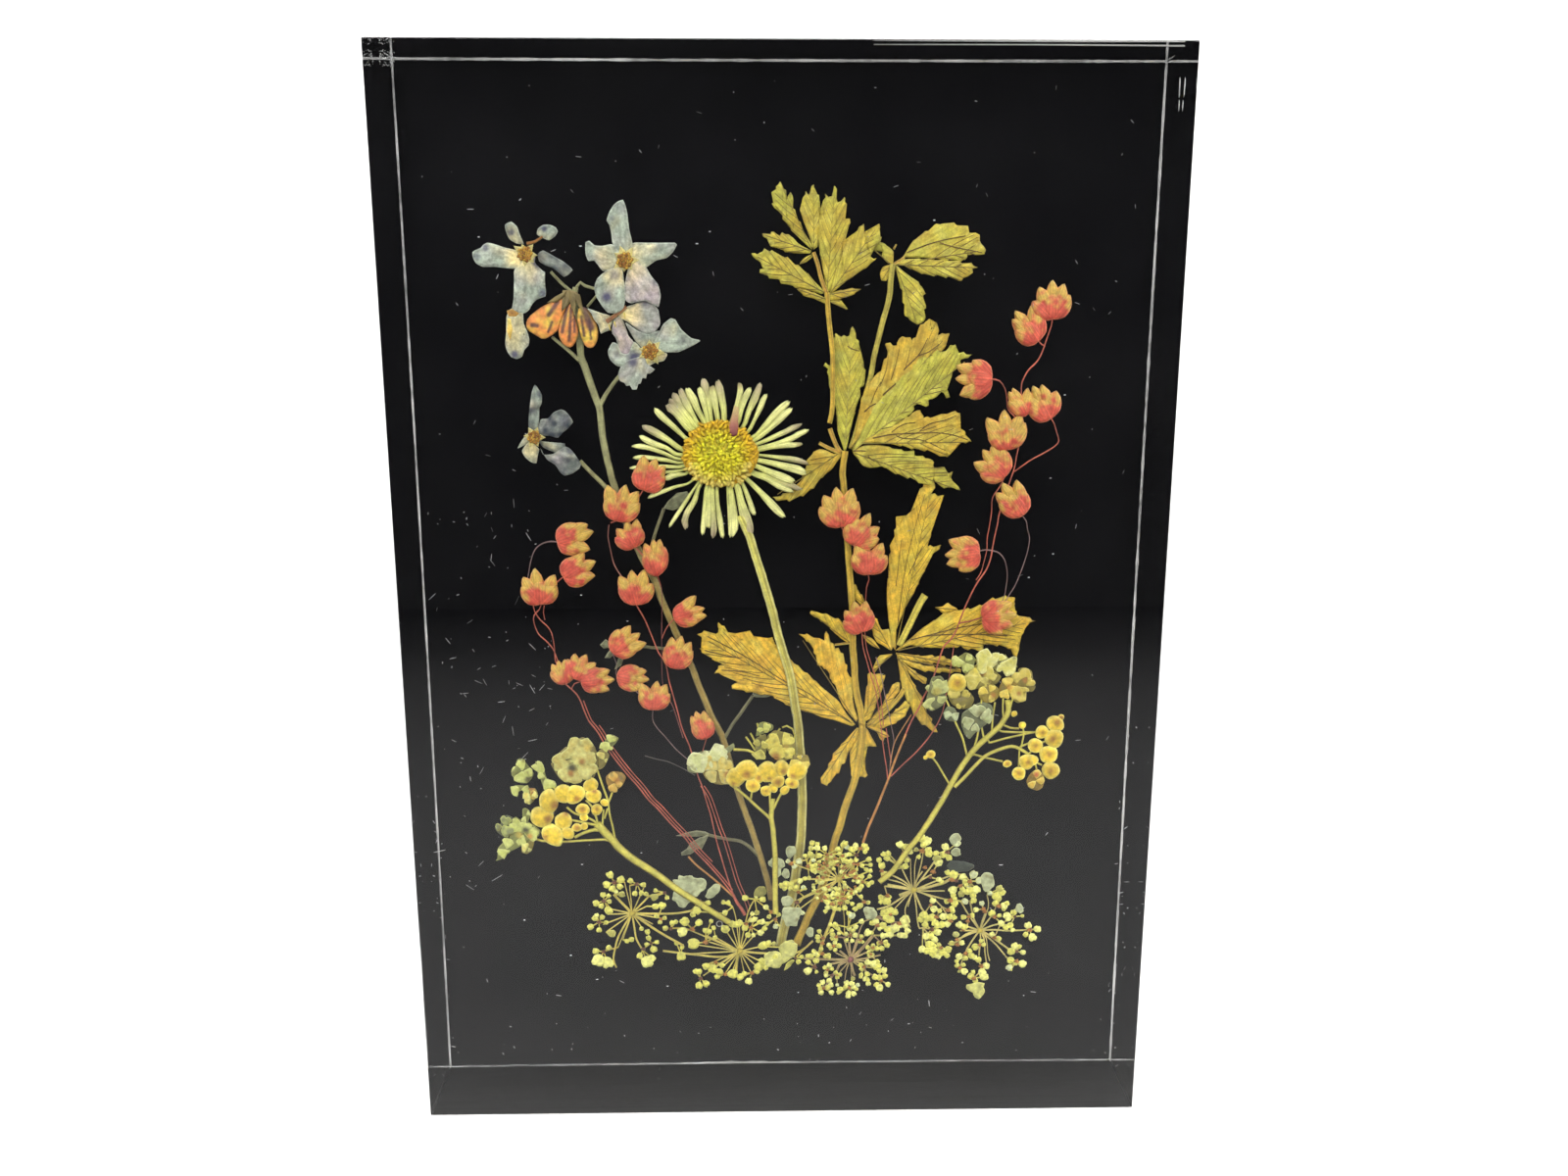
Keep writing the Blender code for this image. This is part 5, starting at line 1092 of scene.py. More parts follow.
daisy_stem = Pressed("daisy_stem", 1)
daisy_stem.stalk(trace(
    "-72,1075 16,-35 9,-30 11,-35 10,-35 10,-35 8,-35 11,-40 9,-30 6,-30 4,-30 5,-30 3,-30 3,-40 2,-40"
    " 1,-40 -1,-40 -1,-30 -3,-30 -5,-30 -4,-30 -6,-30 -8,-35 -7,-30 -4,-25"),
    1.4, 1.85, daisy_stem_paint, 0.1, 10, 0.5, 0.45)
daisy_stem.finish(plant_finish("daisy_stem", 0.5, 0.12, 0.2, (0.12, 4.0), 0.3), "plant_stem", "daisy_stem")

# ================================================================ the quaking grass
# Four sprays of quaking grass: hanging spikelets of overlapping papery scales, coral red at the
# foot and straw yellow at the tips, on thread-thin red stalks that run together lower down.

CORAL, STRAW, DEEP_RED = (0.66, 0.11, 0.06), (0.62, 0.40, 0.07), (0.45, 0.04, 0.025)
THREADS = {"red": (0.58, 0.14, 0.085), "lilac": (0.30, 0.19, 0.18), "tan": (0.62, 0.28, 0.07),
           "rust": (0.5, 0.2, 0.15), "wine": (0.28, 0.09, 0.08), "dark": (0.12, 0.10, 0.09)}


def scale_paint(base, long, tone):
    """Papery scale: straw yellow down its middle, red at its foot and edges, its tip thin and dark."""
    def paint(points, along, inside):
        out = np.hypot(points[:, 0] - base[0], points[:, 1] - base[1]) / long
        red = mixed(CORAL, DEEP_RED, 0.25 + 0.6 * ripple(points, 1.3, 5))
        body = (out - 0.42 + tone + 0.25 * ripple(points, 1.0, 2)) / 0.32
        middle = np.clip(0.45 + inside / 0.55 + 0.6 * (out - 0.6), 0, 1)
        colour = mixed(red, STRAW, np.clip(body, 0, 1) * middle)
        colour = mixed(colour, (0.52, 0.46, 0.10), np.clip((out - 0.88) / 0.2, 0, 0.6))
        rim = np.clip(1 - inside / 0.12, 0, 1)
        colour = mixed(colour, (0.85, 0.42, 0.20), rim * 0.45)
        colour = mixed(colour, (0.20, 0.13, 0.03), np.clip((along - 0.94) / 0.06, 0, 0.5))
        return colour * (1 - 0.12 * ripple(points, 0.7, 7))[:, None]
    return paint


SCALE = [(0, 0), (0.1, 0.5), (0.3, 0.92), (0.5, 1.0), (0.7, 0.9), (0.86, 0.62), (0.96, 0.3), (1.0, 0.0),
         (0.92, -0.3), (0.78, -0.72), (0.56, -0.98), (0.32, -0.95), (0.12, -0.5)]
# For each scale of a spikelet: how far it turns aside, its length and its width.
FAN = [(2, 1.0, 0.2), (-23, 0.96, 0.21), (24, 0.94, 0.22), (-38, 0.76, 0.24), (38, 0.72, 0.25),
       (4, 0.66, 0.27)]


def spikelet(piece, x, z, heading, long, wide, tone):
    """Broad papery scales that fan out from the stalk's end, the shortest and widest ones in front."""
    rng = random.Random(int(x * 31 + z * 17))
    spread = wide / long
    for order, (aside, reach, broad) in enumerate(FAN):
        turn = math.radians(heading + (aside + rng.uniform(-6, 6)) * min(1.15, spread))
        size = long * reach * rng.uniform(0.92, 1.04)
        half = long * broad * (0.55 + 0.45 * spread)
        outline = laid(SCALE, x, z, size, half, turn, rng.uniform(-0.5, 0.5))
        piece.sheet(smooth_route(outline, 0.4, True), scale_paint((x, z), long, tone), 0.42, 0.065 * order,
                    0.5, 1.0, 0.05, (x, z))


def grass(name, spikelets, threads):
    """One spray: its threads, each with a width, an end width, a colour and a route, and its spikelets."""
    piece = Pressed(name, 0)
    for row in threads.split(";"):
        width, end_width, word, route = row.split(" ", 3)
        # Each thread darkens at its sides to 0.6 of its colour: painted shade on the round thread.
        piece.stalk(trace(route), 0.5 * float(width), 0.5 * float(end_width),
                    plain_paint(THREADS[word], dimmed(THREADS[word], 0.6), 0.3), 0, 3, 0.5, 0.5)
    for row in spikelets:
        spikelet(piece, *row)
    return piece.finish(grass_finish, "grass", name)


grass_finish = plant_finish("dry_grass", 0.5, 0.12, 0.18, (0.2, 3.2), 0.3)
grass("grass_right", [
    (44.8, 140.2, 92, 6.3, 6.2, 0.05), (42.6, 136.6, 125, 6.4, 5.6, 0.05), (35.1, 130.4, 181, 6.5, 6.4, 0),
    (40.9, 124.2, 108, 5.4, 3.6, 0.15), (45.2, 123.8, 118, 6.2, 5.8, 0), (38.2, 118.6, 97, 6.9, 6.2, 0.25),
    (37.9, 114, 134, 6.3, 5.8, 0.1), (41.2, 107.4, 122, 6.6, 5.6, 0.05), (34, 100.9, 184, 6.5, 6.4, 0.1),
    (34.7, 89.5, 4, 6, 6, 0),
],
      "0.38 0.5 red 448,1403 -1,-10 -7,-23 -7,-22 -8,-15 -13,-13 -8,-15 -3,-15 3,-50 0,-20 -2,-20 -4,-20"
      " -4,-25 -6,-20 -16,-55 -3,-20 -4,-20 -3,-20 -3,-20 -7,-20 -13,-20 -8,-15 -9,-20 -6,-15 -7,-20"
      " -7,-20 -9,-15 -10,-10 -7,-20 -7,-25 -9,-25 -12,-25 -8,-20 -11,-20 -12,-30;0.7 1 tan 219,684"
      " -13,-34 -9,-25 -7,-22 -10,-28 -15,-40 -12,-30 -7,-25;0.3 0.3 red 351,1305 13,-3 9,-12 4,-15 3,-20"
      " 12,-13 11,-18;0.28 0.3 red 453,1240 6,-10 5,-15 4,-13 -6,-9 -17,-11 -22,-12 -20,-14 -8,-6;0.3 0.3"
      " red 426,1368 6,-6 6,-3;0.25 0.25 lilac 412,1073 6,-8 3,-15 4,-15 -2,-20 -5,-20 -8,-25 -8,-20"
      " -9,-15 -11,-20;0.25 0.25 lilac 340,1013 10,2 14,-2 10,-4 9,-11 5,-18 1,-15 -2,-20 -2,-12 -9,-21;"
      "0.28 0.25 red 379,1142 -9,-19 -11,-18 -1,-25 -3,-25 -3,-20 0,-20 -4,-20 -5,-20 -8,-13;0.3 0.35 red"
      " 175,700 2,-20 4,-30 5,-30 2,-20;0.28 0.3 red 184,695 6,-40 4,-23;0.25 0.3 lilac 194,695 4,-25"
      " -5,-30 -2,-32;0.28 0.3 red 348,896 -22,-7 -18,-3;0.3 0.35 tan 228,720 -15,-25 -11,-20 -6,-20"
      " -4,-30;0.3 0.35 red 300,845 -8,-65 -9,-55 -18,-39 -25,-33 -25,-25 -21,-22")
grass("grass_middle", [
    (10.1, 105.5, 94, 7, 6.8, 0.15), (12.3, 102.3, 58, 6, 6.2, 0.05), (14.9, 97.2, 93, 6.4, 6.3, 0),
    (13.9, 87, 108, 5.7, 5.8, -0.1),
],
      "0.35 0.35 red 101,1056 11,-18 11,-15 13,-27 13,-26 0,-10 -3,-10 -2,-30 -3,-30 -2,-20;0.32 0.3 red"
      " 139,870 2,-25 8,-30 7,-25 8,-25 6,-35 4,-30;0.28 0.3 red 144,870 3,-27 9,-31 9,-27 7,-25 4,-30"
      " 3,-30;0.28 0.28 lilac 164,825 8,-25 6,-30 5,-25 6,-25 5,-25")
grass("grass_left_outer", [
    (-38.4, 103.1, 8, 6.5, 6.4, 0.1), (-37.6, 97, 24, 6.2, 6.2, 0), (-41.6, 92.2, 92, 6.2, 6.6, 0.1),
    (-37.8, 77.9, 103, 4.6, 4, 0.1), (-36.3, 78.8, 62, 5.2, 5.2, 0), (-35.2, 78.3, 8, 5.9, 5.2, 0),
],
      "0.25 0.25 lilac -384,1031 -11,1 -15,-4 -12,-10 -8,-20 -5,-23 -3,-15;0.28 0.3 red -376,970 -16,-14"
      " -12,-16 -11,-18;0.3 0.3 red -429,923 2,-13 9,-15 12,-12 7,-13 3,-20 1,-20 1,-10 10,-24 8,-17;0.3"
      " 0.3 red -415,922 -4,-9 -9,-10 -1,-13 7,-20 12,-12 12,-15 6,-17 6,-22;0.28 0.28 red -410,920 -2,-12"
      " 2,-13;0.35 0.35 red -378,779 12,-11;0.3 0.3 red -350,784 -13,-4 -5,-10;0.42 0.42 red -366,768 7,-8"
      " 6,-12 6,-18 7,-18 9,-12 9,-14 9,-18 11,-18 14,-20 15,-20 18,-22 16,-23 16,-17 23,-28 25,-28 17,-24"
      " 23,-26 22,-27 18,-25 7,-10;0.34 0.34 red -348,749 6,-18 7,-18 9,-12 9,-14 9,-18 11,-18 14,-20"
      " 15,-20 18,-22 16,-23 16,-17 23,-28 25,-28 17,-24 23,-26 22,-27 18,-25;0.26 0.26 red -322,704 9,-14"
      " 9,-18 11,-18 14,-20 15,-20 18,-22 16,-23 16,-17 23,-28 25,-28 17,-24 23,-26;0.2 0.15 dark -243,647"
      " 23,-7 17,-4 23,-11 25,-15")
grass("grass_left_inner", [
    (-23.5, 111.9, 66, 6.2, 6, 0), (-28.1, 106.6, 72, 6.6, 6.4, 0.15), (-25.2, 102, 112, 5.2, 5.4, -0.05),
    (-21.4, 97, 99, 6.9, 3.6, 0), (-25.2, 92, 92, 6.5, 5.8, 0.05), (-18.8, 89.6, 21, 6, 4.6, 0),
    (-29.5, 83.4, 40, 6.3, 4.8, 0.05), (-19, 80.6, 72, 6.3, 5.2, 0.05), (-28.9, 79.3, -10, 5.8, 4.6, 0),
    (-22.7, 73.1, 82, 5.8, 5.4, 0.05), (-13.4, 67.7, 108, 5.8, 4.2, 0),
],
      "0.3 0.3 red -236,1119 -12,-19 -16,-18 -16,-14 -12,-4;0.28 0.28 rust -295,1060 -2,-20 3,-20 5,-25"
      " 7,-15 8,-12;0.28 0.28 red -252,1023 16,-19 14,-16 8,-17 5,-17;0.38 0.42 red -252,921 6,-11 8,-15"
      " 8,-20 8,-22 7,-18 10,-15 4,-15 3,-20 5,-20 5,-20 5,-20 5,-22 6,-18 6,-15 4,-12 12,-48 7,-20 8,-30"
      " 7,-25 6,-30 4,-20 8,-30 8,-30 9,-30 5,-15;0.28 0.28 wine -209,954 2,-14 -1,-40 -1,-30 -1,-60 1,-30"
      " 5,-20 7,-12 6,-13 6,-20 10,-35;0.28 0.28 red -187,896 -13,-16 -9,-20;0.2 0.2 lilac -295,834 7,-22"
      " -1,-19 23,-19 26,-24 13,-18;0.3 0.3 red -145,590 12,-20 10,-30 9,-30 8,-22 8,-28 8,-30 7,-25 8,-20"
      " 6,-15 5,-15 1,-10;0.28 0.28 red -139,590 12,-20 10,-30 9,-30 8,-22 8,-28 8,-30 7,-25 8,-20 6,-15"
      " 5,-15;0.2 0.2 lilac -227,732 -1,-12 1,-10 7,-12 15,-18 17,-21 20,-19 9,-8;0.28 0.28 red -133,680"
      " -9,-30 -6,-30;0.6 0.6 tan -169,456 14,-16 20,-18 20,-18 18,-18 8,-8;0.9 1.3 red -89,382 7,-16"
      " 8,-12 6,-12")

# ================================================================ the yellow bud clusters
# Three cut heads of a small yellow-flowered plant: round yellow buds with paler rims and brown
# spots, and crumpled open flowers, on branching green-yellow stalks.

BUD_YELLOW, BUD_RIM, BUD_BROWN = (0.78, 0.56, 0.03), (0.84, 0.72, 0.16), (0.34, 0.14, 0.02)
CRUMPLED, CRUMPLED_PALE, CLUSTER_STEM = (0.48, 0.52, 0.12), (0.68, 0.71, 0.25), (0.58, 0.53, 0.08)


def crumple_paint(base, pale, spots=()):
    """A crumpled flower petal: its base and pale colours mixed over its crumples as painted light and shade,
    pale edges, darker patches in its creases as painted shade, and brown or yellow spots.
    """
    def paint(points, along, inside):
        # Painted light and shade: lighter and darker over the crumples.
        fold_light_and_shade = 0.35 + 0.5 * ripple(points, 0.75, 4) + 0.35 * ripple(points, 2.0, 6)
        colour = mixed(base, pale, np.clip(fold_light_and_shade, 0, 1) * 0.7)
        colour = mixed(colour, pale, np.clip(1 - inside / 0.2, 0, 1) * 0.8)
        # Painted shade: dark patches in the deepest creases.
        colour = mixed(colour, (0.16, 0.14, 0.03), np.clip(-ripple(points, 0.9, 8) - 0.45, 0, 0.7))
        for x, z, radius, spot_colour in spots:
            colour = mixed(colour, spot_colour, 0.9 * near(points, x, z, radius))
        return colour
    return paint


PUCKERED = [(0, 0), (0.25, 0.5), (0.6, 1.0), (0.85, 0.85), (0.95, 0.4), (0.88, 0.05), (1.0, -0.3),
            (0.86, -0.8), (0.6, -1.0), (0.25, -0.55)]


def crumpled_petals(piece, corners, base, pale, spots, lift):
    """The petals of a crumpled flower: each starts near its middle, and they end round its outline."""
    middle = np.mean(corners, axis=0)
    rng = random.Random(int(corners[0][0] * 13))
    for corner in corners[::3]:
        tip = np.array(corner) * 0.97 + middle * 0.03
        foot = middle + (tip - middle) * rng.uniform(-0.15, 0.25)
        way = tip - foot
        across = np.array([-way[1], way[0]]) * rng.uniform(0.42, 0.68)
        outline = [tuple(foot + way * (u + rng.uniform(-0.06, 0.06))
                         + across * (v * rng.uniform(0.75, 1.15))) for u, v in PUCKERED]
        piece.sheet(smooth_route(outline, 0.3, True), crumple_paint(base, pale, spots), 0.33,
                    lift + rng.uniform(0, 0.18), 0.12, 0.35, 0.2)


def ring_paint(brown_spot, glow):
    """A bud seen from its end: a pale rim with a thin darker ring inside it, then the yellow middle."""
    def paint(points, ball):
        out = np.hypot(ball[:, 0], ball[:, 1])
        colour = mixed(BUD_YELLOW, (0.48, 0.26, 0.02), np.clip(1 - abs(out - 0.70) / 0.13, 0, 0.8))
        colour = mixed(colour, BUD_RIM, np.clip((out - 0.76) / 0.12, 0, 1))
        if brown_spot:
            colour = mixed(colour, BUD_BROWN, 0.95 * near(points, *brown_spot))
        return colour * (glow * (1 + 0.28 * ripple(points, 0.7, 3)))[:, None]
    return paint


def cluster(name, stalks, flowers, buds):
    """A bud head: its stalks, each with a width, an end width and a route; crumpled flowers with their
    base and edge colours and spots; and round buds over them, as x,z,across,high and perhaps a brown
    spot's x,z,radius, in tenths of a millimetre."""
    piece = Pressed(name, -3)
    for row in stalks.split(";"):
        width, end_width, route = row.split(" ", 2)
        piece.stalk(trace(route), float(width), float(end_width),
                    plain_paint(CLUSTER_STEM, (0.36, 0.29, 0.05), 0.2), 0, 4)
    for order, (outline, base, pale, spots) in enumerate(flowers):
        corners, layer = trace(outline), 0.06 * (order % 4)
        # Under its petals each flower is a sheet in its colours dimmed to a third and to 0.6: painted shade
        # in the gaps between the petals.
        shade = crumple_paint(dimmed(base, 0.32), dimmed(base, 0.6), spots)
        piece.sheet(smooth_route(corners, 0.3, True), shade, 0.33, layer, 0.10, 0.4, 0.2)
        crumpled_petals(piece, corners, base, pale, spots, 0.15 + layer)
    for order, row in enumerate(buds.split()):
        x, z, across, high, *spot = (float(part) / 10 for part in row.split(","))
        bud(piece, x, z, 1.12 * across, 1.12 * high, ring_paint(spot, 0.85 + 0.3 * (order * 7 % 5) / 4),
            0.22 + 0.04 * (order % 3), 0.3 * order, 0.26, 20)
    return piece.finish(cluster_finish, "yellow_bud", name)


cluster_finish = plant_finish("yellow_bud", 0.5, 0.14, 0.18)
PALE, BRIGHT, DIM = CRUMPLED_PALE, (0.74, 0.70, 0.16), (0.17, 0.19, 0.08)
cluster("bud_cluster_left",
        "1 1.5 -95,333 -25,17 -20,14 -55,39 -25,21 -25,18 -25,18 -20,18 -12,15 -11,12 -10,13 -7,7;0.35"
        " 0.35 -440,498 11,-4 39,-2 40,2 34,1 14,-5;0.35 0.35 -326,626 8,-28 9,-30 2,-23 5,-25 3,-20;0.35"
        " 0.35 -301,584 -5,-14 -4,-8;0.35 0.35 -382,557 14,-12 18,-6 16,-9 8,-10;0.35 0.4 -375,533 25,-6"
        " 18,-4;0.5 0.6 -370,500 18,9 17,5 13,-1;0.35 0.4 -348,570 10,-12 8,-23 2,-11;0.35 0.35 -317,552"
        " -2,-17 -1,-19;0.35 0.35 -310,554 -6,-19;0.4 0.4 -460,510 12,-6 12,-8;0.4 0.4 -412,600 16,-12"
        " 16,-18", [
    ("-407,638 9,6 5,12 13,12 10,0 5,10 15,8 12,-6 9,-12 4,-18 0,-15 -4,-13 -3,-10 -13,-4 -15,-4 -20,-3"
     " -13,9 -9,15",
     (0.46, 0.38, 0.09), PALE,
     [(-37, 63, 1.1, (0.02, 0.02, 0.01)), (-37.3, 62, 0.8, BUD_BROWN),
      (-34.2, 66.6, 0.9, (0.62, 0.46, 0.08)), (-35.2, 64.2, 0.8, BUD_BROWN)]),
    ("-319,663 7,15 8,12 7,0 10,-6 -6,-10 -13,-12", CRUMPLED, PALE, ()),
    ("-322,662 10,1 8,-10 -4,-11 -7,-12 -9,-3", (0.55, 0.45, 0.09), PALE, ()),
    ("-477,620 7,12 4,13 6,3 8,-6 10,-14 4,-8 -4,-10 -8,-8 -12,0 -10,10",
     CRUMPLED, PALE, [(-44.8, 61.0, 0.9, (0.10, 0.09, 0.03))]),
    ("-434,642 11,-4 4,-13 3,-13 7,-13 7,-2 -4,-9 -14,2 -6,18 -5,12", CRUMPLED, PALE, ()),
    ("-479,587 7,11 22,-1 4,-5 -14,-3 -10,-4", CRUMPLED, PALE, ()),
    ("-459,582 13,11 10,-1 4,-10 -7,-12 -5,-6 -9,0",
     (0.62, 0.50, 0.09), PALE, [(-44.2, 59.4, 0.8, BUD_BROWN)]),
    ("-510,520 10,7 4,13 8,3 10,-5 -4,-18 -2,-16 -12,-2 -9,8", DIM, CRUMPLED, ()),
    ("-486,500 -14,-12 -8,-10 3,-12 -7,-10 12,4 14,13 14,8 7,5", CRUMPLED, PALE, ()),
    ("-465,482 1,-10 8,-3 8,5 5,13 1,11 -14,-7", (0.62, 0.50, 0.09), PALE, ()),
    ("-482,532 9,7 11,-7 10,-2 13,-8 9,-10 -4,-10 -9,-3 -12,-9 -13,-7 -15,5 -2,17",
     CRUMPLED, PALE,
     [(-45.6, 51.6, 0.9, (0.03, 0.03, 0.015)), (-44.9, 50.3, 0.7, (0.55, 0.26, 0.04)),
      (-46.8, 50.6, 0.8, (0.58, 0.45, 0.08))]),
    ("-460,530 0,24 6,2 8,-8 -5,-17", CRUMPLED, PALE, ()),
    ("-302,584 -8,16 -1,13 11,9 17,-2 7,-9 -7,-15 -13,-10",
     (0.66, 0.38, 0.05), (0.74, 0.56, 0.14), [(-29.2, 60.6, 0.8, (0.45, 0.20, 0.03))]),
],
        "-426,540,19,18,-415,536,11 -388,582,16,16 -367,581,18,15,-363,574,8 -338,598,13,11"
        " -334,578,12,13,-332,588,7 -414,568,21,16,-402,562,12 -389,532,14,14,-384,545,7"
        " -408,505,21,16,-422,502,7 -382,508,11,10 -354,553,11,10,-354,553,7 -329,552,9,10,-329,553,5"
        " -365,519,8,7,-365,519,6 -352,538,7,7 -352,521,6,6 -315,565,6,7 -440,581,8,6,-440,584,6")
cluster("bud_cluster_middle",
        "1.05 0.9 -12,350 -1,30 0,40 0,40 -2,30 -2,25 -3,20 2,20 1,15;0.5 0.45 -20,530 -7,8 -18,17 -20,20"
        " -20,17;0.4 0.4 -21,544 -1,26 0,28;0.45 0.4 -16,550 10,22 9,16;0.35 0.35 -56,570 2,12 2,8;0.45"
        " 0.4 -86,662 26,-2 13,-7;0.3 0.3 -64,685 9,-13 7,-12;0.3 0.3 -56,692 7,-14 5,-18;0.35 0.3 -44,710"
        " 4,-16 4,-19;0.25 0.25 0,702 8,3 10,-6 4,-11 -1,-9;0.3 0.3 -4,700 -8,-12 -4,-14", [
    ("-140,646 15,4 20,0 12,-5 3,-15 -2,-15 4,-15 -17,-4 -15,2 -15,10 -7,15",
     (0.58, 0.44, 0.08), (0.62, 0.60, 0.24),
     [(-9.6, 61.6, 1.0, BUD_BROWN), (-12.6, 61.2, 0.9, (0.45, 0.40, 0.12))]),
    ("-168,630 5,15 7,8 16,6 20,1 15,0 7,5 12,8 2,-8 -11,-10 -12,-3 -27,-6 -2,-23 -17,-5 -13,4",
     (0.55, 0.58, 0.24), (0.72, 0.74, 0.44), ()),
    ("-48,680 2,-15 -3,-10 7,-13 10,4 4,14 1,15 -3,15", (0.40, 0.36, 0.06), BRIGHT, ()),
    ("-45,695 5,15 8,2 8,-2 8,-4 0,-7 -9,-5 -11,-4 -10,-4", CRUMPLED, BRIGHT, ()),
    ("-26,686 13,10 19,-4 11,-4 5,-15 1,-13 -2,-12 -11,-6 -12,-4 -12,6 -9,11 -5,10 1,13",
     (0.60, 0.50, 0.07), BRIGHT, [(-1.2, 64.8, 1.2, BUD_BROWN), (0.6, 66.8, 0.8, (0.42, 0.30, 0.04))]),
    ("14,628 2,15 4,7 10,2 14,-2 4,-10 -2,-14 -12,-8",
     (0.64, 0.50, 0.06), (0.76, 0.64, 0.14), [(3.0, 63.4, 0.8, (0.40, 0.22, 0.03))]),
],
        "-82,610,16,16,-86,599,6 -63,623,19,17,-63,617,11 -52,596,12,12,-52,596,6 -25,620,17,18,-22,609,6"
        " 25,622,17,16,19,614,7 -8,603,11,11,-8,602,8 -29,585,9,9,-29,585,4 -16,590,8,7 4,586,7,8"
        " 17,600,12,9,17,598,6 -2,626,13,14,2,622,7 -42,612,9,12,-42,610,6")
cluster("bud_cluster_right",
        "1.05 1 175,410 23,20 17,25 13,20 12,15 12,18 13,22 13,23 12,22 10,20 12,23 13,22 13,18 14,15"
        " 16,15 14,14 10,16 5,12 -2,20;0.65 0.5 306,590 19,20 17,20 18,18 23,11 22,6 15,-5 15,-10 12,-12;"
        "0.35 0.3 326,650 -8,30 -10,22 -8,18 -8,20 -7,15;0.35 0.3 338,660 6,25 2,25 3,30 -1,50;0.35 0.3"
        " 356,678 -4,17 -4,20;0.35 0.3 369,690 1,30 3,26;0.35 0.3 389,715 -2,20 0,30;0.35 0.3 398,725 4,20"
        " 4,15;0.3 0.3 379,698 6,-5 25,-2 32,0;0.3 0.3 362,679 3,-7 30,8 30,7 15,3 10,2;0.3 0.3 386,706"
        " 16,-7 15,-1;0.3 0.3 422,703 4,-13 -2,-15 -2,-13;0.3 0.3 334,649 6,1 20,-6 30,-7;0.3 0.3 419,662"
        " 0,-34;0.3 0.3 420,664 23,9 17,-1 8,4;0.3 0.3 446,639 7,-6 7,-3;0.3 0.3 447,638 2,-8 2,-8;0.3 0.3"
        " 298,593 -13,22 -12,20 -9,11;0.3 0.3 436,651 8,9 4,8;0.3 0.3 458,640 8,6 6,4", [
    ("258,782 4,10 14,2 6,-6 2,-13 2,-15 -1,-15 -11,-9 -11,-6 -8,3 -5,10 4,17",
     (0.34, 0.36, 0.12), PALE, [(27.0, 76.6, 1.1, (0.42, 0.35, 0.06))]),
    ("282,725 8,-12 13,-2 7,9 -8,15 -12,4", (0.40, 0.46, 0.22), (0.62, 0.68, 0.42), ()),
    ("315,705 7,-19 8,-7 9,11 10,8 11,10 10,17 -3,15 -12,6 -12,-2 -15,-9 -12,-10",
     (0.34, 0.38, 0.16), (0.62, 0.66, 0.36), [(34.6, 72.6, 0.9, (0.16, 0.15, 0.05))]),
    ("293,822 15,7 10,7 10,-3 8,-9 -3,-12 -8,-10 -8,-3 -5,11 -12,7", CRUMPLED, PALE, ()),
    ("336,822 5,8 14,-2 7,5 9,3 9,-7 8,3 7,-10 10,-5 5,-8 -12,-1 1,-9 -17,3 -8,-3 -6,9 -13,6 -15,1",
     (0.60, 0.56, 0.12), (0.80, 0.80, 0.40), ()),
    ("322,802 13,11 20,2 18,-15 9,-8 -7,-12 -15,-5 -15,-3 -15,-4 -12,12 -2,10",
     (0.50, 0.42, 0.06), (0.70, 0.64, 0.20),
     [(35, 79.9, 0.7, BUD_BROWN), (33.8, 80.5, 0.7, (0.72, 0.6, 0.06)),
      (36.2, 78.4, 0.6, (0.20, 0.14, 0.03))]),
    ("290,770 12,4 14,-4 12,-6 8,-12 -6,-16 -16,-2 -16,8 -8,14",
     (0.44, 0.36, 0.05), (0.68, 0.58, 0.12), [(31.2, 75.4, 0.8, (0.16, 0.13, 0.03))]),
    ("343,770 2,-15 10,-9 13,0 10,9 0,15 -9,8 -15,0",
     (0.64, 0.48, 0.05), BUD_RIM, [(36.9, 75.9, 0.7, BUD_BROWN)]),
    ("385,753 -7,10 4,17 11,12 12,1 5,-10 -4,-17 -8,-11",
     (0.66, 0.46, 0.05), BUD_RIM, [(39.6, 77.4, 0.7, (0.5, 0.25, 0.03))]),
    ("412,805 12,3 11,-6 3,-14 5,-15 -5,-8 -10,-1 -4,-11 -9,-9 -9,4 -1,14 5,16",
     (0.56, 0.44, 0.06), (0.70, 0.60, 0.16), [(42.4, 78.6, 0.7, BUD_BROWN), (41.4, 76.2, 0.6, BUD_BROWN)]),
    ("451,623 -11,-10 -6,-13 4,-12 15,-6 9,5 4,15 -4,11",
     (0.66, 0.42, 0.05), BUD_RIM, [(45, 61.3, 0.7, (0.5, 0.10, 0.03))]),
],
        "305,782,15,15,305,782,8 398,633,7,6,398,633,4 419,615,11,11,419,616,6 480,706,13,15,483,709,9"
        " 458,691,11,11,458,691,6 479,679,15,15,477,679,9 447,666,12,12,447,666,6 471,650,15,15,471,651,8"
        " 432,636,13,12,434,636,6 442,639,10,9 476,620,15,14,476,620,8 262,651,7.5,7,262,651,4"
        " 253,645,3.5,3.5 407,725,5,5 422,704,6,6 490,718,5,5,490,718,5")

# ================================================================ the lace umbels
# Six heads of a small white lace flower that dried pale yellow: thin rays spread from a middle and
# end in florets of round notched petals about tiny orange-brown hearts. Sizes here are in tenths.

LACE, LACE_BRIGHT, LACE_WHITE = (0.70, 0.67, 0.12), (0.84, 0.83, 0.24), (0.62, 0.67, 0.36)
LACE_OLIVE, HEART = (0.42, 0.40, 0.08), (0.44, 0.19, 0.03)
RAY_GOLD, RAY_DULL, RAY_BROWN = (0.60, 0.48, 0.07), (0.56, 0.46, 0.14), (0.36, 0.23, 0.12)
TONES = {"": LACE, "b": LACE_BRIGHT, "w": LACE_WHITE, "v": LACE_OLIVE, "o": HEART,
         "n": (0.17, 0.065, 0.025), "g": (0.05, 0.065, 0.045)}
HEARTS = ("o", "n")
BEAD_TURN = 2.4


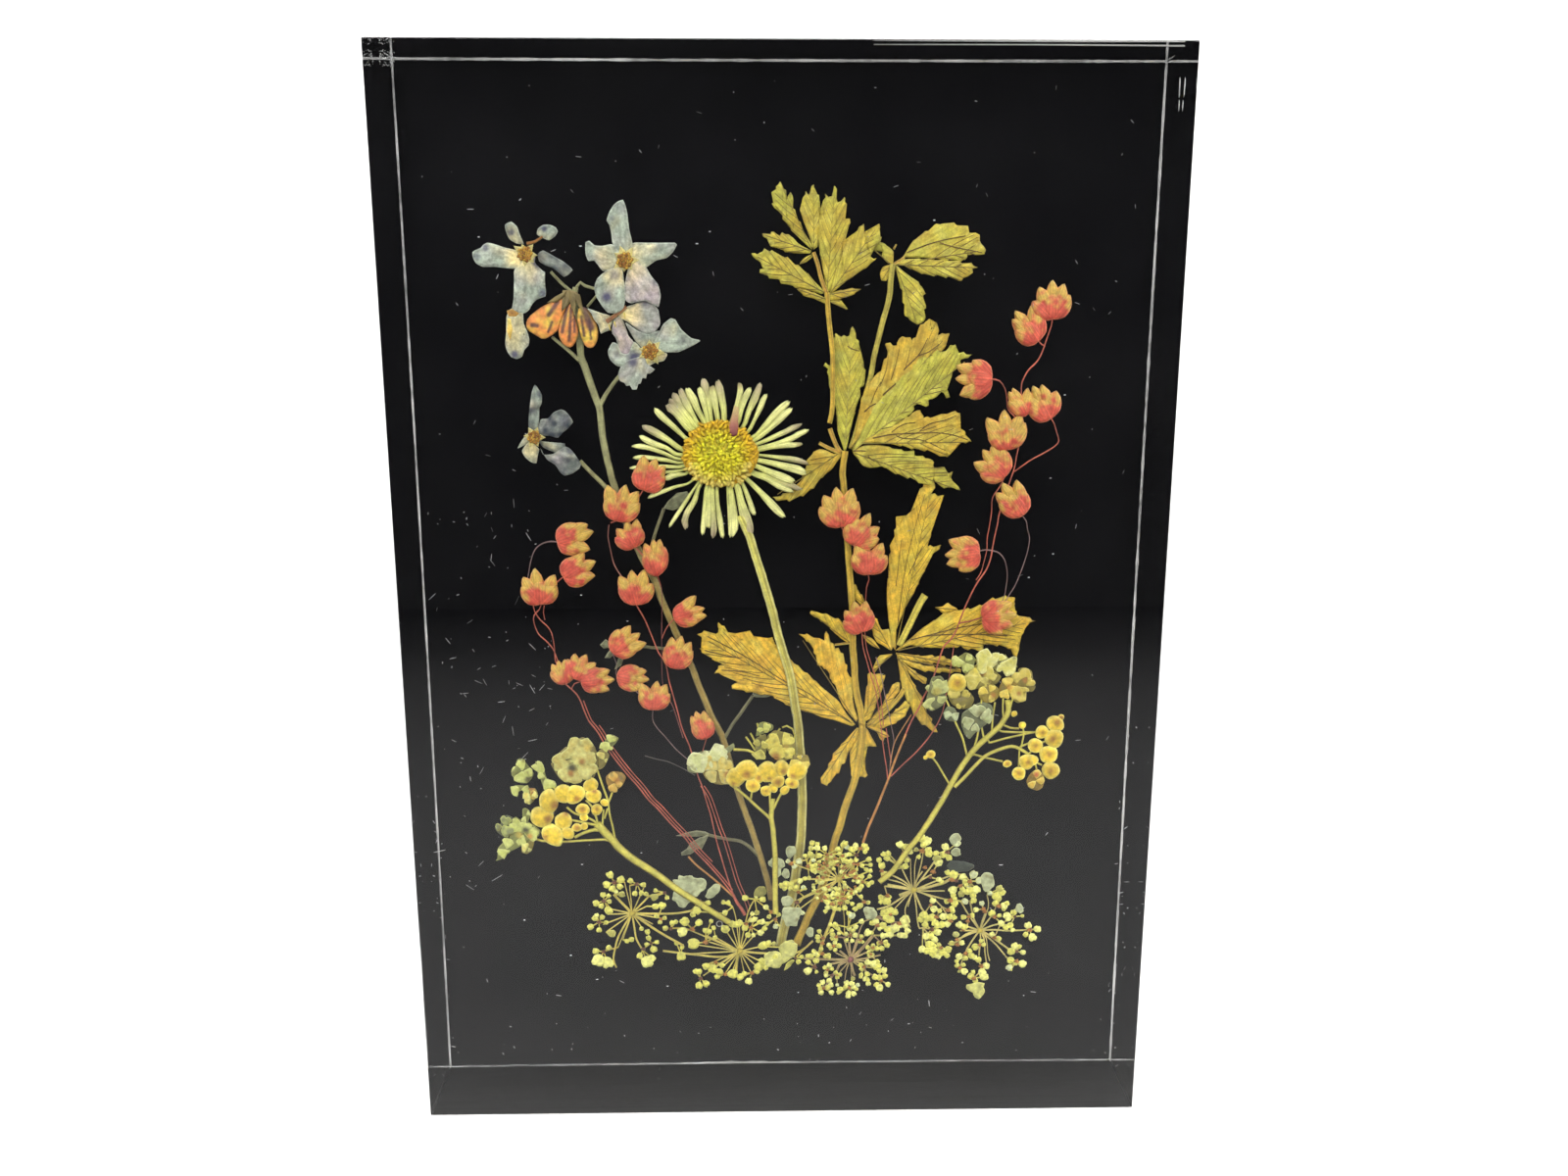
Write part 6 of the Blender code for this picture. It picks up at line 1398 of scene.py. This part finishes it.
def florets(text):
    """Petals and hearts of florets as x,z,size and a letter for the tone. The first x,z is a place and
    the others are steps, and all are in tenths of a millimetre."""
    rows, x, z = [], 0, 0
    for entry in text.split():
        tone = entry.lstrip("-,0123456789")
        step_x, step_z, size = map(int, entry.removesuffix(tone).split(","))
        x, z = x + step_x, z + step_z
        rows.append((x / 10, z / 10, size / 10, tone))
    return rows


def lace_paint(tone, heart):
    """A small petal: its tone, greener and darker towards the heart of its floret as painted shade where the
    petals meet, and lighter and darker in small patches as painted light and shade on its crumples.
    """
    def paint(points, along, inside):
        away = np.hypot(points[:, 0] - heart[0], points[:, 1] - heart[1])
        # Painted shade: the tone dimmed towards the floret's heart.
        colour = mixed(tone, dimmed(tone, 0.62), np.clip(0.9 - away / 0.8, 0, 1))
        colour = mixed(colour, LACE_BRIGHT, 0.45 * np.clip(1 - inside / 0.16, 0, 1))
        return colour * (1 + 0.30 * ripple(points, 0.45, 3))[:, None]
    return paint


def lace_petal(piece, x, z, size, tone, heart, order):
    """A round petal with a notch in the edge that faces away from the heart of its floret."""
    rng = random.Random(int(x * 77 + z * 131))
    facing = math.atan2(z - heart[1], x - heart[0])
    outline, corners = [], 13
    for k in range(corners):
        turn = 2 * math.pi * k / corners
        notch = 0.42 * math.exp(-(min(turn, 2 * math.pi - turn) / 0.42) ** 2)
        reach = 0.84 * size * (1.08 - notch + 0.10 * math.cos(2 * turn) + rng.uniform(-0.10, 0.10))
        outline.append(around(x, z, reach, facing + turn))
    piece.sheet(outline, lace_paint(TONES[tone], heart), max(0.36, 0.5 * size), 0.05 + 0.05 * (order % 6),
                0.16, 0.4, 0.08, heart)


def floret_heart(piece, x, z, size, tone, rng):
    """Six tiny beads, each a little lighter or darker than the next."""
    for k in range(6):
        turn = k * BEAD_TURN
        colour = dimmed(TONES[tone], rng.uniform(0.6, 1.3))
        # Each bead darkens to about half its colour at its rim: painted shade round it.
        bud(piece, *around(x, z, 0.42 * size * math.sqrt(k / 5), turn), 0.30 * size + 0.06,
            0.25 * size + 0.06, ball_paint(colour, dimmed(colour, 0.55)), 0.28, turn, 0.9, 8)


def umbel(name, band, middle, rays, entries, big, mass=None, ray_colour=RAY_GOLD,
          middle_colour=RAY_GOLD):
    """One umbel: rays from its middle, as width:route (with a + the route has its own start), hearts
    of florets with their petals, a mass of more petals, and big petals with their tones."""
    piece = Pressed(name, band)
    marks = florets(entries)
    hearts = [(x, z) for x, z, _, tone in marks if tone in HEARTS]
    ends = [middle]
    for row in rays.split(";"):
        width, places = row.split(":")
        route = trace(places)
        ends.append(route[-1])
        if not width.startswith("+"):
            route.insert(0, middle)
        piece.stalk(route, float(width) / 18, float(width) / 20,
                    plain_paint(ray_colour, (0.70, 0.62, 0.18), 0.25), 0.0, 3, 0.6, 0.6)
    rng = random.Random(len(marks))
    if mass:
        x, z, wide, high, count = mass
        for _ in range(count):
            turn, out = rng.uniform(0, 2 * math.pi), math.sqrt(rng.uniform(0.12, 1))
            tone = rng.choice(["", "", "b", "v", "o", "o"])
            marks.append((x + wide * out * math.cos(turn), z + high * out * math.sin(turn),
                          rng.uniform(0.32, 0.55), tone))
    for order, (x, z, size, tone) in enumerate(marks):
        end = min(ends, key=lambda place: math.dist(place, (x, z)))
        if tone in HEARTS:
            if math.dist(end, (x, z)) > 0.9:
                piece.stalk([end, (x, z)], 0.22, 0.18, plain_paint(ray_colour, ray_colour, 0.3), 0.0, 2, 0.9)
            floret_heart(piece, x, z, size, tone, rng)
            continue
        choices = [heart for heart in hearts if math.dist(heart, (x, z)) < 2.4] or [end]
        heart = min(choices, key=lambda place: math.dist(place, (x, z)))
        if math.dist(heart, (x, z)) > 0.5:
            piece.stalk([heart, (x, z)], 0.2, 0.16, plain_paint(ray_colour, LACE, 0.3), 0.03, 2, 0.9)
        lace_petal(piece, x, z, size, tone, heart, order)
    for outline, tone in big:
        points = np.array(smooth_route(trace(outline), 0.35, True))
        points += (points - points.mean(0)) * (0.16 * ripple(points, 0.9, 5))[:, None]
        # The big petals mix their tone and the tone dimmed by half over their crumples: painted light and
        # shade.
        piece.sheet([tuple(corner) for corner in points],
                    crumple_paint(dimmed(TONES[tone], 0.5), TONES[tone]), 0.36, 0.32, 0.14, 0.5, 0.24)
    # The rays leave a small knob of beads at the umbel's middle, each darkened to half its colour at its rim
    # as painted shade.
    for k in range(9):
        bud(piece, middle[0] + 0.35 * math.cos(k * BEAD_TURN) * (k / 8),
            middle[1] + 0.35 * math.sin(k * BEAD_TURN) * (k / 8), 0.42, 0.34,
            ball_paint(middle_colour, dimmed(middle_colour, 0.5)), 0.15, k, 0.7, 8)
    return piece.finish(lace_finish, "lace_floret", name)


lace_finish = plant_finish("dry_lace", 0.55, 0.12, 0.18)
umbel("umbel_far_left", -2, (-27.2, 35.1),
      "8:-304,388;6:-200,350 35,5;7:-225,315 45,-28;6:-285,330 -13,-25 -7,-25 -3,-20 5,-15;"
      "6:-268,320 3,-20 10,-20;3:-284,412;3:-275,405;3:-273,380;3:-250,400;5:-240,385;3:-245,365;"
      "3:-310,360;3:-315,350;3:-325,330;3:-320,315;3:-299,285;3:-290,300;3:-253,320;3:-235,330;3:-225,342",
      "-302,412,7n -8,14,8 20,-9,8 -27,-10,8 10,-8,7 15,4,7 30,5,6n -12,6,6 24,-8,6 -16,-17,6 12,1,6"
      " 8,-1,5 -76,-13,6n -15,-5,7 14,17,6 10,-2,5 1,-11,5 -15,-9,6 13,-10,9 -18,-21,6n -8,7,6 -8,-17,7"
      " 16,-6,6 13,15,5 -7,10,6 17,-32,9v -16,-35,6n -15,1,7 25,7,6 -20,-26,14b 16,-5,13b 37,42,5 8,4,6"
      " 18,21,5 11,-6,6 2,-12,6 4,-10,4n 11,1,5 -19,-4,5 13,-10,8 -19,2,6n 6,-27,13b -13,12,7 23,-5,8b"
      " 17,78,5o -2,-7,5 9,9,5 -15,4,5 -1,18,7 12,2,8 -15,16,8v 3,13,5 17,-4,5n 4,-10,5 -81,7,7v"
      " 139,-15,8n 16,-3,6 -21,-15,9 -7,-8,6 58,2,5 -196,44,5b -36,-45,5b", [
          ("-195,414 10,10 15,0 16,-2 15,-7 0,-12 -9,-10 -9,-11 -6,-10 -15,-6 -14,3 -6,11 4,12 6,6"
           " -5,8", "w"),
          ("-140,382 7,14 9,9 12,-1 -2,-11 -9,-10 -11,-3", "w")])
umbel("umbel_left", -1, (-7.8, 27.3),
      "6:-90,264 -30,-2 -40,5 -58,8;10:-82,260 -3,-25;6:-30,268 56,1 30,23;4:-63,346 13,29;3:-84,335 -6,25;"
      "3:-178,320;3:-163,313;3:-140,305;3:-134,292;3:-122,301;3:-160,287;3:-185,268;3:-140,246;3:-128,240;"
      "3:-118,234;3:-145,225;3:-104,230;3:-92,232;3:-70,230;3:-58,232;3:-44,240;3:-35,250;3:-38,282;"
      "3:-50,305;3:-60,312;3:-78,328;3:-92,322;3:-104,316",
      "-203,319,6n -10,0,6 13,11,6 7,2,5 15,1,10 -5,-21,11b 19,6,8o 13,12,8 11,-15,6 7,-2,6 4,20,5 4,-13,5"
      " -38,-32,12 -22,-25,10 -8,27,5 10,-8,5 43,10,8o 18,9,5 18,16,9 14,10,8 10,-2,6 -60,-81,8 12,-6,10"
      " 12,-5,8 -6,19,6o 12,-7,6 -40,-25,6n -9,14,6 7,0,6 -1,-29,8 13,3,8 20,14,6 15,6,6o 15,0,11 12,-6,8"
      " 8,6,6 14,2,6o -6,-18,8b 20,30,10 -4,-10,6 13,18,7 4,-8,5 -6,41,10 10,5,7 10,-1,5v -23,-33,7"
      " -7,-12,8 15,-3,5 60,11,6 6,10,5 -12,-1,4n -126,58,8 9,11,7 9,-2,8 6,4,6 10,-11,8 5,-15,6 10,0,5b"
      " 14,5,7b 7,9,6 -4,12,7b 8,-4,5 -14,4,5 30,-9,6w 6,2,3 -18,17,5 11,-4,6o -17,23,6b 10,-9,6o 14,-6,5"
      " -40,4,6v -10,-14,5b 2,12,5b -12,-19,6o 9,-7,6o 7,16,6b 3,45,5b 12,-6,7 -72,-6,5 9,0,5 30,8,7"
      " -36,-28,6b 84,-97,7b 8,10,6 14,18,6b 10,-12,7", [
          ("-32,249 1,16 7,7 12,1 8,-3 4,-10 6,-8 -11,-12 -11,-1 -11,4", "b"),
          ("-6,275 3,11 9,6 14,1 7,-7 3,-10 -7,-10 -6,-6 -9,-7 -10,2", "b"),
          ("3,234 4,12 9,10 7,-1 -7,-12 -7,-8", ""),
          ("-51,380 2,14 7,6 9,0 4,-10 -4,-8", "v")])
umbel("umbel_middle", -2, (10.2, 41.4),
      "3:90,440;3:102,452;3:125,440;3:130,390;3:112,343 1,-38;3:120,340 0,-20;3:75,440;3:68,410;3:76,385;"
      "3:100,372;3:135,420;+10:97,364 -3,-12 -5,-17 -5,-15 -6,-15 -6,-18 -4,-15;3:20,370 40,18;3:60,450;"
      "4:30,415;3:20,445 25,7;3:15,345 25,35",
      "54,484,6 -2,-10,6 11,8,5 -1,-7,7b -21,-15,5 9,4,6 4,-5,6v 12,0,6 -10,-8,5w -10,-11,6o 8,-1,6 6,3,5"
      " -2,-12,5w 18,44,6b 4,-12,5o 20,10,6 3,-9,5 9,20,7 3,-7,6w -7,4,5 15,-8,6 3,-3,5 5,10,6b 1,-7,4"
      " 8,1,6o 9,3,7 3,-4,5 -6,7,5 3,-13,5 -16,-5,6n -13,0,5 -6,-1,5b -4,-8,6 13,-2,5 10,1,5 -4,-7,6o"
      " 7,-1,5o 8,-4,5 12,13,6 3,-11,5 -7,-9,5 7,-2,5 -1,-11,5 -14,0,5 -8,-10,5b 9,0,4o -2,-9,5 -4,-6,6"
      " 17,8,5 6,5,5 -80,-48,6b -4,-7,5 10,8,4 7,-3,6 8,-2,5 10,2,6 7,-9,5 6,-4,8w 6,12,6 8,6,7 8,8,6o"
      " 8,-2,5 -14,12,5 -19,-1,5 -5,-9,5 9,-4,5 -18,11,5o -9,-8,5 -9,9,5 -11,-8,5 64,-38,6b -48,-6,6"
      " 5,-8,5 -11,-4,5 -3,12,5 -20,-13,5 -3,-11,6 10,-2,6o -9,-6,5 8,-4,6o -2,-12,5 2,-9,6o -13,0,6b"
      " -3,5,5 -11,-10,5 6,0,6 12,1,5 15,-2,5 6,3,5 0,-5,4 -69,184,7o -6,4,5w 20,0,7w -8,-10,6w -24,-36,6"
      " 8,3,7 -2,-9,6 12,8,6 -2,-8,5 10,2,6 8,13,6b 9,4,5 -12,-26,5o 9,9,5w 3,-3,4 -15,-26,7n 11,-21,5w", [
          ("5,473 7,6 10,-1 3,-10 -5,-9 -7,-5 -5,8", "w"),
          ("-25,450 9,6 10,1 8,-6 1,-11 -4,-5 -1,-11 -7,-4 -8,4 1,12 -8,6", "w"),
          ("-2,425 7,-7 8,-1 1,9 -3,8 -8,1", "w"),
          ("-2,372 3,9 8,3 7,-4 4,-6 -4,-9 -7,-3 -8,3", "w"),
          ("-1,352 3,8 12,1 12,0 9,-1 1,-10 -6,-7 -3,-8 -1,-10 -8,-3 -9,2 -6,8 -4,10", "w"),
          ("43,309 3,11 5,3 5,-4 0,-15 -7,-1", "w"),
          ("148,347 0,9 6,5 12,-1 6,-7 -1,-11 -6,-6 -10,-1", "w")], mass=(9.4, 41.4, 4.6, 5.0, 140))
umbel("umbel_low", -1, (12.5, 25.4),
      "7:85,255 -45,3;11:145,275 21,27;6:140,295;8:122,289;6:105,272;4:112,298;7:104,243 -4,-11;"
      "8:130,230 3,-8;3:118,235 -3,-22;4:150,256 30,7;4:153,268;5:140,248 8,-4;6:90,246;3:98,268;3:135,286;"
      "3:128,212;3:106,230;3:160,250;3:152,232;4:144,320 11,12 15,6",
      "93,282,5o -8,1,6b 11,5,5b 8,-6,6 -7,-8,5 -9,4,5 10,22,5o -7,4,6 7,-10,5 6,13,5b -13,-10,5 33,6,5o"
      " -2,13,6b -6,-11,5b 1,-13,5 11,-1,5b 5,12,6b -4,9,5 5,7,6b 9,-26,4o 1,7,5 -3,-11,4 6,0,4 9,19,8b"
      " 7,-2,5 3,-28,5o -10,0,5 10,4,5 7,-6,6 9,0,6 -18,-3,5 16,15,6o -4,-2,5 16,-4,6 -3,7,5 -5,13,7b"
      " -22,-37,4o -4,3,5 7,-5,5 -6,-1,4 -113,-30,9b 13,9,7n -12,8,6 15,4,7 1,-23,4 20,4,4o -5,5,5 8,5,6b"
      " 5,-8,5 -11,-8,5 0,-5,5b 20,2,4o -2,4,5 8,-4,5 -5,-6,5 -10,5,5n -15,-26,5o -2,12,6b -7,-6,5 2,-7,5"
      " 2,-9,6b 13,11,6 6,5,6b -4,8,6b 5,-23,6b 10,15,4w 5,-10,7 -2,-5,5 19,10,5o -5,9,6b 10,-1,6b"
      " -12,-6,5 16,-2,6b 4,-4,5 -14,-8,6b -1,-6,6b 11,5,6b 7,18,5w -9,12,5v 14,27,6 6,-3,6o -5,-5,5"
      " 12,14,7b 10,-3,8b 7,3,6 3,-8,6 -5,-4,5 6,-5,6 9,1,7b -31,-8,6 -11,-2,5 -1,-4,4 9,-4,6b 5,-9,6b"
      " -1,8,5 13,6,7 8,-2,7 4,-6,5o 7,9,6 -16,-18,6 6,-6,8b 16,7,6b -9,141,10 10,4,10 1,-6,5o 9,4,7"
      " -10,-14,10 -7,3,8 -19,-7,8b 3,-7,7o -10,4,6 39,-2,6n 11,2,8o 11,6,11b -10,-12,7b 12,0,7b 3,-10,7b"
      " -5,-9,7b -8,1,7b -11,14,11b -9,-13,9b -3,9,8 -9,9,8 -6,-5,6b", [],
      ray_colour=RAY_BROWN, middle_colour=(0.26, 0.09, 0.08))
umbel("umbel_right", -2, (23.8, 39.2),
      "6:220,397 -30,6;4:185,400;9:212,382;5:220,380 -26,-18 -22,-7;3:223,378 -20,-23;"
      "3:223,355 6,-25 4,-11;3:233,380 -5,-20;4:243,360 3,-28 4,-15 6,1;6:253,356 6,-9;3:270,378 20,-19;"
      "4:260,384 34,-10;3:260,390 34,0;9:260,396 20,6 15,5 20,15;5:246,405 16,23 13,20;4:242,410 11,18;"
      "3:239,410 0,30 3,15;3:233,410 -2,40;4:227,410 -12,25;4:220,409 -22,12;3:215,406 -20,6;"
      "4:248,408 22,14;4:250,440 4,30;4:315,422 25,-14",
      "211,480,8b 11,-4,7 8,-10,7b -11,-2,7o 5,-15,6 21,7,5 -23,-18,7 -12,-1,6 -4,3,5 -32,11,6 8,11,6"
      " 8,2,6 -2,-10,7 -9,-14,8 0,-10,6o 5,-7,8 -1,-5,8o 67,74,9 10,-6,10b -6,-7,7 -3,-11,8o 12,1,7 1,-7,8"
      " 12,1,6 2,-12,9v 4,-6,9b -10,-17,8o -15,8,6o 10,-19,5n 47,65,8w -21,-7,8b -3,-15,8 10,-7,7 -3,12,7n"
      " 1,-39,6 12,-4,10 -4,-10,8o 8,-2,6n 13,7,8b 3,-10,6 -47,5,6b 4,-5,6 52,1,7o 7,13,9w 11,-12,8w"
      " -5,-18,9b -13,-2,9 -7,-1,6 14,-8,7 1,-10,7 -15,-1,7w -8,14,7v -16,8,9b 2,-9,6 -6,-10,8o -6,-3,6"
      " 15,-4,8 0,9,5 -5,-18,6 -35,16,7b -4,-9,5o 7,-9,8b 10,-3,5 15,2,7o 9,-3,5 -54,-7,9 -4,-9,8 11,2,8"
      " 9,2,9 8,2,7o 13,0,8b 11,0,8 9,-2,6 -7,-6,7o -6,-7,8b -10,-1,8 -12,3,8 4,-6,6 -22,3,7 12,-9,7n"
      " 12,-6,8b -7,1,6 -15,-9,8b 9,0,7 7,-6,7b -9,-10,9 7,-2,6 -20,-8,8b 9,-3,8 9,1,9 12,11,5 4,-5,5o"
      " 4,-5,6 10,1,8 -7,-8,5 5,-4,6 -17,-1,8b -9,3,8 7,6,6v 7,-5,6 -100,116,7o -1,-12,9 -11,8,6 16,0,5"
      " -16,-9,5 62,101,5v 93,-70,5 -11,0,6o 4,-7,6", [
          ("300,490 6,10 10,0 5,-10 -4,-10 -11,-2", "w"),
          ("304,468 6,6 10,-4 1,-10 -9,-4 -8,4", "w"),
          ("358,413 3,8 9,3 9,-5 5,-9 0,-8 -4,-9 -8,-4 -8,2 -4,11", "w"),
          ("295,437 10,10 20,1 17,-6 3,-7 -10,-7 -20,-2 -15,2", "g")], ray_colour=RAY_DULL)
umbel("umbel_far_right", -1, (36.1, 31.0),
      "4:339,342 -14,24 -6,4;5:349,334 -6,26 -3,9;7:366,330 5,15;4:376,330 5,8;4:385,320 14,3;"
      "4:390,311 20,-2 31,1;5:375,303 41,-31;4:378,295 17,-17 17,-22;4:369,295 3,-30 4,-23;"
      "3:373,295 4,-30 4,-15;4:363,295 -2,-35;5:350,294 -12,-22;5:342,303 -14,-7;4:336,303 -17,-15 -16,-4;"
      "4:340,310 -15,0;4:338,318;3:385,345 5,21;3:375,355 -3,25",
      "340,338,6o -10,-2,6 16,3,6 -8,-10,6o -15,-7,8b 10,-4,7 -3,-6,5o -11,-19,5o -9,-8,6 10,-2,7o 9,3,6b"
      " 23,65,6b 11,12,6w 3,-11,7o 3,-5,6o 26,45,8v -18,-9,6w 10,-4,9 12,5,8 -6,-12,7 -6,-9,7 7,-5,8o"
      " 10,0,8b 5,5,6 -5,-12,5 -22,-8,8 5,-6,7o 9,2,5 13,0,8b 2,-6,7b 11,12,7 2,-8,4n 14,1,4 -38,-15,7b"
      " 16,-4,7 -7,-3,7 12,-6,5b 28,9,8b 3,-8,7o 15,1,8b -22,-11,6 13,-6,9b -74,7,6b 4,-6,6o 8,-3,6"
      " 30,-14,8b 9,-1,5 -16,-10,8 11,0,5n 12,-2,6b -23,-16,8 11,-1,7o 12,-6,9b -13,1,5 -12,-9,7w 4,-4,3"
      " -57,59,5 -11,-13,8 8,5,5o 8,0,5 -33,-17,7o 8,4,6 -20,-11,8b -4,-8,5 16,5,6 11,5,7 6,-4,6b 7,-4,7"
      " -39,-11,6 5,-4,6o 7,5,5 2,-13,8b -10,-1,3 50,11,8b -10,1,7o 3,-14,9b 4,-8,9b -21,10,5 -4,-9,8"
      " 6,-4,7o 3,-5,6", [
          ("310,302 3,6 8,0 3,-5 -4,-6 -7,1", "b"),
          ("424,350 4,10 5,2 5,-6 1,-8 -6,-5", "w"),
          ("342,202 10,3 11,3 11,-2 -6,-4 4,-7 2,-8 -4,-8 -7,-4 -7,4 -5,8 -6,3 -4,5", "b")],
      ray_colour=RAY_DULL)

# ================================================================ the flecks in the casting
# Specks of dust, hair-fine scratches and one round air bubble that were caught in the acrylic when
# it was cast, scattered a little in front of the plants.

flecks = Pressed("casting_flecks", -3.6)
rng = random.Random(12)
# Each is x,z,length in tenths of a millimetre, and its turn in degrees.
SEEN_FLECKS = (
    "-370,1511,10,20 -326,1518,5,0 -489,1532,4,0 -500,1575,12,0 -420,1590,5,40 -462,1470,10,65 -138,1522,5,0"
    " -117,1541,4,0 246,1559,4,0 471,1279,4,0 -344,941,4,0 -266,895,4,0 423,969,4,0 453,1140,4,0 463,1010,4,0"
    " 270,171,15,97 -338,225,5,10 -210,210,4,0 -465,343,4,0 -252,470,4,0 -358,449,4,0 -384,273,4,0"
    " 249,307,3,0 393,442,9,2 187,256,7,92 29,195,3,0 444,185,3,0 631,1762,34,91 632,1735,20,90")
marks = []
for row in SEEN_FLECKS.split():
    x, z, long, turn = map(int, row.split(","))
    marks.append((x / 10, z / 10, long / 10, turn, 1.0))
# Each field of scattered flecks is from x to x, from z to z, how many and how long.
for low_x, high_x, low_z, high_z, count, longest in [
        (-60, 60, 4, 178, 200, 1.0), (-60, 60, 1, 14, 60, 0.5), (-60, -40, 70, 110, 60, 1.8),
        (-62, -40, 40, 70, 25, 2.2), (-63, -60.6, 178.8, 181.3, 60, 0.5), (-62.8, -60.5, 3, 60, 30, 0.9),
        (60, 62.8, 2, 70, 40, 0.9)]:
    for _ in range(count):
        long = longest * rng.choice([0.14, 0.2, 0.3, 0.5, 0.8, 1.0]) * rng.uniform(0.8, 1.2)
        marks.append((rng.uniform(low_x, high_x), rng.uniform(low_z, high_z), long, rng.uniform(0, 180),
                      rng.uniform(0.05, 0.6)))
for x, z, long, turn, glow in marks:
    tint = dimmed((0.78, 0.80, 0.80), glow)
    bud(flecks, x, z, max(0.08, 0.5 * long), 0.075 if long < 0.6 else 0.045, ball_paint(tint, tint), 0,
        math.radians(turn), 0.4, 6)
# The air bubble shows as a fine ring of light.
for k in range(24):
    turn = 2 * math.pi * k / 24
    bud(flecks, *around(-11.4, 33.2, 0.52, turn), 0.09, 0.07, ball_paint((0.6, 0.6, 0.5), (0.4, 0.4, 0.35)),
        0, turn + 1.57, 0.7, 6)
# A hair-fine scratch runs just under the top of the block, nearer its front.
flecks.level = -9.6
flecks.stalk([(14, 181.55), (40, 181.6), (62, 181.5)], 0.04, 0.16,
             plain_paint((0.5, 0.5, 0.48), (0.4, 0.4, 0.38)), 0, 2)
flecks.finish(plant_finish("casting_fleck", 0.5, 0.05, 0.1), "clear_block")
